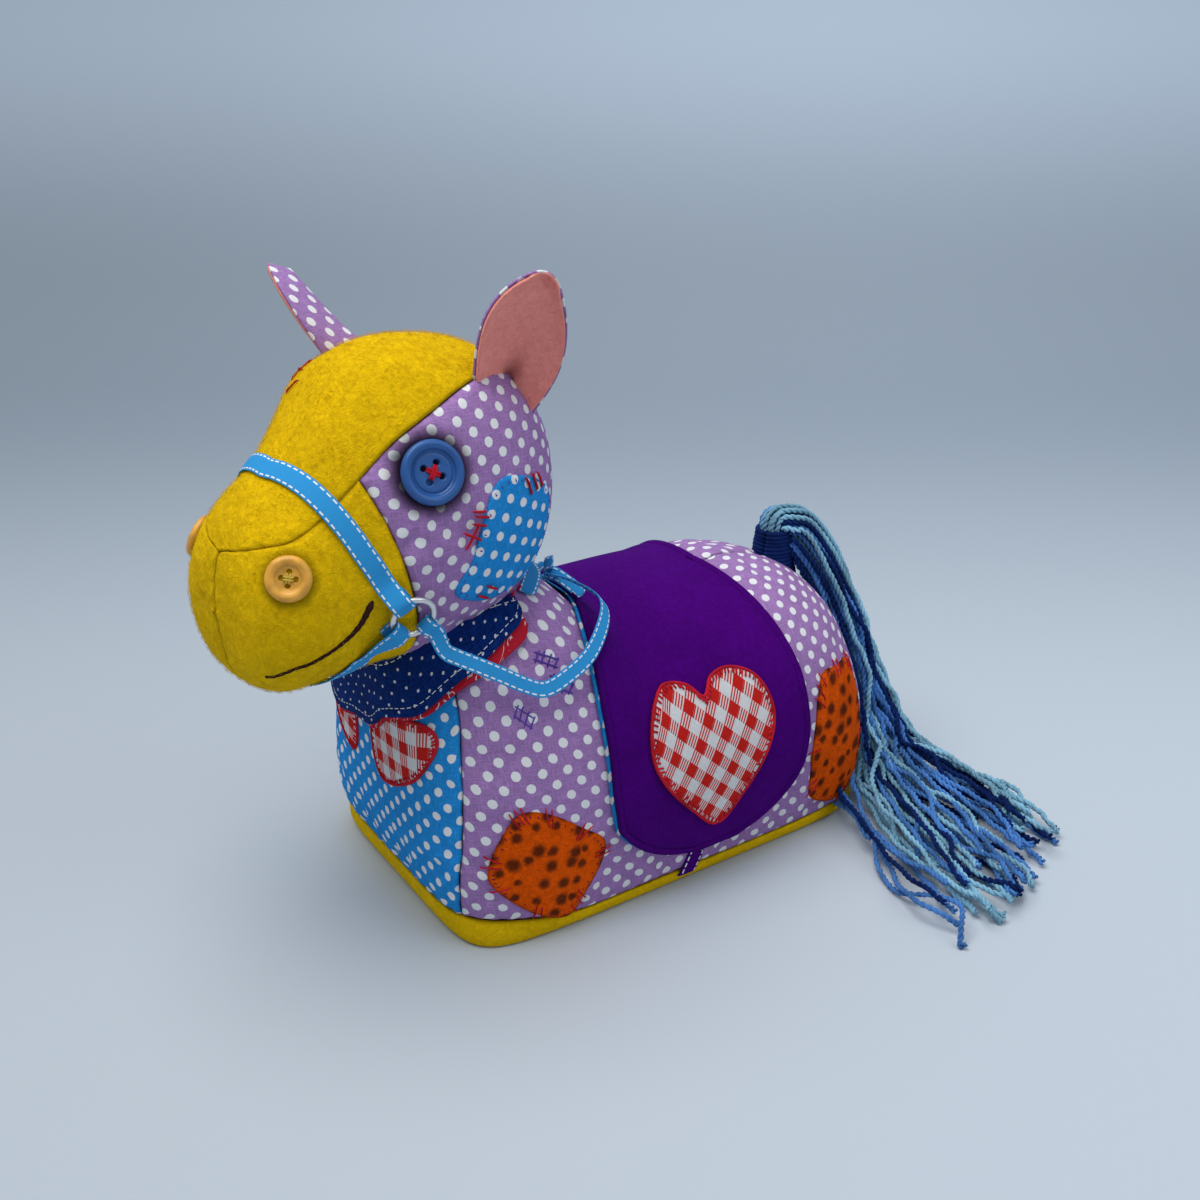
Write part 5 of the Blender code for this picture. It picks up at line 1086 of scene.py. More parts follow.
def add_fuzz(name, surface, count, seed):
    """Loose wool on a felt panel: fine curved fibres that lie along it and lift at their ends.

    Places are drawn evenly over the panel's area. A fibre runs s along a random way in the
    panel, turns by up to 0.9 radians and stands out by l (1 - (2 s - 1)^2) + s e.
    """
    rest = np.random.default_rng(seed)
    u, v = rest.uniform(0.02, 0.98, (2, count * 3))
    along = surface(u + STEP, v) - surface(u - STEP, v)
    over = surface(u, v + STEP) - surface(u, v - STEP)
    area = np.linalg.norm(np.cross(along, over), axis=-1)
    chosen = rest.choice(len(u), count, replace=False, p=area / area.sum())
    start = surface(u[chosen], v[chosen])
    normal = unit(np.cross(along, over)[chosen])
    normal *= np.sign(np.sum(normal * (start - np.array(HEAD_MIDDLE_POINT)), -1))[:, None]
    first = unit(along[chosen])
    second = np.cross(normal, first)
    share = np.linspace(0.0, 1.0, 5)[None]
    turn = rest.uniform(0.0, math.tau, (count, 1)) + rest.uniform(-0.9, 0.9, (count, 1)) * share
    length = FUZZ_LENGTH * rest.uniform(0.5, 1.2, (count, 1))
    rise = 0.00012 + length * (0.10 * (1.0 - (2.0 * share - 1.0) ** 2)
                               + share * rest.uniform(0.0, 0.30, (count, 1)))
    paths = (start[:, None] + first[:, None] * (np.cos(turn) * length * share)[..., None]
             + second[:, None] * (np.sin(turn) * length * share)[..., None]
             + normal[:, None] * rise[..., None])
    add_piece(name, tubes(name, paths, FUZZ_RADIUS, sides=3), "fuzz")


def ear_ways(across, tip, opening, swing):
    """The across and opening ways of an ear, swung about the line to its tip."""
    turn = np.array(Matrix.Rotation(math.radians(swing), 3, Vector(tip).normalized()))
    return turn @ unit(np.asarray(across, float)), turn @ unit(np.asarray(opening, float))


def ear_leaf(root, across, tip, opening, cup, inset):
    """A cupped leaf: half width w(v) and depth c(v) (1 - o^2), from root to tip."""
    start = head_straight(np.array(root[0]), np.array(root[1]))
    sink = -unit(tip) * EAR_SINK

    def mapped(u, v):
        off = u * 2.0 - 1.0
        v = np.sin(v * math.pi / 2.0)
        half = EAR_ROOT_HALF_WIDTH + EAR_BELLY * np.sin(math.pi * v)
        half = half * np.sqrt(np.clip(1.0 - v ** 4, 0.0, 1.0)) * inset
        fold = EAR_FOLD * np.exp(-(v / 0.34) ** 2) * np.exp(-((off + 0.10) / 0.26) ** 2)
        depth = cup * (1.0 - v * EAR_CUP_FALL) * (1.0 - off ** 2) + fold
        middle = start + sink + (tip - sink) * v[..., None] * inset
        return middle + across * (off * half)[..., None] - opening * depth[..., None]
    return mapped


class Plush_OT_ears(bpy.types.Operator):
    """Cotton ears with felt linings"""

    bl_idname = "plush.ears"
    bl_label = "Ears"

    def execute(self, context):
        middle = EAR_COLUMNS // 2
        u, v = share_grid(EAR_COLUMNS, EAR_ROWS)
        for word, (root, across, tip, opening, cup) in EARS.items():
            across, opening = ear_ways(across, tip, opening, EAR_SWING[word])
            tip = np.asarray(tip, float)
            for layer, finish, slot, inset, lift, wall in EAR_LAYERS:
                leaf = ear_leaf(root, across, tip, opening, cup, inset)
                normal = surface_normal(leaf, np.clip(u, 0.01, 0.99), np.clip(v, 0.01, 0.96),
                                        0.005, 0.005)
                away = np.sign(np.sum(normal * opening, -1))[..., None]
                tip_share = smooth_step(0.70, 0.88, v)[..., None]
                normal = unit(normal * away * (1.0 - tip_share) + opening * tip_share)
                points = to_world(leaf(u, v) + normal * lift * (1.0 - 0.65 * tip_share))
                points = points + np.array(HEAD_PIVOT) + np.array(EAR_SHIFT[word])
                along, over = lengths_along(points, 0), lengths_along(points, 1)
                over = over[middle:middle + 1] + np.zeros_like(over)
                rim = np.minimum(np.minimum(along, along[-1:] - along), over[:, -1:] - over)
                lengthwise = unit(to_world(tip))
                height = points @ lengthwise
                girth = lengths_along(points - height[..., None] * lengthwise, 0)
                flat = np.stack([girth - girth[middle], height - height.min()], -1)
                inner = points.reshape(-1, 3).mean(0) - to_world(opening) * 0.3
                name = "ear_" + word + "_" + layer
                cloth_piece(name + "_cloth", (points, flat, np.stack([over, rim], -1)), inner,
                            finish, (name,), wall, -1.0)
        return {"FINISHED"}


def bandana_band(lift, hem):
    """The band round the neck as shares round it and up it; hem 1 adds the lining's drop."""
    turns, lows, highs, drops = zip(*BANDANA_EDGES)
    form = lifted_body(lift)

    def mapped(u, v):
        turn = turns[0] + (turns[-1] - turns[0]) * u
        low = smooth_table(turns, lows, turn) - smooth_table(turns, drops, turn) * hem
        high = smooth_table(turns, highs, turn)
        return form(turn, low + (high - low) * v)
    return mapped


class Plush_OT_bandana(bpy.types.Operator):
    """Navy dotted bandana with its red lining and its tie"""

    bl_idname = "plush.bandana"
    bl_label = "Bandana"

    def execute(self, context):
        for node, finish, slot, lift, wall, hem in (
                ("bandana", "navy", "navy_twill", BANDANA_LIFT, 0.0010, 0.0),
                ("bandana_lining", "red", "red_cotton", LINING_LIFT, 0.0008, 1.0)):
            points = bandana_band(lift, hem)(*share_grid(260, 36))
            along, up = lengths_along(points, 0), lengths_along(points, 1)
            level = along.mean(1, keepdims=True) + np.zeros_like(along)
            edge = np.stack([along, np.minimum(up, up[:, -1:] - up)], -1)
            piece = cloth_piece(node + "_cloth", (points, np.stack([level, up], -1), edge),
                                (HEAD_PIVOT[0], 0.0, BELLY_HEIGHT), finish, (node,),
                                wall, 1.0)
        x, arc = np.array([(x, -arc) for x, arc in TIE_ROUTE] + [*TIE_ROUTE[-2::-1]]).T
        centres = lifted_part(body_over, TIE_LIFT)(x, arc)
        outward = centres * np.array([0.0, 1.0, 1.0]) - np.array(BODY_MIDDLE)
        across = np.cross(np.gradient(centres, axis=0), outward)
        add_ribbon("bandana_tie_ribbon", centres, unit(across), TIE_WIDTH, ("bandana_tie",))
        return {"FINISHED"}


def saddle_cloth(lift, spread):
    """The saddle blanket as shares along it and over the back."""
    arcs, fronts, rears = zip(*SADDLE_EDGES)
    form = lifted_part(body_over, lift)

    def mapped(u, v):
        arc = (v * 2.0 - 1.0) * arcs[-1]
        front = smooth_table(arcs, fronts, np.abs(arc)) * spread
        rear = smooth_table(arcs, rears, np.abs(arc)) * spread
        x = SADDLE_CENTRE_X + SADDLE_HALF_LENGTH * (front + (rear - front) * u)
        return form(x, arc)
    return mapped


def rim_distance(points):
    """Length from each grid point to the nearest point of the grid's rim."""
    rim = np.concatenate([points[0], points[-1], points[:, 0], points[:, -1]])
    flat = points.reshape(-1, 3)
    nearest = np.full(len(flat), 1.0)
    for start in range(0, len(rim), 64):
        gap = np.linalg.norm(flat[:, None] - rim[None, start:start + 64], axis=-1)
        nearest = np.minimum(nearest, gap.min(1))
    return nearest.reshape(points.shape[:2])


class Plush_OT_saddle(bpy.types.Operator):
    """Purple felt saddle, its dotted lining and the girth"""

    bl_idname = "plush.saddle"
    bl_label = "Saddle"

    def execute(self, context):
        for node, finish, slot, lift, wall, spread in (
                ("saddle", "purple", "purple_felt", SADDLE_LIFT, SADDLE_THICKNESS, 1.0),
                ("saddle_lining", "blue", "blue_cotton", SADDLE_LINING_LIFT, 0.0006,
                 SADDLE_LINING_SPREAD)):
            points = saddle_cloth(lift, spread)(*share_grid(90, 220))
            along, over = lengths_along(points, 0), lengths_along(points, 1)
            rim = rim_distance(points)
            if node == "saddle":
                inside = rim - SADDLE_STITCH
                groove = np.exp(-(inside / 0.0006) ** 2) * 0.00055
                puff = 0.0004 * (1.0 - np.exp(-(np.maximum(inside, 0.0) / 0.003) ** 2))
                points = points + grid_normal(points, GROUND) * (puff - groove)[..., None]
            maps = (points, np.stack([along - along[45], over], -1), np.stack([over, rim], -1))
            piece = cloth_piece(node + "_cloth", maps, GROUND, finish, (node,), wall, 1.0)
        half = [lifted_part(body_over, GIRTH_LIFT * share)(np.array(GIRTH_X), np.array(rise - 1.0))
                for rise, share in GIRTH_ROUTE]
        centres = np.array(half + [point * np.array([1.0, -1.0, 1.0])
                                   for point in reversed(half)])
        low = 1.0 - smooth_step(0.0, 0.034, centres[:, 2])
        centres[:, 0] -= GIRTH_SLANT * low
        centres[:, 1] *= 1.0 - GIRTH_TUCK * (1.0 - smooth_step(0.0, 0.0045, centres[:, 2]))
        centres[:, 2] = np.maximum(centres[:, 2], GIRTH_THICKNESS * 0.6)
        mesh = band("girth_felt", centres, np.tile([1.0, 0.0, 0.0], (len(centres), 1)),
                    GIRTH_WIDTH, GIRTH_THICKNESS)
        add_piece("girth_felt", mesh, "girth", ("girth_strap",))
        return {"FINISHED"}


def add_patch(name, node, surface, outline, finish, away, flat_map=None):
    """A sewn-on patch: a disc that follows its outline, its rim drawn down at its stitches."""
    centre, half, shares = outline
    radius, around = share_grid(26, 160)
    rim = closed_outline(shares, around) * radius[..., None] * np.array(half)
    flat = rim + np.array(centre)
    points = surface(flat[..., 0], flat[..., 1])
    out = lengths_along(points, 0)
    edge = np.stack([lengths_along(points, 1)[-1:] + np.zeros_like(out), out[-1:] - out], -1)
    if flat_map:
        flat = flat_map(points)
    drawn = np.exp(-(edge[..., 1] / 0.0009) ** 2) * 0.0002
    points = points - grid_normal(points, away) * drawn[..., None]
    cloth_piece(name, (points, flat, edge), away, finish, (node,), PATCH_THICKNESS, 1.0)


class Plush_OT_patches(bpy.types.Operator):
    """Hearts, chest patches, leopard patches and the cheek patch"""

    bl_idname = "plush.patches"
    bl_label = "Patches"

    def execute(self, context):
        lift = SADDLE_LIFT + SADDLE_THICKNESS + PATCH_LIFT
        for word, side in SIDES:
            surface = lifted_part(body_side(side), lift + 0.0004)
            add_patch("heart_" + word + "_gingham", "heart_" + word, surface, HEART,
                      "gingham", BODY_MIDDLE)
            surface = lifted_part(body_front(side), PATCH_LIFT, True)
            add_patch("chest_patch_" + word + "_gingham", "chest_patch_" + word, surface,
                      CHEST_PATCHES[word], "chest_gingham", BODY_MIDDLE)
        left = lifted_part(body_side(-1.0), PATCH_LIFT)
        for word, outline in (("flank", FLANK_PATCH), ("rump", RUMP_PATCH)):
            add_patch(word + "_patch_felt", word + "_patch", left, outline, "leopard",
                      BODY_MIDDLE)
        add_patch("cheek_patch_cotton", "cheek_patch", lifted_head(PATCH_LIFT + 0.0002),
                  CHEEK_PATCH, "patch", HEAD_MIDDLE_POINT, side_map)
        return {"FINISHED"}


class Plush_OT_buttons(bpy.types.Operator):
    """Button eyes and nostrils"""

    bl_idname = "plush.buttons"
    bl_label = "Buttons"

    def execute(self, context):
        for word, side in SIDES:
            for kind, place, radius, height, profile, seat, holes, slot in (
                    ("eye", EYE_PLACE, EYE_RADIUS, EYE_HEIGHT, EYE_PROFILE, -0.0002,
                     (0.0021, 0.0010, 0.0013), "blue_plastic"),
                    ("nostril", NOSTRIL_PLACE, NOSTRIL_RADIUS, NOSTRIL_HEIGHT, NOSTRIL_PROFILE,
                     -0.0005, (0.0014, 0.0008, 0.0010), "amber_plastic")):
                where, axes = head_place(place[0], side * place[1], seat)
                node = kind + "_button_" + word
                maps = lathe(profile, radius, height, where, axes, holes)
                closed_piece(node + "_disc", maps, kind, (node,))
        return {"FINISHED"}


def ring_axes(side):
    """Centre and axes of a halter ring."""
    return head_place(RING_PLACE[0], side * RING_PLACE[1], RING_STAND_OFF)


def ring_loop(side, ring_turn):
    """Ribbon centre points and across directions of a loop at a turn round a ring."""
    centre, (forward, sideways, normal) = ring_axes(side)
    angle = math.radians(ring_turn) * -side
    way = forward * math.cos(angle) + sideways * math.sin(angle)
    wire = centre + way * RING_RADIUS
    turn = math.pi * np.arange(9) / 8.0
    bend = (wire - normal * LOOP_RADIUS * np.cos(turn)[:, None]
            - way * LOOP_RADIUS * np.sin(turn)[:, None])
    points = np.concatenate([[wire + way * LOOP_TAIL - normal * LOOP_RADIUS], bend,
                             [wire + way * LOOP_LEAD + normal * LOOP_RADIUS]])
    return points, np.tile(np.cross(normal, way), (len(points), 1))


def head_strap(table, front):
    """Centre points and across directions of a ribbon that follows the head form."""
    angles, sections = zip(*table)
    if front:
        turns = np.linspace(-max(angles), max(angles), 25)
    else:
        turns = np.concatenate([-np.linspace(min(angles), 180.0, 8),
                                np.linspace(180.0, min(angles), 8)[1:]])
    places = smooth_table(angles, sections, np.abs(turns))
    form = lifted_head(0.0014)
    step = len(HEAD_SECTIONS) * STEP
    return form(places, turns), form(places + step, turns) - form(places - step, turns)


def same_way(acrosses, like):
    """Across directions, turned round where they point against another direction."""
    return acrosses * (1.0 if np.dot(acrosses[0], like) > 0.0 else -1.0)


def joined_strap(centres, across, ring_turn):
    """A strap over the head with a ring loop at each end."""
    (left, left_ways), (right, right_ways) = (ring_loop(side, ring_turn)
                                              for side in (-1.0, 1.0))
    return (np.concatenate([left, centres, right[::-1]]),
            np.concatenate([same_way(left_ways, across[0]), unit(across),
                            same_way(right_ways, across[-1])[::-1]]))


def rein_path(side):
    """Centre points and across directions of one rein, from its ring to the knot."""
    mirror = np.array([1.0, -side, 1.0])
    route = np.array(REIN_ROUTE) * mirror
    across = np.cross(np.gradient(route, axis=0), np.array(REIN_FACES) * mirror) * -side
    points, acrosses = ring_loop(side, REIN_RING_TURN)
    sign = 1.0 if np.dot(acrosses[0], across[0]) > 0.0 else -1.0
    return np.concatenate([points, route]), np.concatenate([acrosses, unit(across) * sign])


class Plush_OT_halter(bpy.types.Operator):
    """Ribbon halter with its two wire rings, its reins and their knot"""

    bl_idname = "plush.halter"
    bl_label = "Halter"

    def execute(self, context):
        width = context.scene.plush_horse.ribbon_width
        for word, table, front, ring_turn in (
                ("noseband", NOSEBAND, True, NOSEBAND_RING_TURN),
                ("chin_strap", CHIN_STRAP, False, CHIN_RING_TURN)):
            add_ribbon(word + "_ribbon", *joined_strap(*head_strap(table, front), ring_turn),
                       width, (word,))
        for word, side in SIDES:
            centres, across = rein_path(side)
            piece = add_ribbon("rein_" + word + "_ribbon", centres, across,
                               width * REIN_WIDTH_SHARE, ("rein_" + word,))
            path, lengths = smooth_path(centres, 0.004)
            centre, axes = ring_axes(side)
            u, v = np.meshgrid(np.linspace(0.0, math.tau, 97), np.linspace(0.0, math.tau, 17),
                               indexing="ij")
            reach = RING_RADIUS + RING_WIRE_RADIUS * np.cos(v)
            points = np.stack([reach * np.cos(u), reach * np.sin(u),
                               RING_WIRE_RADIUS * np.sin(v)], -1) @ axes + centre
            closed_piece("ring_" + word + "_wire", (points,), "silver",
                         ("ring_" + word,), "ring_" + word + "_body")
        self.add_knot()
        return {"FINISHED"}

    def add_knot(self):
        """The knot: a band wound once round the crossing, and two short tails."""
        top = float(crest_height(np.array(KNOT_X)))
        turn = np.linspace(0.0, math.tau * 1.15, 26)
        wrap = np.stack([KNOT_X + KNOT_RADIUS * np.cos(turn) + 0.0006 * turn / math.tau,
                         -0.0012 + 0.0024 * (turn / math.tau - 0.5),
                         top + 0.0040 + KNOT_RADIUS * np.sin(turn)], -1)
        wrap[:, 2] = np.maximum(wrap[:, 2], top + 0.0013)
        add_ribbon("rein_knot_ribbon", wrap, np.tile([0.1, 1.0, 0.0], (len(wrap), 1)),
                   KNOT_WIDTH, ("rein_knot",), squareness=2.6)
        for number, tail in enumerate(KNOT_TAILS):
            route = np.array(tail) + np.array([KNOT_X, 0.0, top])
            add_ribbon("rein_knot_tail_" + str(number), route,
                       np.tile([0.35, 0.55, 0.60], (len(route), 1)), KNOT_TAIL_WIDTH)


def strand_waves(share, jitter, number_step, start, column):
    """A sum of three sine waves along each strand, each with its own phase and height."""
    return sum(np.sin(share[None] * math.tau * (number * number_step + start)
                      + jitter[:, number, column:column + 1] * 3.0)
               * jitter[:, number, 1:2] for number in range(3))


class Plush_OT_tail(bpy.types.Operator):
    """Yarn tail and its bound stub"""

    bl_idname = "plush.tail"
    bl_label = "Tail"

    def execute(self, context):
        settings = context.scene.plush_horse
        strands = settings.strands
        rows = np.arange(strands)
        points = self.strand_paths(strands, rows)
        step = np.linalg.norm(np.diff(points, axis=1), axis=-1)
        length = np.concatenate([np.zeros((strands, 1)), np.cumsum(step, 1)], 1)
        tangent = unit(np.gradient(points, axis=1))
        normal = unit(np.cross(tangent, np.array([0.2, 0.9, 0.35])))
        other = np.cross(tangent, normal)
        share = np.linspace(0.0, 1.0, TAIL_RINGS)
        fray = PLY_OFFSET * (1.0 + 0.5 * smooth_step(0.97, 1.0, share))[None, :, None]
        for number, word in enumerate(("light", "middle", "dark")):
            chosen = rows[(rows * 7 + rows // 5) % 3 == number]
            plies = []
            for ply in (0.0, math.pi):
                angle = (length[chosen] / PLY_PITCH * math.tau + ply)[..., None]
                plies.append(points[chosen] + (normal[chosen] * np.cos(angle)
                                               + other[chosen] * np.sin(angle)) * fray)
            name = "tail_yarn_" + word
            mesh = tubes(name, np.concatenate(plies), settings.yarn_radius)
            add_piece(name, mesh, "yarn_" + word, () if number else ("tail",),
                      "tail_body")
        self.add_binding()
        return {"FINISHED"}

    def strand_paths(self, strands, rows):
        """The middle lines of the yarns, from the stub down and out over the floor."""
        radius = np.sqrt((rows + 0.5) / strands)
        rest = np.random.default_rng(11)
        jitter = rest.normal(size=(strands, 4, 3))
        share = np.linspace(0.0, 1.0, TAIL_RINGS)
        ends = 1.0 - 0.24 * rest.random(strands) ** 1.4
        at = share[None] * ends[:, None]
        places = np.linspace(0.0, 1.0, len(TAIL_ROUTE))

        def route(at):
            return np.stack([smooth_table(places, column, at) for column in zip(*TAIL_ROUTE)],
                            -1)

        ahead = unit(route(np.minimum(at + 0.01, 1.0)) - route(at - 0.01))
        falling = smooth_step(0.22, 0.50, at)[..., None]
        level = np.array([0.0, -1.0, 0.0]) * (1.0 - falling)
        level = level + np.cross(ahead, np.array([1.0, 0.0, 0.0])) * falling
        outward = unit(np.cross(level, ahead))
        beside = np.cross(ahead, outward)
        thick = smooth_table(places, TAIL_THICK, at)
        fan = smooth_table(places, TAIL_FAN, at)
        turn = (rows * GOLDEN_TURN)[:, None] + share[None] * (jitter[:, 3, 0:1] * 0.7)
        lie = radius[:, None] * np.sin(turn)
        even = (lie * np.sqrt(np.clip(1.0 - lie ** 2, 0.0, 1.0)) + np.arcsin(lie)) * 2.0 / math.pi
        spread = smooth_step(0.42, 0.62, at)
        lie = lie * (1.0 - spread) + even * spread
        loose = smooth_step(0.12, 0.62, at)
        curly = smooth_step(0.55, 0.85, at)
        strayed = np.exp(-((at - 0.68) / 0.13) ** 2) * smooth_step(0.55, 0.95, -lie)
        wave = strand_waves(share, jitter, 2.1, 2.3, 0)
        sway = strand_waves(share, jitter, 1.7, 3.1, 2)
        kink = np.sin(share[None] * math.tau * 21.0 + jitter[:, 3, 1:2] * 3.0)
        points = (route(at) + beside * (thick * radius[:, None] * np.cos(turn)
                                        + sway * (0.0008 * loose + 0.0005 * curly))[..., None]
                  + outward * (fan * lie + kink * 0.0004 * loose
                               + wave * (0.0010 * loose + 0.0005 * curly)
                               - strayed * 0.0090)[..., None])
        points[..., 1] += TAIL_SKEW * lie * smooth_step(0.55, 1.0, at)
        points[..., 2] = np.maximum(points[..., 2], 0.0012)
        past = np.maximum(TAIL_FREE_Y - points[..., 1], 0.0)
        points[..., 1] += past - TAIL_PAST * (1.0 - np.exp(-past / TAIL_PAST))
        return points

    def add_binding(self):
        """Thread wound round the stub from the body up to the tail's knob."""
        ground = float(crest_height(np.array(TAIL_ROOT[0])))
        share = np.linspace(0.0, 1.0, BINDING_TURNS * 40)
        turn = share * BINDING_TURNS * math.tau
        reach = BINDING_RADIUS + (BINDING_TOP_RADIUS - BINDING_RADIUS) * share ** 0.8
        reach = reach + 0.00022 * np.sin(turn * 0.37) * np.sin(turn * 1.7)
        height = -BINDING_SINK + share * (TAIL_ROOT[2] - ground + BINDING_SINK - 0.0008)
        path = np.stack([TAIL_ROOT[0] + reach * np.cos(turn), reach * np.sin(turn),
                         ground + height], -1)
        mesh = tubes("tail_binding_thread", path[None], BINDING_THREAD, sides=8)
        add_piece("tail_binding_thread", mesh, "thread", ("tail_binding",))


class Value:
    """A node's output; a sum, difference or product of it is a math node."""

    def __init__(self, nodes, socket):
        self.nodes, self.socket = nodes, socket

    def __add__(self, other):
        return self.nodes.math("ADD", self, other)

    def __sub__(self, other):
        return self.nodes.math("SUBTRACT", self, other)

    def __rsub__(self, other):
        return self.nodes.math("SUBTRACT", other, self)

    def __mul__(self, other):
        return self.nodes.math("MULTIPLY", self, other)

    def __abs__(self):
        return self.nodes.math("ABSOLUTE", self)


class Nodes:
    """Short ways to add nodes to a material's tree or to a shared group."""

    def __init__(self, tree):
        self.tree = tree

    def feed(self, node, key, value):
        """Link a node's input to a value, or set it to a number, a vector or a colour."""
        if isinstance(value, Value):
            self.tree.links.new(value.socket, node.inputs[key])
        else:
            node.inputs[key].default_value = value

    def add(self, kind, values=(), outputs=(0,), **settings):
        """Outputs of a new node with these settings and inputs; all of them for None."""
        node = self.tree.nodes.new(kind)
        for name, value in settings.items():
            setattr(node, name, value)
        for key, value in values:
            self.feed(node, key, value)
        chosen = node.outputs if outputs is None else [node.outputs[key] for key in outputs]
        made = [Value(self, socket) for socket in chosen]
        return made if len(made) > 1 else made[0]

    def math(self, operation, *values):
        """The result of one math node."""
        return self.add("ShaderNodeMath", enumerate(values), operation=operation)

    def vector(self, operation, *values):
        """The result of one vector node: a number for a length, otherwise a vector."""
        output = "Value" if operation in ("LENGTH", "DOT_PRODUCT") else "Vector"
        return self.add("ShaderNodeVectorMath", enumerate(values), (output,),
                        operation=operation)

    def scaled(self, vector, scale):
        """A vector times a number."""
        return self.add("ShaderNodeVectorMath", [(0, vector), ("Scale", scale)],
                        operation="SCALE")

    def ramp(self, value, start, end):
        """0 at start, 1 at end and a smooth ramp between them; start may be the larger."""
        return self.add("ShaderNodeMapRange", [(0, value), (1, start), (2, end)],
                        interpolation_type="SMOOTHSTEP")

    def mix(self, share, first, second, blend="MIX"):
        """Two colours mixed."""
        return self.add("ShaderNodeMix", [(0, share), (6, first), (7, second)], (2,),
                        data_type="RGBA", blend_type=blend)

    def tones(self, share, ground, dark, light):
        """A named colour between a darker and a lighter tone of it."""
        return self.mix(share, tone(ground, dark), tone(ground, light))

    def shade(self, colour, factor):
        """A colour times a number."""
        grey = self.add("ShaderNodeCombineColor", [(0, factor), (1, factor), (2, factor)])
        return self.mix(1.0, colour, grey, "MULTIPLY")

    def noise(self, vector, scale, detail=3.0, roughness=0.6, distortion=0.0, output=0):
        """One number of cloudy noise, or its colour."""
        return self.add("ShaderNodeTexNoise", [
            ("Vector", vector), ("Scale", scale), ("Detail", detail), ("Roughness", roughness),
            ("Distortion", distortion)], (output,))

    def wobbled(self, vector, scale, detail, roughness, reach):
        """A vector moved by cloudy noise."""
        cloud = self.noise(vector, scale, detail, roughness, output="Color")
        return self.vector("ADD", vector, self.scaled(
            self.vector("SUBTRACT", cloud, (0.5, 0.5, 0.5)), reach))

    def stretched(self, vector, *factors):
        """A vector times three factors."""
        return self.vector("MULTIPLY", vector, factors)

    def turned(self, vector, degrees):
        """A flat vector turned about Z."""
        return self.add("ShaderNodeVectorRotate",
                        [("Vector", vector), ("Angle", math.radians(degrees))],
                        rotation_type="Z_AXIS")

    def parts(self, vector):
        """The X, Y and Z of a vector."""
        return self.add("ShaderNodeSeparateXYZ", [(0, vector)], None)

    def map(self, name):
        """One of a piece's own flat maps, in metres."""
        return self.add("ShaderNodeUVMap", uv_map=name)

    def place(self):
        """Object coordinates."""
        return self.add("ShaderNodeTexCoord", (), ("Object",))


class Finish(Nodes):
    """A new material with its nodes and its shader."""

    def __init__(self, name):
        self.made = bpy.data.materials.new(name)
        self.made.use_nodes = True
        super().__init__(self.made.node_tree)

    def surface(self, colour, roughness, height, strength, distance, sheen=0.0, **others):
        """Feed the shader its colour, its roughness and a bump; the finished material."""
        bump = self.add("ShaderNodeBump", [("Strength", strength), ("Distance", distance),
                                           ("Height", height)])
        inputs = {"Base_Color": colour, "Roughness": roughness, "Normal": bump,
                  "Sheen_Weight": sheen, "Sheen_Roughness": 0.4, "Specular_IOR_Level": 0.06,
                  **others}
        for key, value in inputs.items():
            self.feed(self.tree.nodes["Principled BSDF"], key.replace("_", " "), value)
        return self.made


def shared_group(name, inputs, outputs):
    """Makes a function of nodes and inputs into a node group that is filled once."""
    def shared(fill):
        def use(nodes, *values):
            tree = bpy.data.node_groups.get(name)
            if not tree:
                tree = bpy.data.node_groups.new(name, "ShaderNodeTree")
                for way, labels in (("INPUT", inputs), ("OUTPUT", outputs)):
                    for label in labels:
                        kind = "Vector" if label == "Vector" else "Float"
                        tree.interface.new_socket(label, in_out=way,
                                                  socket_type="NodeSocket" + kind)
                inside = Nodes(tree)
                given = inside.add("NodeGroupInput", (), range(len(inputs)))
                results = fill(inside, *(given if len(inputs) > 1 else [given]))
                end = tree.nodes.new("NodeGroupOutput")
                for number, result in enumerate(results):
                    inside.feed(end, number, result)
            return nodes.add("ShaderNodeGroup", enumerate(values), range(len(outputs)),
                             node_tree=tree)
        return use
    return shared


@shared_group("Dots", ("Vector", "Pitch", "Radius"), ("Mask",))
def dots(nodes, place, pitch, radius):
    """Staggered printed dots: two square lattices half a pitch apart, ragged at the rim."""
    flat = nodes.stretched(place, 1.0, 1.0, 0.0)
    cells = nodes.scaled(flat, nodes.math("DIVIDE", 1.0, pitch))
    gaps = []
    for shift in (0.0, 0.5):
        moved = nodes.vector("ADD", cells, (shift, shift, 0.0))
        inner = nodes.vector("SUBTRACT", nodes.vector("FRACTION", moved), (0.5, 0.5, 0.0))
        gaps.append(nodes.vector("LENGTH", nodes.stretched(inner, 1.0, 1.0, 0.0)))
    gap = nodes.math("MINIMUM", *gaps) * pitch
    gap = gap + (nodes.noise(flat, 1400.0, 2.0) - 0.5) * (radius * 0.28)
    return [nodes.ramp(gap, radius * 1.09, radius * 0.93)]


@shared_group("Weave", ("Vector", "Thread"), ("Height", "Slubs"))
def weave(nodes, place, thread):
    """Plain weave: one set of threads rises where the other dips, with uneven yarns."""
    x, y = nodes.parts(nodes.scaled(place, nodes.math("DIVIDE", math.pi, thread)))[:2]
    warp, weft = nodes.math("SINE", x), nodes.math("SINE", y)
    slubs = nodes.math("MAXIMUM", nodes.noise(nodes.stretched(place, 240.0, 2600.0, 0.0), 1.0),
                       nodes.noise(nodes.stretched(place, 2600.0, 240.0, 0.0), 1.0))
    cloth = warp * weft * 0.22 + abs(warp) * abs(weft) * 0.4
    return [cloth + slubs * 0.5, slubs]


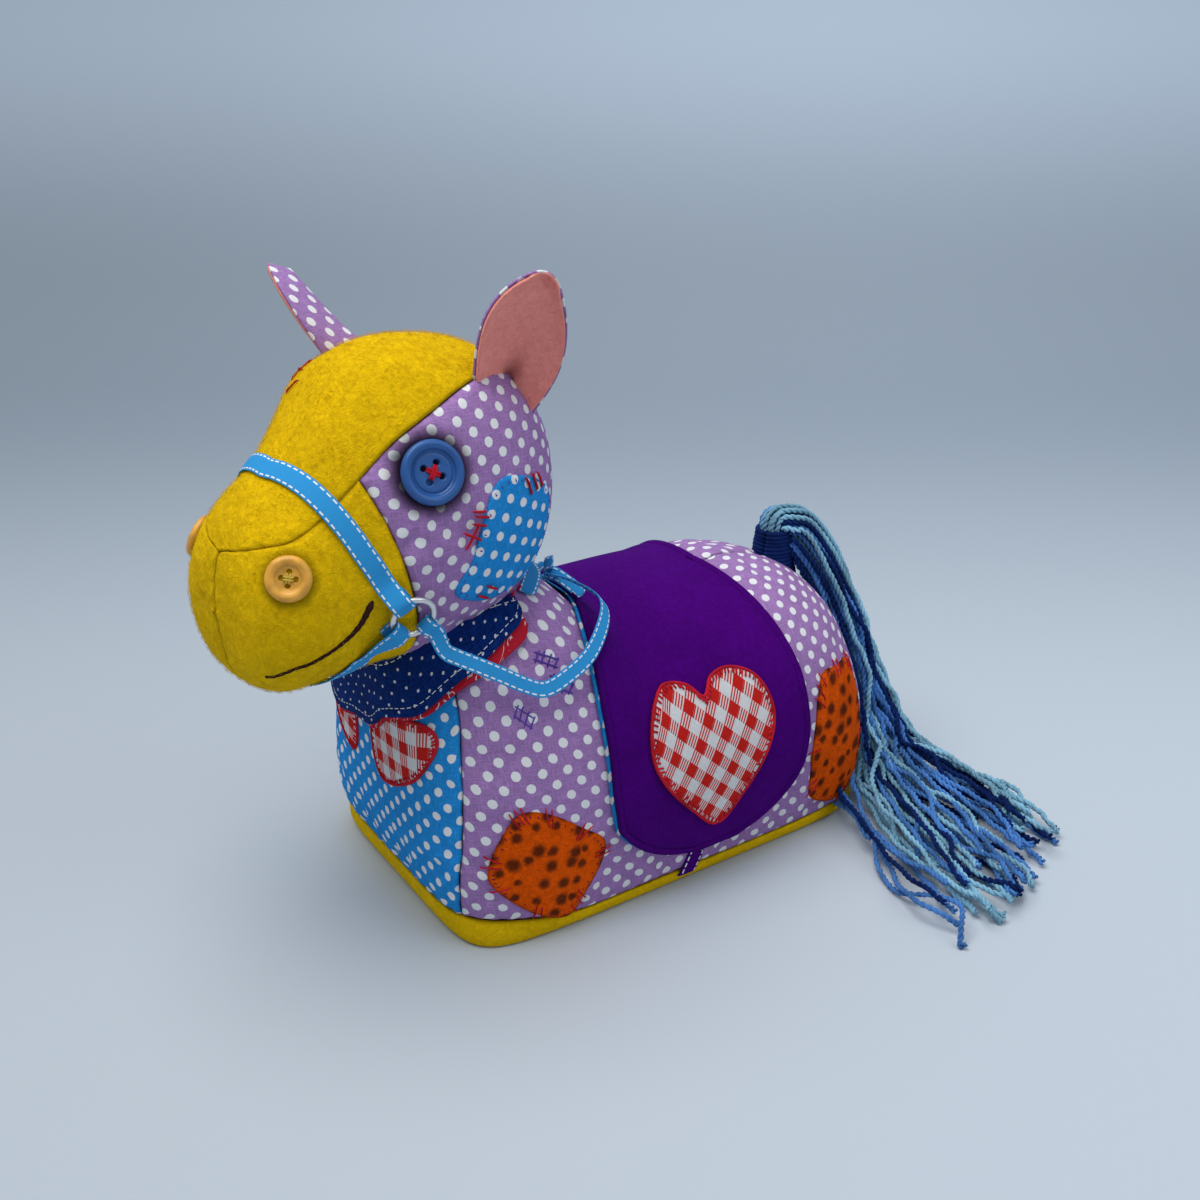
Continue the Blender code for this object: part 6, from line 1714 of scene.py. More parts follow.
@shared_group("Felt", ("Vector",), ("Height", "Tone"))
def wool(nodes, place):
    """Matted wool: long thin fibres in crossing directions over soft clumps."""
    bent = nodes.wobbled(place, 260.0, 2.0, 0.5, 0.006)
    layers = [nodes.noise(nodes.stretched(bent, *stretch), 1.0, 2.0, 0.55) for stretch in (
        (1900.0, 300.0, 620.0), (300.0, 1800.0, 520.0), (560.0, 420.0, 2000.0))]
    fibres = nodes.math("MAXIMUM", nodes.math("MAXIMUM", *layers[:2]), layers[2])
    clumps = nodes.noise(place, 420.0, 6.0, 0.75)
    patchy = nodes.noise(place, 60.0, 3.0, 0.5)
    shown = fibres * 0.5 + (clumps * 0.3 + patchy * 0.2)
    return [fibres * 0.75 + clumps * 0.6, nodes.ramp(shown, 0.42, 0.68)]


@shared_group("Checks", ("Vector", "Period"), ("Full", "Hatched", "Half"))
def checks(nodes, place, period):
    """Gingham: two sets of stripes, hatched where only one of them is."""
    x, y = nodes.parts(nodes.scaled(place, nodes.math("DIVIDE", 1.0, period)))[:2]
    rough = (nodes.noise(place, 1500.0) - 0.5) * 0.05
    bands = [nodes.ramp(abs(nodes.math("FRACT", value + rough) - 0.5), 0.262, 0.238)
             for value in (x, y)]
    hatches = (nodes.math("SINE", x * (math.tau * 8.0)) + 1.0) * 0.5
    both = bands[0] * bands[1]
    either = bands[0] + bands[1] - both * 2.0
    hatch = nodes.add("ShaderNodeMix", [(0, bands[0]), (2, hatches), (3, hatches)],
                      data_type="FLOAT")
    return [both, either * nodes.ramp(hatch, 0.35, 0.65), either]


@shared_group("Running stitch", ("Vector", "Depth", "Pitch", "Width"), ("Mask", "Groove"))
def dashes(nodes, edge, depth, pitch, width):
    """Running stitch: dashes along an edge map, at a depth from its edge."""
    along, inside = nodes.parts(edge)[:2]
    middle = abs(nodes.math("FRACT", nodes.math("DIVIDE", along, pitch)) - 0.5)
    off = abs(inside - depth)
    line = nodes.ramp(off, width * 0.62, width * 0.38)
    return [nodes.ramp(middle, 0.34, 0.29) * line, nodes.ramp(off, width * 1.7, 0.0)]


def seam_shade(nodes, reach=0.0009, low=0.76):
    """Painted shade in a seam's valley, from low at the edge to 1 a few millimetres in."""
    return nodes.ramp(nodes.parts(nodes.map("edge"))[1], 0.0, reach) * (1.0 - low) + low


def button_halo(nodes, place, radius, low, reach):
    """Soft dark shading round a button on both sides of the head, from low to 1."""
    shades = []
    for side in (-1.0, 1.0):
        where = head_place(place[0], side * place[1], 0.0)[0]
        gap = nodes.vector("LENGTH", nodes.vector("SUBTRACT", nodes.place(), tuple(where)))
        shades.append(nodes.ramp(gap, radius * 0.95, radius * reach))
    return shades[0] * shades[1] * (1.0 - low) + low


def tone(name, factor=1.0):
    """One of the scene's named colours made lighter or darker, with its alpha."""
    colour = getattr(bpy.context.scene.plush_horse, name)
    return (*(min(value * factor, 1.0) for value in colour), 1.0)


def dotted_cotton(name, ground, pitch, radius, degrees, seam=True, halo=None):
    """Printed cotton: a slubby ground, slightly raised white dots and, when seam is set, painted
    shade at its seams.
    """
    nodes = Finish(name)
    cloth = nodes.map("cloth")
    mask = dots(nodes, nodes.turned(cloth, degrees), pitch, radius)
    height, slubs = weave(nodes, cloth, 0.00033)
    cloudy = nodes.noise(nodes.place(), 45.0, 4.0)
    base = nodes.tones(nodes.ramp(slubs, 0.42, 0.68), ground, 0.80, 1.20)
    base = nodes.mix(nodes.ramp(cloudy, 0.3, 0.7), base, nodes.shade(base, 0.90))
    ink = nodes.tones(nodes.ramp(height, 0.2, 0.75), "white", 0.86, 1.0)
    colour = nodes.mix(mask, base, ink)
    # Painted shade where the cloth dips into its seams.
    if seam:
        colour = nodes.shade(colour, seam_shade(nodes))
    if halo:
        colour = nodes.shade(colour, button_halo(nodes, *halo, 0.04, 1.6))
    return nodes.surface(colour, 0.92 - mask * 0.2, height + mask * 0.35, 0.55, 0.00022)


def felt(name, ground, dark, seam=0.5, nap=0.0008, stitch=None, halo=None, crease_shade=False):
    """Wool felt with its fibres, its clumps and painted shade at its sewn edge.

    stitch is the depth, pitch and width of a running stitch and its colour.
    """
    nodes = Finish(name)
    height, fibres = wool(nodes, nodes.place())
    colour = nodes.tones(fibres, ground, dark, 1.18)
    # Painted shade at the sewn edge; seam is how dark it gets at the edge itself.
    if seam:
        colour = nodes.shade(colour, seam_shade(nodes, 0.0014, seam))
    if halo:
        colour = nodes.shade(colour, button_halo(nodes, *halo, 0.45, 1.5))
    # Painted shade in the fold at the root of an ear's lining.
    if crease_shade:
        across, over = nodes.parts(nodes.map("cloth"))[:2]
        fold = nodes.ramp(abs(across + 0.0015), 0.0072, 0.0) * nodes.ramp(over, 0.024, 0.008)
        colour = nodes.shade(colour, 1.0 - fold * 0.7)
    if stitch:
        mask, groove = dashes(nodes, nodes.map("edge"), *stitch[:3])
        # Painted shade in the groove beside the running stitch.
        colour = nodes.mix(mask, nodes.shade(colour, 1.0 - groove * 0.3), tone(*stitch[3:]))
    return nodes.surface(colour, 0.98 - fibres * 0.08, height, 1.0, nap, 0.06,
                         Sheen_Tint=tone(ground, 1.3))


def twill(name, ground):
    """Navy twill: diagonal ribs, pin dots and a white line of topstitch, with painted shade in its
    groove.
    """
    nodes = Finish(name)
    cloth = nodes.map("cloth")
    across = nodes.parts(nodes.turned(cloth, 38.0))[0]
    rib = nodes.math("SINE", across * (math.tau / 0.00052))
    mask = dots(nodes, nodes.turned(cloth, 12.0), 0.0062, 0.00048)
    slubs = weave(nodes, cloth, 0.0004)[1]
    stitch, groove = dashes(nodes, nodes.map("edge"), 0.0030, 0.0026, 0.00028)
    base = nodes.tones(nodes.ramp(slubs + rib * 0.10, 0.35, 0.8), ground, 0.40, 2.4)
    colour = nodes.mix(mask * 0.8, base, tone("white"))
    # Painted shade in the topstitch's groove, under the white thread.
    colour = nodes.mix(stitch, nodes.shade(colour, 1.0 - groove * 0.4), tone("white"))
    return nodes.surface(colour, slubs * 0.15 + 0.8, rib * 0.3 + slubs - groove * 0.8, 0.6,
                         0.0003)


def curled_print(name, ground):
    """Red cotton with thin curled white lines."""
    nodes = Finish(name)
    cloth = nodes.map("cloth")
    height, slubs = weave(nodes, cloth, 0.00035)
    swirl = nodes.noise(cloth, 150.0, 1.0, 0.4, 1.2)
    ring = abs(nodes.math("FRACT", swirl * 5.0) - 0.5)
    mask = nodes.ramp(ring, 0.10, 0.05) * nodes.ramp(nodes.noise(cloth, 260.0, 1.0), 0.46, 0.52)
    colour = nodes.mix(mask * 0.8, nodes.tones(slubs, ground, 0.7, 1.3), tone("white"))
    return nodes.surface(colour, slubs * 0.15 + 0.8, height, 0.5, 0.0002)


def gingham(name, red, half, period, degrees):
    """Woven checks with hatched half tones and painted shade at the sewn rim."""
    nodes = Finish(name)
    cloth = nodes.turned(nodes.map("cloth"), degrees)
    full, hatched, either = checks(nodes, cloth, period)
    height, slubs = weave(nodes, cloth, 0.00036)
    base = nodes.tones(nodes.ramp(slubs, 0.4, 0.7), "white", 0.84 * 0.86, 0.84)
    base = nodes.mix(either * 0.15, base, tone(half))
    base = nodes.mix(hatched, base, tone(red))
    colour = nodes.mix(full, base, nodes.tones(slubs, red, 0.75, 1.2))
    # Painted shade at the sewn rim of the patch.
    colour = nodes.shade(colour, seam_shade(nodes, 0.0012, 0.7))
    return nodes.surface(colour, slubs * 0.15 + 0.8, height, 0.6, 0.00025)


def leopard(name, ground, spot, degrees):
    """Orange felt with soft brown spots of uneven size and painted shade at the sewn rim."""
    nodes = Finish(name)
    height, fibres = wool(nodes, nodes.place())
    cloth = nodes.stretched(nodes.turned(nodes.map("cloth"), degrees), 1.0, 1.0, 0.0)
    moved = nodes.wobbled(cloth, 420.0, 2.0, 0.5, 0.0016)
    distance, mixed = nodes.add("ShaderNodeTexVoronoi", [
        ("Vector", moved), ("Scale", 150.0), ("Randomness", 0.7)], ("Distance", "Color"),
        voronoi_dimensions="2D")
    reach = nodes.parts(mixed)[0] * 0.20 + 0.20
    mask = nodes.ramp(distance, reach * 1.45, reach * 0.45)
    colour = nodes.mix(mask * 0.92, nodes.tones(fibres, ground, 0.72, 1.2),
                       nodes.tones(fibres, spot, 0.6, 1.5))
    # Painted shade at the sewn rim of the patch.
    colour = nodes.shade(colour, seam_shade(nodes, 0.0014, 0.6))
    return nodes.surface(colour, 0.98 - fibres * 0.08, height, 0.8, 0.0005)


def grosgrain(name, ground):
    """Ribbon with cross ribs and a white running stitch along each edge."""
    nodes = Finish(name)
    cloth = nodes.map("cloth")
    ribs = nodes.math("SINE", nodes.parts(cloth)[0] * (math.tau / 0.00048))
    slubs = nodes.noise(nodes.stretched(cloth, 2400.0, 300.0, 0.0), 1.0)
    mask = dashes(nodes, nodes.map("edge"), 0.00072, 0.0025, 0.00046)[0]
    base = nodes.tones(nodes.ramp(ribs, -0.9, 0.9), ground, 0.80, 1.14)
    base = nodes.mix(slubs, nodes.shade(base, 0.9), base)
    return nodes.surface(nodes.mix(mask, base, tone("white")), slubs * 0.2 + 0.55,
                         ribs * 0.4 + mask * 0.9, 0.5, 0.0002)


def plastic(name, ground, rough, cloud, glow=0.0):
    """Moulded button plastic, faintly clouded and scuffed."""
    nodes = Finish(name)
    clouds = nodes.noise(nodes.place(), 260.0, 3.0)
    scuffs = nodes.noise(nodes.place(), 2200.0, 4.0)
    colour = nodes.tones(nodes.ramp(clouds, 0.35, 0.65), ground, 1.0 - cloud, 1.0 + cloud)
    return nodes.surface(colour, scuffs * 0.12 + rough, scuffs, 0.12, 0.0001,
                         Specular_IOR_Level=0.5, Subsurface_Weight=glow,
                         Subsurface_Radius=(1.0, 0.6, 0.2), Subsurface_Scale=0.0015)


def wire(name, ground):
    """Plated wire, lightly brushed."""
    nodes = Finish(name)
    scratch = nodes.noise(nodes.stretched(nodes.place(), 300.0, 300.0, 3000.0), 1.0, 4.0)
    return nodes.surface(nodes.tones(scratch, ground, 0.75, 1.1), scratch * 0.2 + 0.22, scratch,
                         0.15, 0.0001, Metallic=1.0)


def yarn(name, ground, scale=1.0, bright=1.0):
    """Spun thread: fine fibres along it and uneven dye."""
    nodes = Finish(name)
    place = nodes.place()
    fibres = nodes.noise(nodes.stretched(place, 5200.0 * scale, 5200.0 * scale,
                                         1500.0 * scale), 1.0, 3.0)
    dye = nodes.ramp(nodes.noise(place, 70.0, 3.0), 0.3, 0.7)
    base = nodes.tones(dye, ground, 0.72 * bright, 1.3 * bright)
    colour = nodes.mix(nodes.ramp(fibres, 0.3, 0.7), nodes.shade(base, 0.7), base)
    return nodes.surface(colour, 0.9 - fibres * 0.15, fibres, 0.5, 0.0002)


def wadding(name, ground):
    """White polyester stuffing: curled fibres in soft lumps."""
    nodes = Finish(name)
    curls = nodes.noise(nodes.place(), 700.0, 6.0, 0.7, 2.0)
    lumps = nodes.noise(nodes.place(), 90.0, 3.0)
    return nodes.surface(nodes.tones(curls, ground, 0.82, 1.0), 0.98 - curls * 0.05,
                         curls + lumps * 1.5, 0.9, 0.0012, 0.4)


MAKERS = {
    "yellow": lambda: felt("yellow felt", "yellow", dark=0.84, seam=0.70,
                           halo=(NOSTRIL_PLACE, NOSTRIL_RADIUS)),
    "lilac": lambda: dotted_cotton("lilac dotted cotton", "lilac", pitch=0.0086,
                                   radius=0.00155, degrees=4.0),
    "cheek": lambda: dotted_cotton("lilac cheek cotton", "lilac", pitch=0.0084,
                                   radius=0.00150, degrees=6.0, halo=(EYE_PLACE, EYE_RADIUS)),
    "ear": lambda: dotted_cotton("lilac ear cotton", "lilac", pitch=0.0086, radius=0.00155,
                                 degrees=10.0, seam=False),
    "blue": lambda: dotted_cotton("blue dotted cotton", "blue", pitch=0.0086, radius=0.00150,
                                  degrees=0.0),
    "patch": lambda: dotted_cotton("blue patch cotton", "blue", pitch=0.0082, radius=0.00140,
                                   degrees=20.0, seam=False),
    "ear_felt": lambda: felt("pink ear felt", "pink", dark=0.90, seam=0.0, crease_shade=True),
    "girth": lambda: felt("purple girth felt", "purple", dark=0.78, seam=0.0, nap=0.0004,
                          stitch=(0.0009, 0.0026, 0.00055, "white")),
    "purple": lambda: felt("purple felt", "purple", dark=0.78, seam=0.75, nap=0.0004,
                           stitch=(SADDLE_STITCH, 0.0021, 0.0006, "purple", 0.8)),
    "fuzz": lambda: yarn("yellow wool", "yellow", bright=1.08),
    "navy": lambda: twill("navy twill", "navy"),
    "red": lambda: curled_print("red curled print", "red"),
    "gingham": lambda: gingham("red gingham", "check", "half_check", period=0.0078,
                               degrees=40.0),
    "chest_gingham": lambda: gingham("chest gingham", "check", "half_check", period=0.0086,
                                     degrees=-6.0),
    "leopard": lambda: leopard("leopard felt", "orange", "brown", degrees=20.0),
    "ribbon": lambda: grosgrain("sky grosgrain", "ribbon"),
    "eye": lambda: plastic("blue button", "eye", rough=0.32, cloud=0.06),
    "nostril": lambda: plastic("amber button", "amber", rough=0.3, cloud=0.12, glow=0.35),
    "silver": lambda: wire("plated wire", "silver"),
    "yarn_light": lambda: yarn("light blue yarn", "yarn_light"),
    "yarn_middle": lambda: yarn("blue yarn", "yarn_middle"),
    "yarn_dark": lambda: yarn("navy yarn", "yarn_dark"),
    "thread": lambda: yarn("navy binding thread", "yarn_dark", 1.5),
    "wadding": lambda: wadding("white stuffing fibre", "white"),
    **{word + "_thread": lambda word=word: yarn(word + " thread", word + "_thread", 1.8)
       for word in ("red", "plum", "violet", "brown", "yellow")},
}
MADE = {}


def finish_for(word):
    """A finish by its short name, made the first time."""
    if word not in MADE:
        MADE[word] = MAKERS[word]()
    return MADE[word]


def colour_setting(name, description, default):
    """A colour that can be changed in the sidebar."""
    return FloatVectorProperty(name=name, description=description, default=default, size=3,
                               min=0.0, max=1.0, subtype="COLOR")


def length_setting(name, description, default):
    """A length that can be changed in the sidebar."""
    return FloatProperty(name=name, description=description, default=default, min=0.0,
                         max=0.02, unit="LENGTH", precision=5)


class PlushHorseSettings(bpy.types.PropertyGroup):
    """Sizes and colours of the plush horse's finish"""

    seam_depth: length_setting("Seam depth", "How far a panel is drawn in at its seams", 0.0005)
    pucker: length_setting("Pucker", "Height of the small folds along a seam", 0.00016)
    ribbon_width: length_setting("Ribbon width", "Width of the halter's ribbon", 0.0065)
    yarn_radius: length_setting("Yarn radius", "Radius of one ply of the tail's yarn", 0.00062)
    swell: length_setting("Swell", "Most that simulated cloth may stand out", 0.00030)
    dip: length_setting("Dip", "Most that simulated cloth may sink in", 0.0007)
    strands: IntProperty(name="Strands", description="Number of yarns in the tail",
                         default=60, min=6, max=120)
    yellow: colour_setting("Yellow", "Felt of the forehead, muzzle and base",
                           (0.815, 0.505, 0.003))
    lilac: colour_setting("Lilac", "Ground of the side and cheek cotton",
                          (0.370, 0.205, 0.470))
    blue: colour_setting("Blue", "Ground of the chest cotton", (0.020, 0.275, 0.700))
    white: colour_setting("White", "Dots, topstitch and stuffing", (0.860, 0.860, 0.870))
    pink: colour_setting("Pink", "Felt of the ear linings", (0.980, 0.315, 0.265))
    purple: colour_setting("Purple", "Felt of the saddle and girth", (0.062, 0.000, 0.165))
    navy: colour_setting("Navy", "Ground of the bandana", (0.0025, 0.020, 0.130))
    red: colour_setting("Red", "Bandana lining", (0.480, 0.014, 0.030))
    check: colour_setting("Check", "Full squares of the gingham", (0.540, 0.016, 0.012))
    half_check: colour_setting("Half check", "Half-tone squares of the gingham",
                               (0.780, 0.420, 0.380))
    orange: colour_setting("Orange", "Ground of the leopard felt", (0.760, 0.090, 0.001))
    brown: colour_setting("Brown", "Spots of the leopard felt", (0.075, 0.014, 0.004))
    ribbon: colour_setting("Ribbon", "Halter ribbon", (0.036, 0.330, 0.720))
    eye: colour_setting("Eye", "Blue eye buttons", (0.014, 0.090, 0.310))
    amber: colour_setting("Amber", "Nostril buttons", (0.720, 0.360, 0.045))
    silver: colour_setting("Silver", "Halter rings", (0.780, 0.780, 0.790))
    yarn_light: colour_setting("Light yarn", "Lightest strands of the tail",
                               (0.250, 0.500, 0.660))
    yarn_middle: colour_setting("Blue yarn", "Middle strands of the tail",
                                (0.080, 0.230, 0.580))
    yarn_dark: colour_setting("Navy yarn", "Darkest strands and the stub's thread",
                              (0.006, 0.022, 0.120))
    red_thread: colour_setting("Red thread", "Hand stitches", (0.560, 0.016, 0.030))
    violet_thread: colour_setting("Violet thread", "Darning", (0.130, 0.070, 0.440))
    plum_thread: colour_setting("Plum thread", "Blanket stitches on the leopard felt",
                                (0.160, 0.010, 0.050))
    brown_thread: colour_setting("Brown thread", "Mouth", (0.040, 0.014, 0.012))
    yellow_thread: colour_setting("Yellow thread", "Nostril stitches",
                                  (0.760, 0.520, 0.080))
    floor: colour_setting("Floor", "Pale paper under the toy", (0.560, 0.620, 0.680))
    backdrop: colour_setting("Backdrop", "Paper behind the toy", (0.370, 0.430, 0.500))


def rim_points(surface, outline, around, shares):
    """Points of an outline on a surface, drawn in or out from its rim by shares."""
    centre, half, corners = outline
    u, v = closed_outline(corners, around).T
    return surface(centre[0] + u * shares * half[0], centre[1] + v * shares * half[1])


def sew_rim(name, low, high, outline, count, reach, seed, look, middle, around=None):
    """Hand stitches over the rim of a patch: from the cloth outside it to a place inside."""
    inner, outer = reach
    height, radius, finish = look
    rest = np.random.default_rng(seed)
    if around is None:
        around = (np.arange(count) + 0.5 + rest.uniform(-0.12, 0.12, count)) / count
    else:
        around = np.asarray(around, float)
    skew = rest.uniform(-0.12, 0.12, len(around)) / max(count, 1)
    edge = rim_points(high, outline, around, 1.0)
    size = np.linalg.norm(rim_points(high, outline, around, 0.9) - edge, axis=-1) / 0.1
    starts = rim_points(low, outline, around, 1.0 + outer / size)
    ends = rim_points(high, outline, (around + skew) % 1.0,
                      1.0 - inner * rest.uniform(0.85, 1.15, len(around)) / size)
    add_threads(name, stitches(starts, ends, starts - np.array(middle), height), radius, finish)


def add_threads(name, paths, radius, finish, sides=6):
    """Short threads as one piece of many tubes; each path has its own points."""
    add_piece(name, tubes(name, paths, radius, sides), finish)


def surface_stitches(surface, pairs, height, away):
    """Arched stitches between pairs of surface places."""
    pairs = np.asarray(pairs, float)
    starts = surface(pairs[:, 0], pairs[:, 1])
    ends = surface(pairs[:, 2], pairs[:, 3])
    return stitches(starts, ends, (starts + ends) / 2.0 - np.asarray(away), height)


class Plush_OT_stitches(bpy.types.Operator):
    """Hand stitches, darning, mouth and button threads"""

    bl_idname = "plush.stitches"
    bl_label = "Stitches"

    def execute(self, context):
        self.hearts_and_chest()
        self.leopard_and_cheek()
        self.darning()
        self.mouth()
        self.button_threads()
        return {"FINISHED"}

    def hearts_and_chest(self):
        """Blanket stitches round the gingham patches, with a thread along each rim."""
        lift = SADDLE_LIFT + SADDLE_THICKNESS + PATCH_LIFT + PATCH_THICKNESS + 0.0005
        fine = np.linspace(0.0, 1.0, 321)
        for word, side in SIDES:
            for kind, outline, base, forward, top, count, inner in (
                    ("heart", HEART, body_side(side), False, lift, HEART_STITCHES, 0.0026),
                    ("chest_patch", CHEST_PATCHES[word], body_front(side), True,
                     PATCH_LIFT + PATCH_THICKNESS, CHEST_STITCHES, 0.0021)):
                high = lifted_part(base, top + 0.0001, forward)
                low = lifted_part(base, top - PATCH_THICKNESS - 0.0002, forward)
                name = kind + "_" + word
                sew_rim(name + "_stitches", low, high, outline, count, (inner, 0.0005), 5,
                        (0.00035, 0.00038, "red_thread"), BODY_MIDDLE)
                rim = rim_points(lifted_part(base, top - 0.0003, forward), outline, fine, 1.0)
                add_threads(name + "_rim", rim[None], 0.00060, "red_thread")

    def leopard_and_cheek(self):
        """Uneven red stitches over the leopard patches and the cheek patch."""
        base = body_side(-1.0)
        low, high = lifted_part(base, 0.0002), lifted_part(base, PATCH_LIFT + PATCH_THICKNESS)
        for word, outline, tufts in (("flank", FLANK_PATCH, LEOPARD_TUFTS),
                                     ("rump", RUMP_PATCH, RUMP_TUFTS)):
            sew_rim(word + "_patch_stitches", low, high, outline, BLANKET_STITCHES,
                    (0.0022, 0.0004), 8, (0.0003, 0.00020, "plum_thread"), BODY_MIDDLE)
            sew_rim(word + "_patch_tufts", low, high, outline, 12, (0.0042, 0.0030), 9,
                    (0.0007, 0.00027, "red_thread"), BODY_MIDDLE, tufts)
        low, high = lifted_head(0.0002), lifted_head(PATCH_LIFT + PATCH_THICKNESS + 0.0003)
        sew_rim("cheek_patch_stitches", low, high, CHEEK_PATCH, 34, (0.0020, 0.0004), 6,
                (0.0003, 0.00019, "violet_thread"), HEAD_MIDDLE_POINT)
        paths = surface_stitches(high, CHEEK_BARS, 0.0006, HEAD_MIDDLE_POINT)
        add_threads("cheek_patch_bars", paths, 0.00040, "red_thread")
        paths = surface_stitches(lifted_head(0.0006), TEMPLE_CROSSES, 0.0006,
                                 HEAD_MIDDLE_POINT)
        add_threads("temple_stitches", paths, 0.00032, "red_thread")

    def darning(self):
        """Crossed stitches on the shoulder, in three small clusters."""
        form = lifted_body(0.0005)
        pairs = []
        for turn, rise, wide, tall in DARNS:
            lean = math.radians(DARN_LEAN)
            for ends in DARN_BARS:
                pairs.append(sum(((turn + wide * (a * math.cos(lean) - b * math.sin(lean)),
                                   rise + tall * (a * math.sin(lean) + b * math.cos(lean)))
                                  for a, b in ends), ()))
        paths = surface_stitches(form, pairs, 0.0005, BODY_MIDDLE)
        add_threads("shoulder_darning", paths, 0.00027, "violet_thread")

    def mouth(self):
        """An embroidered line from the cheek to the chin on each side."""
        sections, angles = zip(*MOUTH)
        form = lifted_head(0.0006)
        share = np.linspace(0.0, 1.0, 121)
        places = np.linspace(0.0, 1.0, len(MOUTH))
        section = smooth_table(places, sections, share)
        angle = smooth_table(places, angles, share)
        bites = 1.0 + 0.08 * np.cos(share * math.tau * 17.0)
        radius = 0.00105 * (0.30 + 0.70 * np.exp(-share * 1.5)) * bites
        radius = radius * smooth_step(0.0, 0.06, share + 0.02)
        paths = np.stack([form(section, side * angle) for side in (-1.0, 1.0)])
        add_threads("mouth_line", paths, np.stack([radius, radius]), "brown_thread", 8)

    def button_threads(self):
        """Crossed threads through the holes of each button."""
        for kind, place, spread, level, finish, radius in (
                ("eye", EYE_PLACE, 0.0017, 0.00205, "red_thread", 0.00042),
                ("nostril", NOSTRIL_PLACE, 0.0011, 0.00135, "yellow_thread", 0.00034)):
            paths = []
            for side in (-1.0, 1.0):
                where, axes = head_place(place[0], side * place[1], 0.0)
                for turn in (1.0, -1.0):
                    for strand in (-0.00028, 0.00028):
                        share = np.linspace(-1.0, 1.0, 13)
                        flat = np.stack([share * spread + strand,
                                         share * spread * turn - strand * turn,
                                         level - 0.0009 * np.abs(share) ** 6], -1)
                        paths.append(flat @ axes + where)
            add_threads(kind + "_button_threads", np.array(paths), radius, finish)


class Plush_OT_stuffing(bpy.types.Operator):
    """White fibre filling inside the body and the head"""

    bl_idname = "plush.stuffing"
    bl_label = "Stuffing"

    def execute(self, context):
        u, v = share_grid(120, 90)
        body = lifted_body(BODY_STUFFING_LIFT)((u - 0.5) * 360.0, v * 2.0 - 1.0)
        head = lifted_head(HEAD_STUFFING_LIFT)(v * LAST_SECTION, (u - 0.5) * 360.0)
        low = np.clip((0.014 - body[..., 2]) / 0.014, 0.0, 1.0)
        body[..., :2] *= (1.0 - 0.05 * low)[..., None]
        body[..., 2] = np.maximum(body[..., 2], BODY_STUFFING_BOTTOM)
        rise = (HEAD_PIVOT[2] + 0.004 - head[..., 2]) / 0.008
        head[..., 2] = np.where(rise > 0.0, np.maximum(head[..., 2], HEAD_STUFFING_BOTTOM),
                                head[..., 2])
        for word, points, away in (("body", body, BODY_MIDDLE), ("head", head,
                                                                HEAD_MIDDLE_POINT)):
            lumps = (np.sin(points[..., 0] * 410.0 + 2.0 * np.sin(points[..., 1] * 300.0))
                     * np.sin(points[..., 2] * 390.0 + 1.3))
            points = points - grid_normal(points, away) * (0.0005 + 0.0005 * lumps)[..., None]
            piece = closed_piece(word + "_stuffing_fibre", (points,), "wadding",
                                 (word + "_stuffing",))
        return {"FINISHED"}


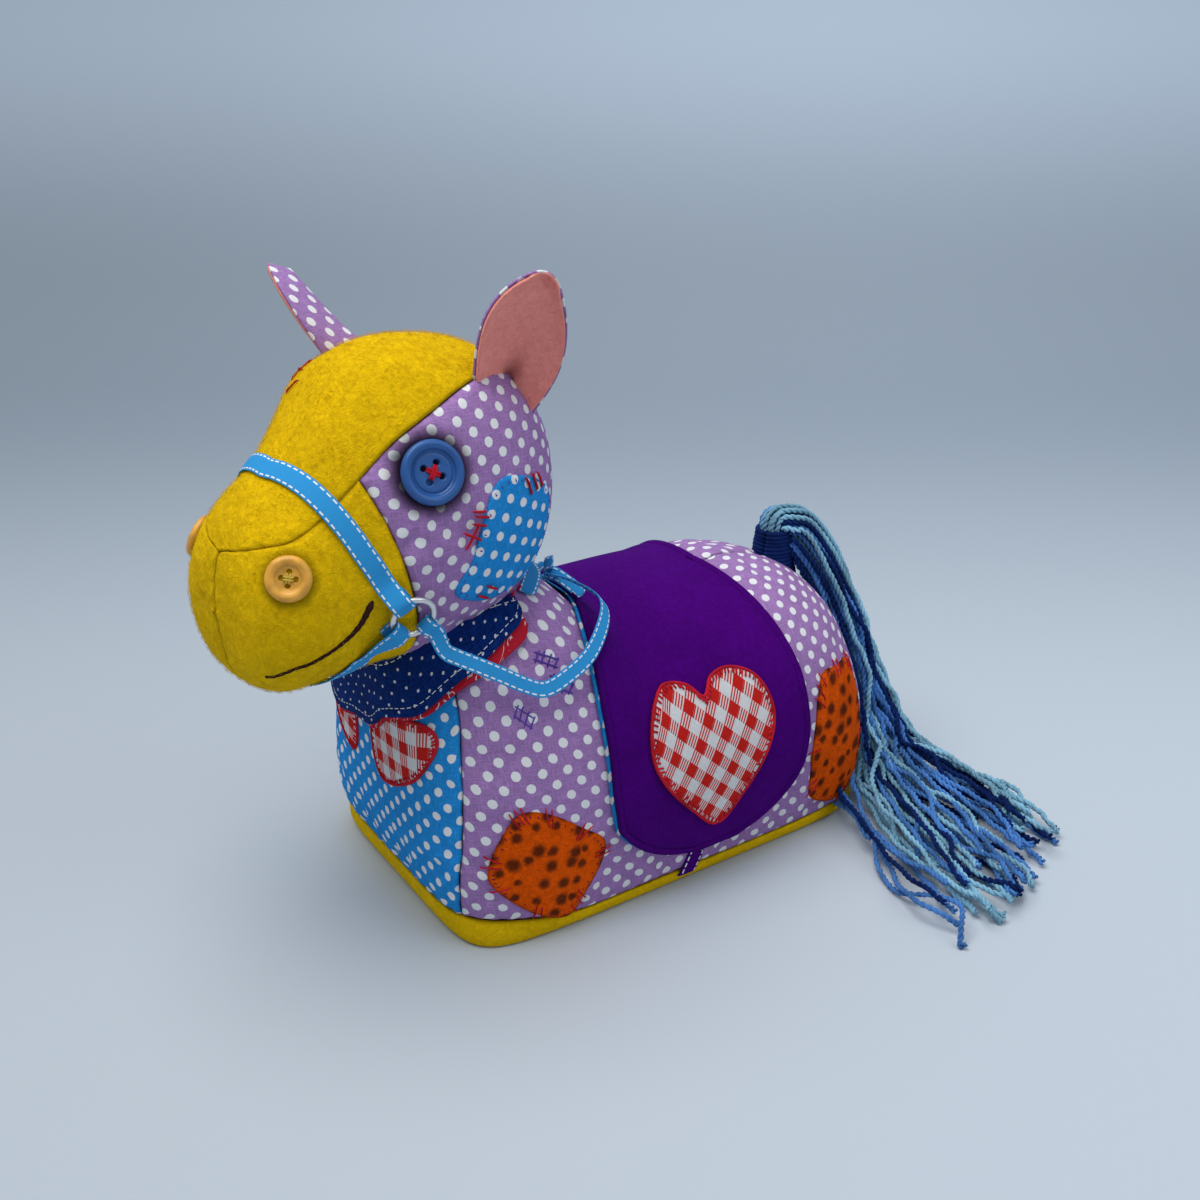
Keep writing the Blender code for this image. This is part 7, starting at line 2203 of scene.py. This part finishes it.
class Plush_OT_stage(bpy.types.Operator):
    """Camera, soft lights and a pale paper sweep"""

    bl_idname = "plush.stage"
    bl_label = "Stage"

    def execute(self, context):
        scene = context.scene
        turn, rise = math.radians(CAMERA_TURN), math.radians(CAMERA_RISE)
        back = np.array([math.sin(turn) * math.cos(rise), -math.cos(turn) * math.cos(rise),
                         math.sin(rise)])
        right = np.array([math.cos(turn), math.sin(turn), 0.0])
        up = np.cross(back, right)
        eye = back * CAMERA_DISTANCE + right * CAMERA_SHIFT[0] + up * CAMERA_SHIFT[1]
        data = bpy.data.cameras.new("camera")
        data.lens = CAMERA_LENS
        data.sensor_width = 36.0
        data.clip_start = 0.01
        camera = bpy.data.objects.new("camera", data)
        scene.collection.objects.link(camera)
        camera.matrix_world = Matrix((*zip(right, up, back, eye), (0.0, 0.0, 0.0, 1.0)))
        scene.camera = camera
        scene.view_settings.view_transform = "Standard"
        for word, place, size, power, colour in LIGHTS:
            lamp = bpy.data.lights.new(word, "AREA")
            lamp.shape = "DISK"
            lamp.size = size
            lamp.energy = power
            lamp.color = colour
            lamp_object = bpy.data.objects.new(word, lamp)
            scene.collection.objects.link(lamp_object)
            aim = Vector(LIGHT_AIM) - Vector(place)
            lamp_object.location = place
            lamp_object.rotation_euler = aim.to_track_quat("-Z", "Y").to_euler()
        self.add_sweep(right, back)
        world = bpy.data.worlds.new("soft room")
        world.use_nodes = True
        world.node_tree.nodes["Background"].inputs["Color"].default_value = ROOM_COLOUR
        world.node_tree.nodes["Background"].inputs["Strength"].default_value = ROOM_LIGHT
        scene.world = world
        return {"FINISHED"}

    def add_sweep(self, right, back):
        """A flat sheet that turns up behind the toy in a quarter circle, with painted light over
        it.
        """
        away = np.array([-back[0], -back[1], 0.0])
        away = unit(away)
        radius, flat = 0.5, 0.55
        bend = np.linspace(0.0, math.pi / 2.0, 25)
        far = np.concatenate([[-1.6, -0.4, 0.0, flat], flat + radius * np.sin(bend[1:]),
                              [flat + radius]])
        high = np.concatenate([np.zeros(4), radius * (1.0 - np.cos(bend[1:])), [2.6]])
        side = np.linspace(-2.4, 2.4, 9)
        points = (right[None, None] * side[:, None, None] + away[None, None]
                  * far[None, :, None] + np.array(UP) * high[None, :, None])
        points[..., 2] -= 0.0002
        nodes = Finish("pale paper")
        place = nodes.place()
        reach = nodes.vector("DOT_PRODUCT", place, tuple(away))
        across = nodes.vector("DOT_PRODUCT", place, tuple(right))
        rise = nodes.parts(place)[2]
        colour = nodes.mix(nodes.ramp(rise + reach * 0.35, 0.0, 0.17), tone("floor"),
                           tone("backdrop"))
        # Painted light: the paper is darker to the left and lighter to the right, as if lit from
        # the right, and lighter higher up the backdrop.
        for share, low, high in ((nodes.ramp(across, -0.45, 0.35), 0.85, 1.08),
                                 (nodes.ramp(rise, 0.03, 0.24), 0.90, 1.42)):
            colour = nodes.mix(share, nodes.shade(colour, low), nodes.shade(colour, high))
        grain = nodes.noise(place, 900.0, 2.0)
        paper = nodes.surface(colour, grain * 0.1 + 0.8, grain, 0.05, 0.0002)
        sweep = add_object("paper_sweep", grid_mesh("paper_sweep", points), paper)


class PLUSH_PT_panel(bpy.types.Panel):
    """Buttons and settings for the plush horse"""

    bl_label = "Plush horse"
    bl_idname = "PLUSH_PT_panel"
    bl_space_type = "VIEW_3D"
    bl_region_type = "UI"
    bl_category = "Plush horse"

    def draw(self, context):
        settings = context.scene.plush_horse
        for name in PlushHorseSettings.__annotations__:
            self.layout.prop(settings, name)
        for kind in OPERATORS:
            self.layout.operator(kind.bl_idname)


OPERATORS = (Plush_OT_body, Plush_OT_head, Plush_OT_stage, Plush_OT_halter, Plush_OT_tail,
             Plush_OT_base, Plush_OT_ears, Plush_OT_bandana, Plush_OT_saddle,
             Plush_OT_patches, Plush_OT_buttons, Plush_OT_stitches, Plush_OT_stuffing)
CLASSES = (PlushHorseSettings, *OPERATORS, PLUSH_PT_panel)


def register():
    """Add the settings, the operators and the sidebar panel."""
    for kind in CLASSES:
        bpy.utils.register_class(kind)
    bpy.types.Scene.plush_horse = PointerProperty(type=PlushHorseSettings)


def unregister():
    """Remove what register added."""
    del bpy.types.Scene.plush_horse
    for kind in reversed(CLASSES):
        bpy.utils.unregister_class(kind)


def main():
    """Register, then build the stage and every piece in order."""
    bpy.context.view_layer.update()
    register()
    for kind in OPERATORS:
        group, name = kind.bl_idname.split(".")
        if getattr(getattr(bpy.ops, group), name)() != {"FINISHED"}:
            raise RuntimeError(kind.bl_label + " was not made")


if __name__ == "__main__":
    main()
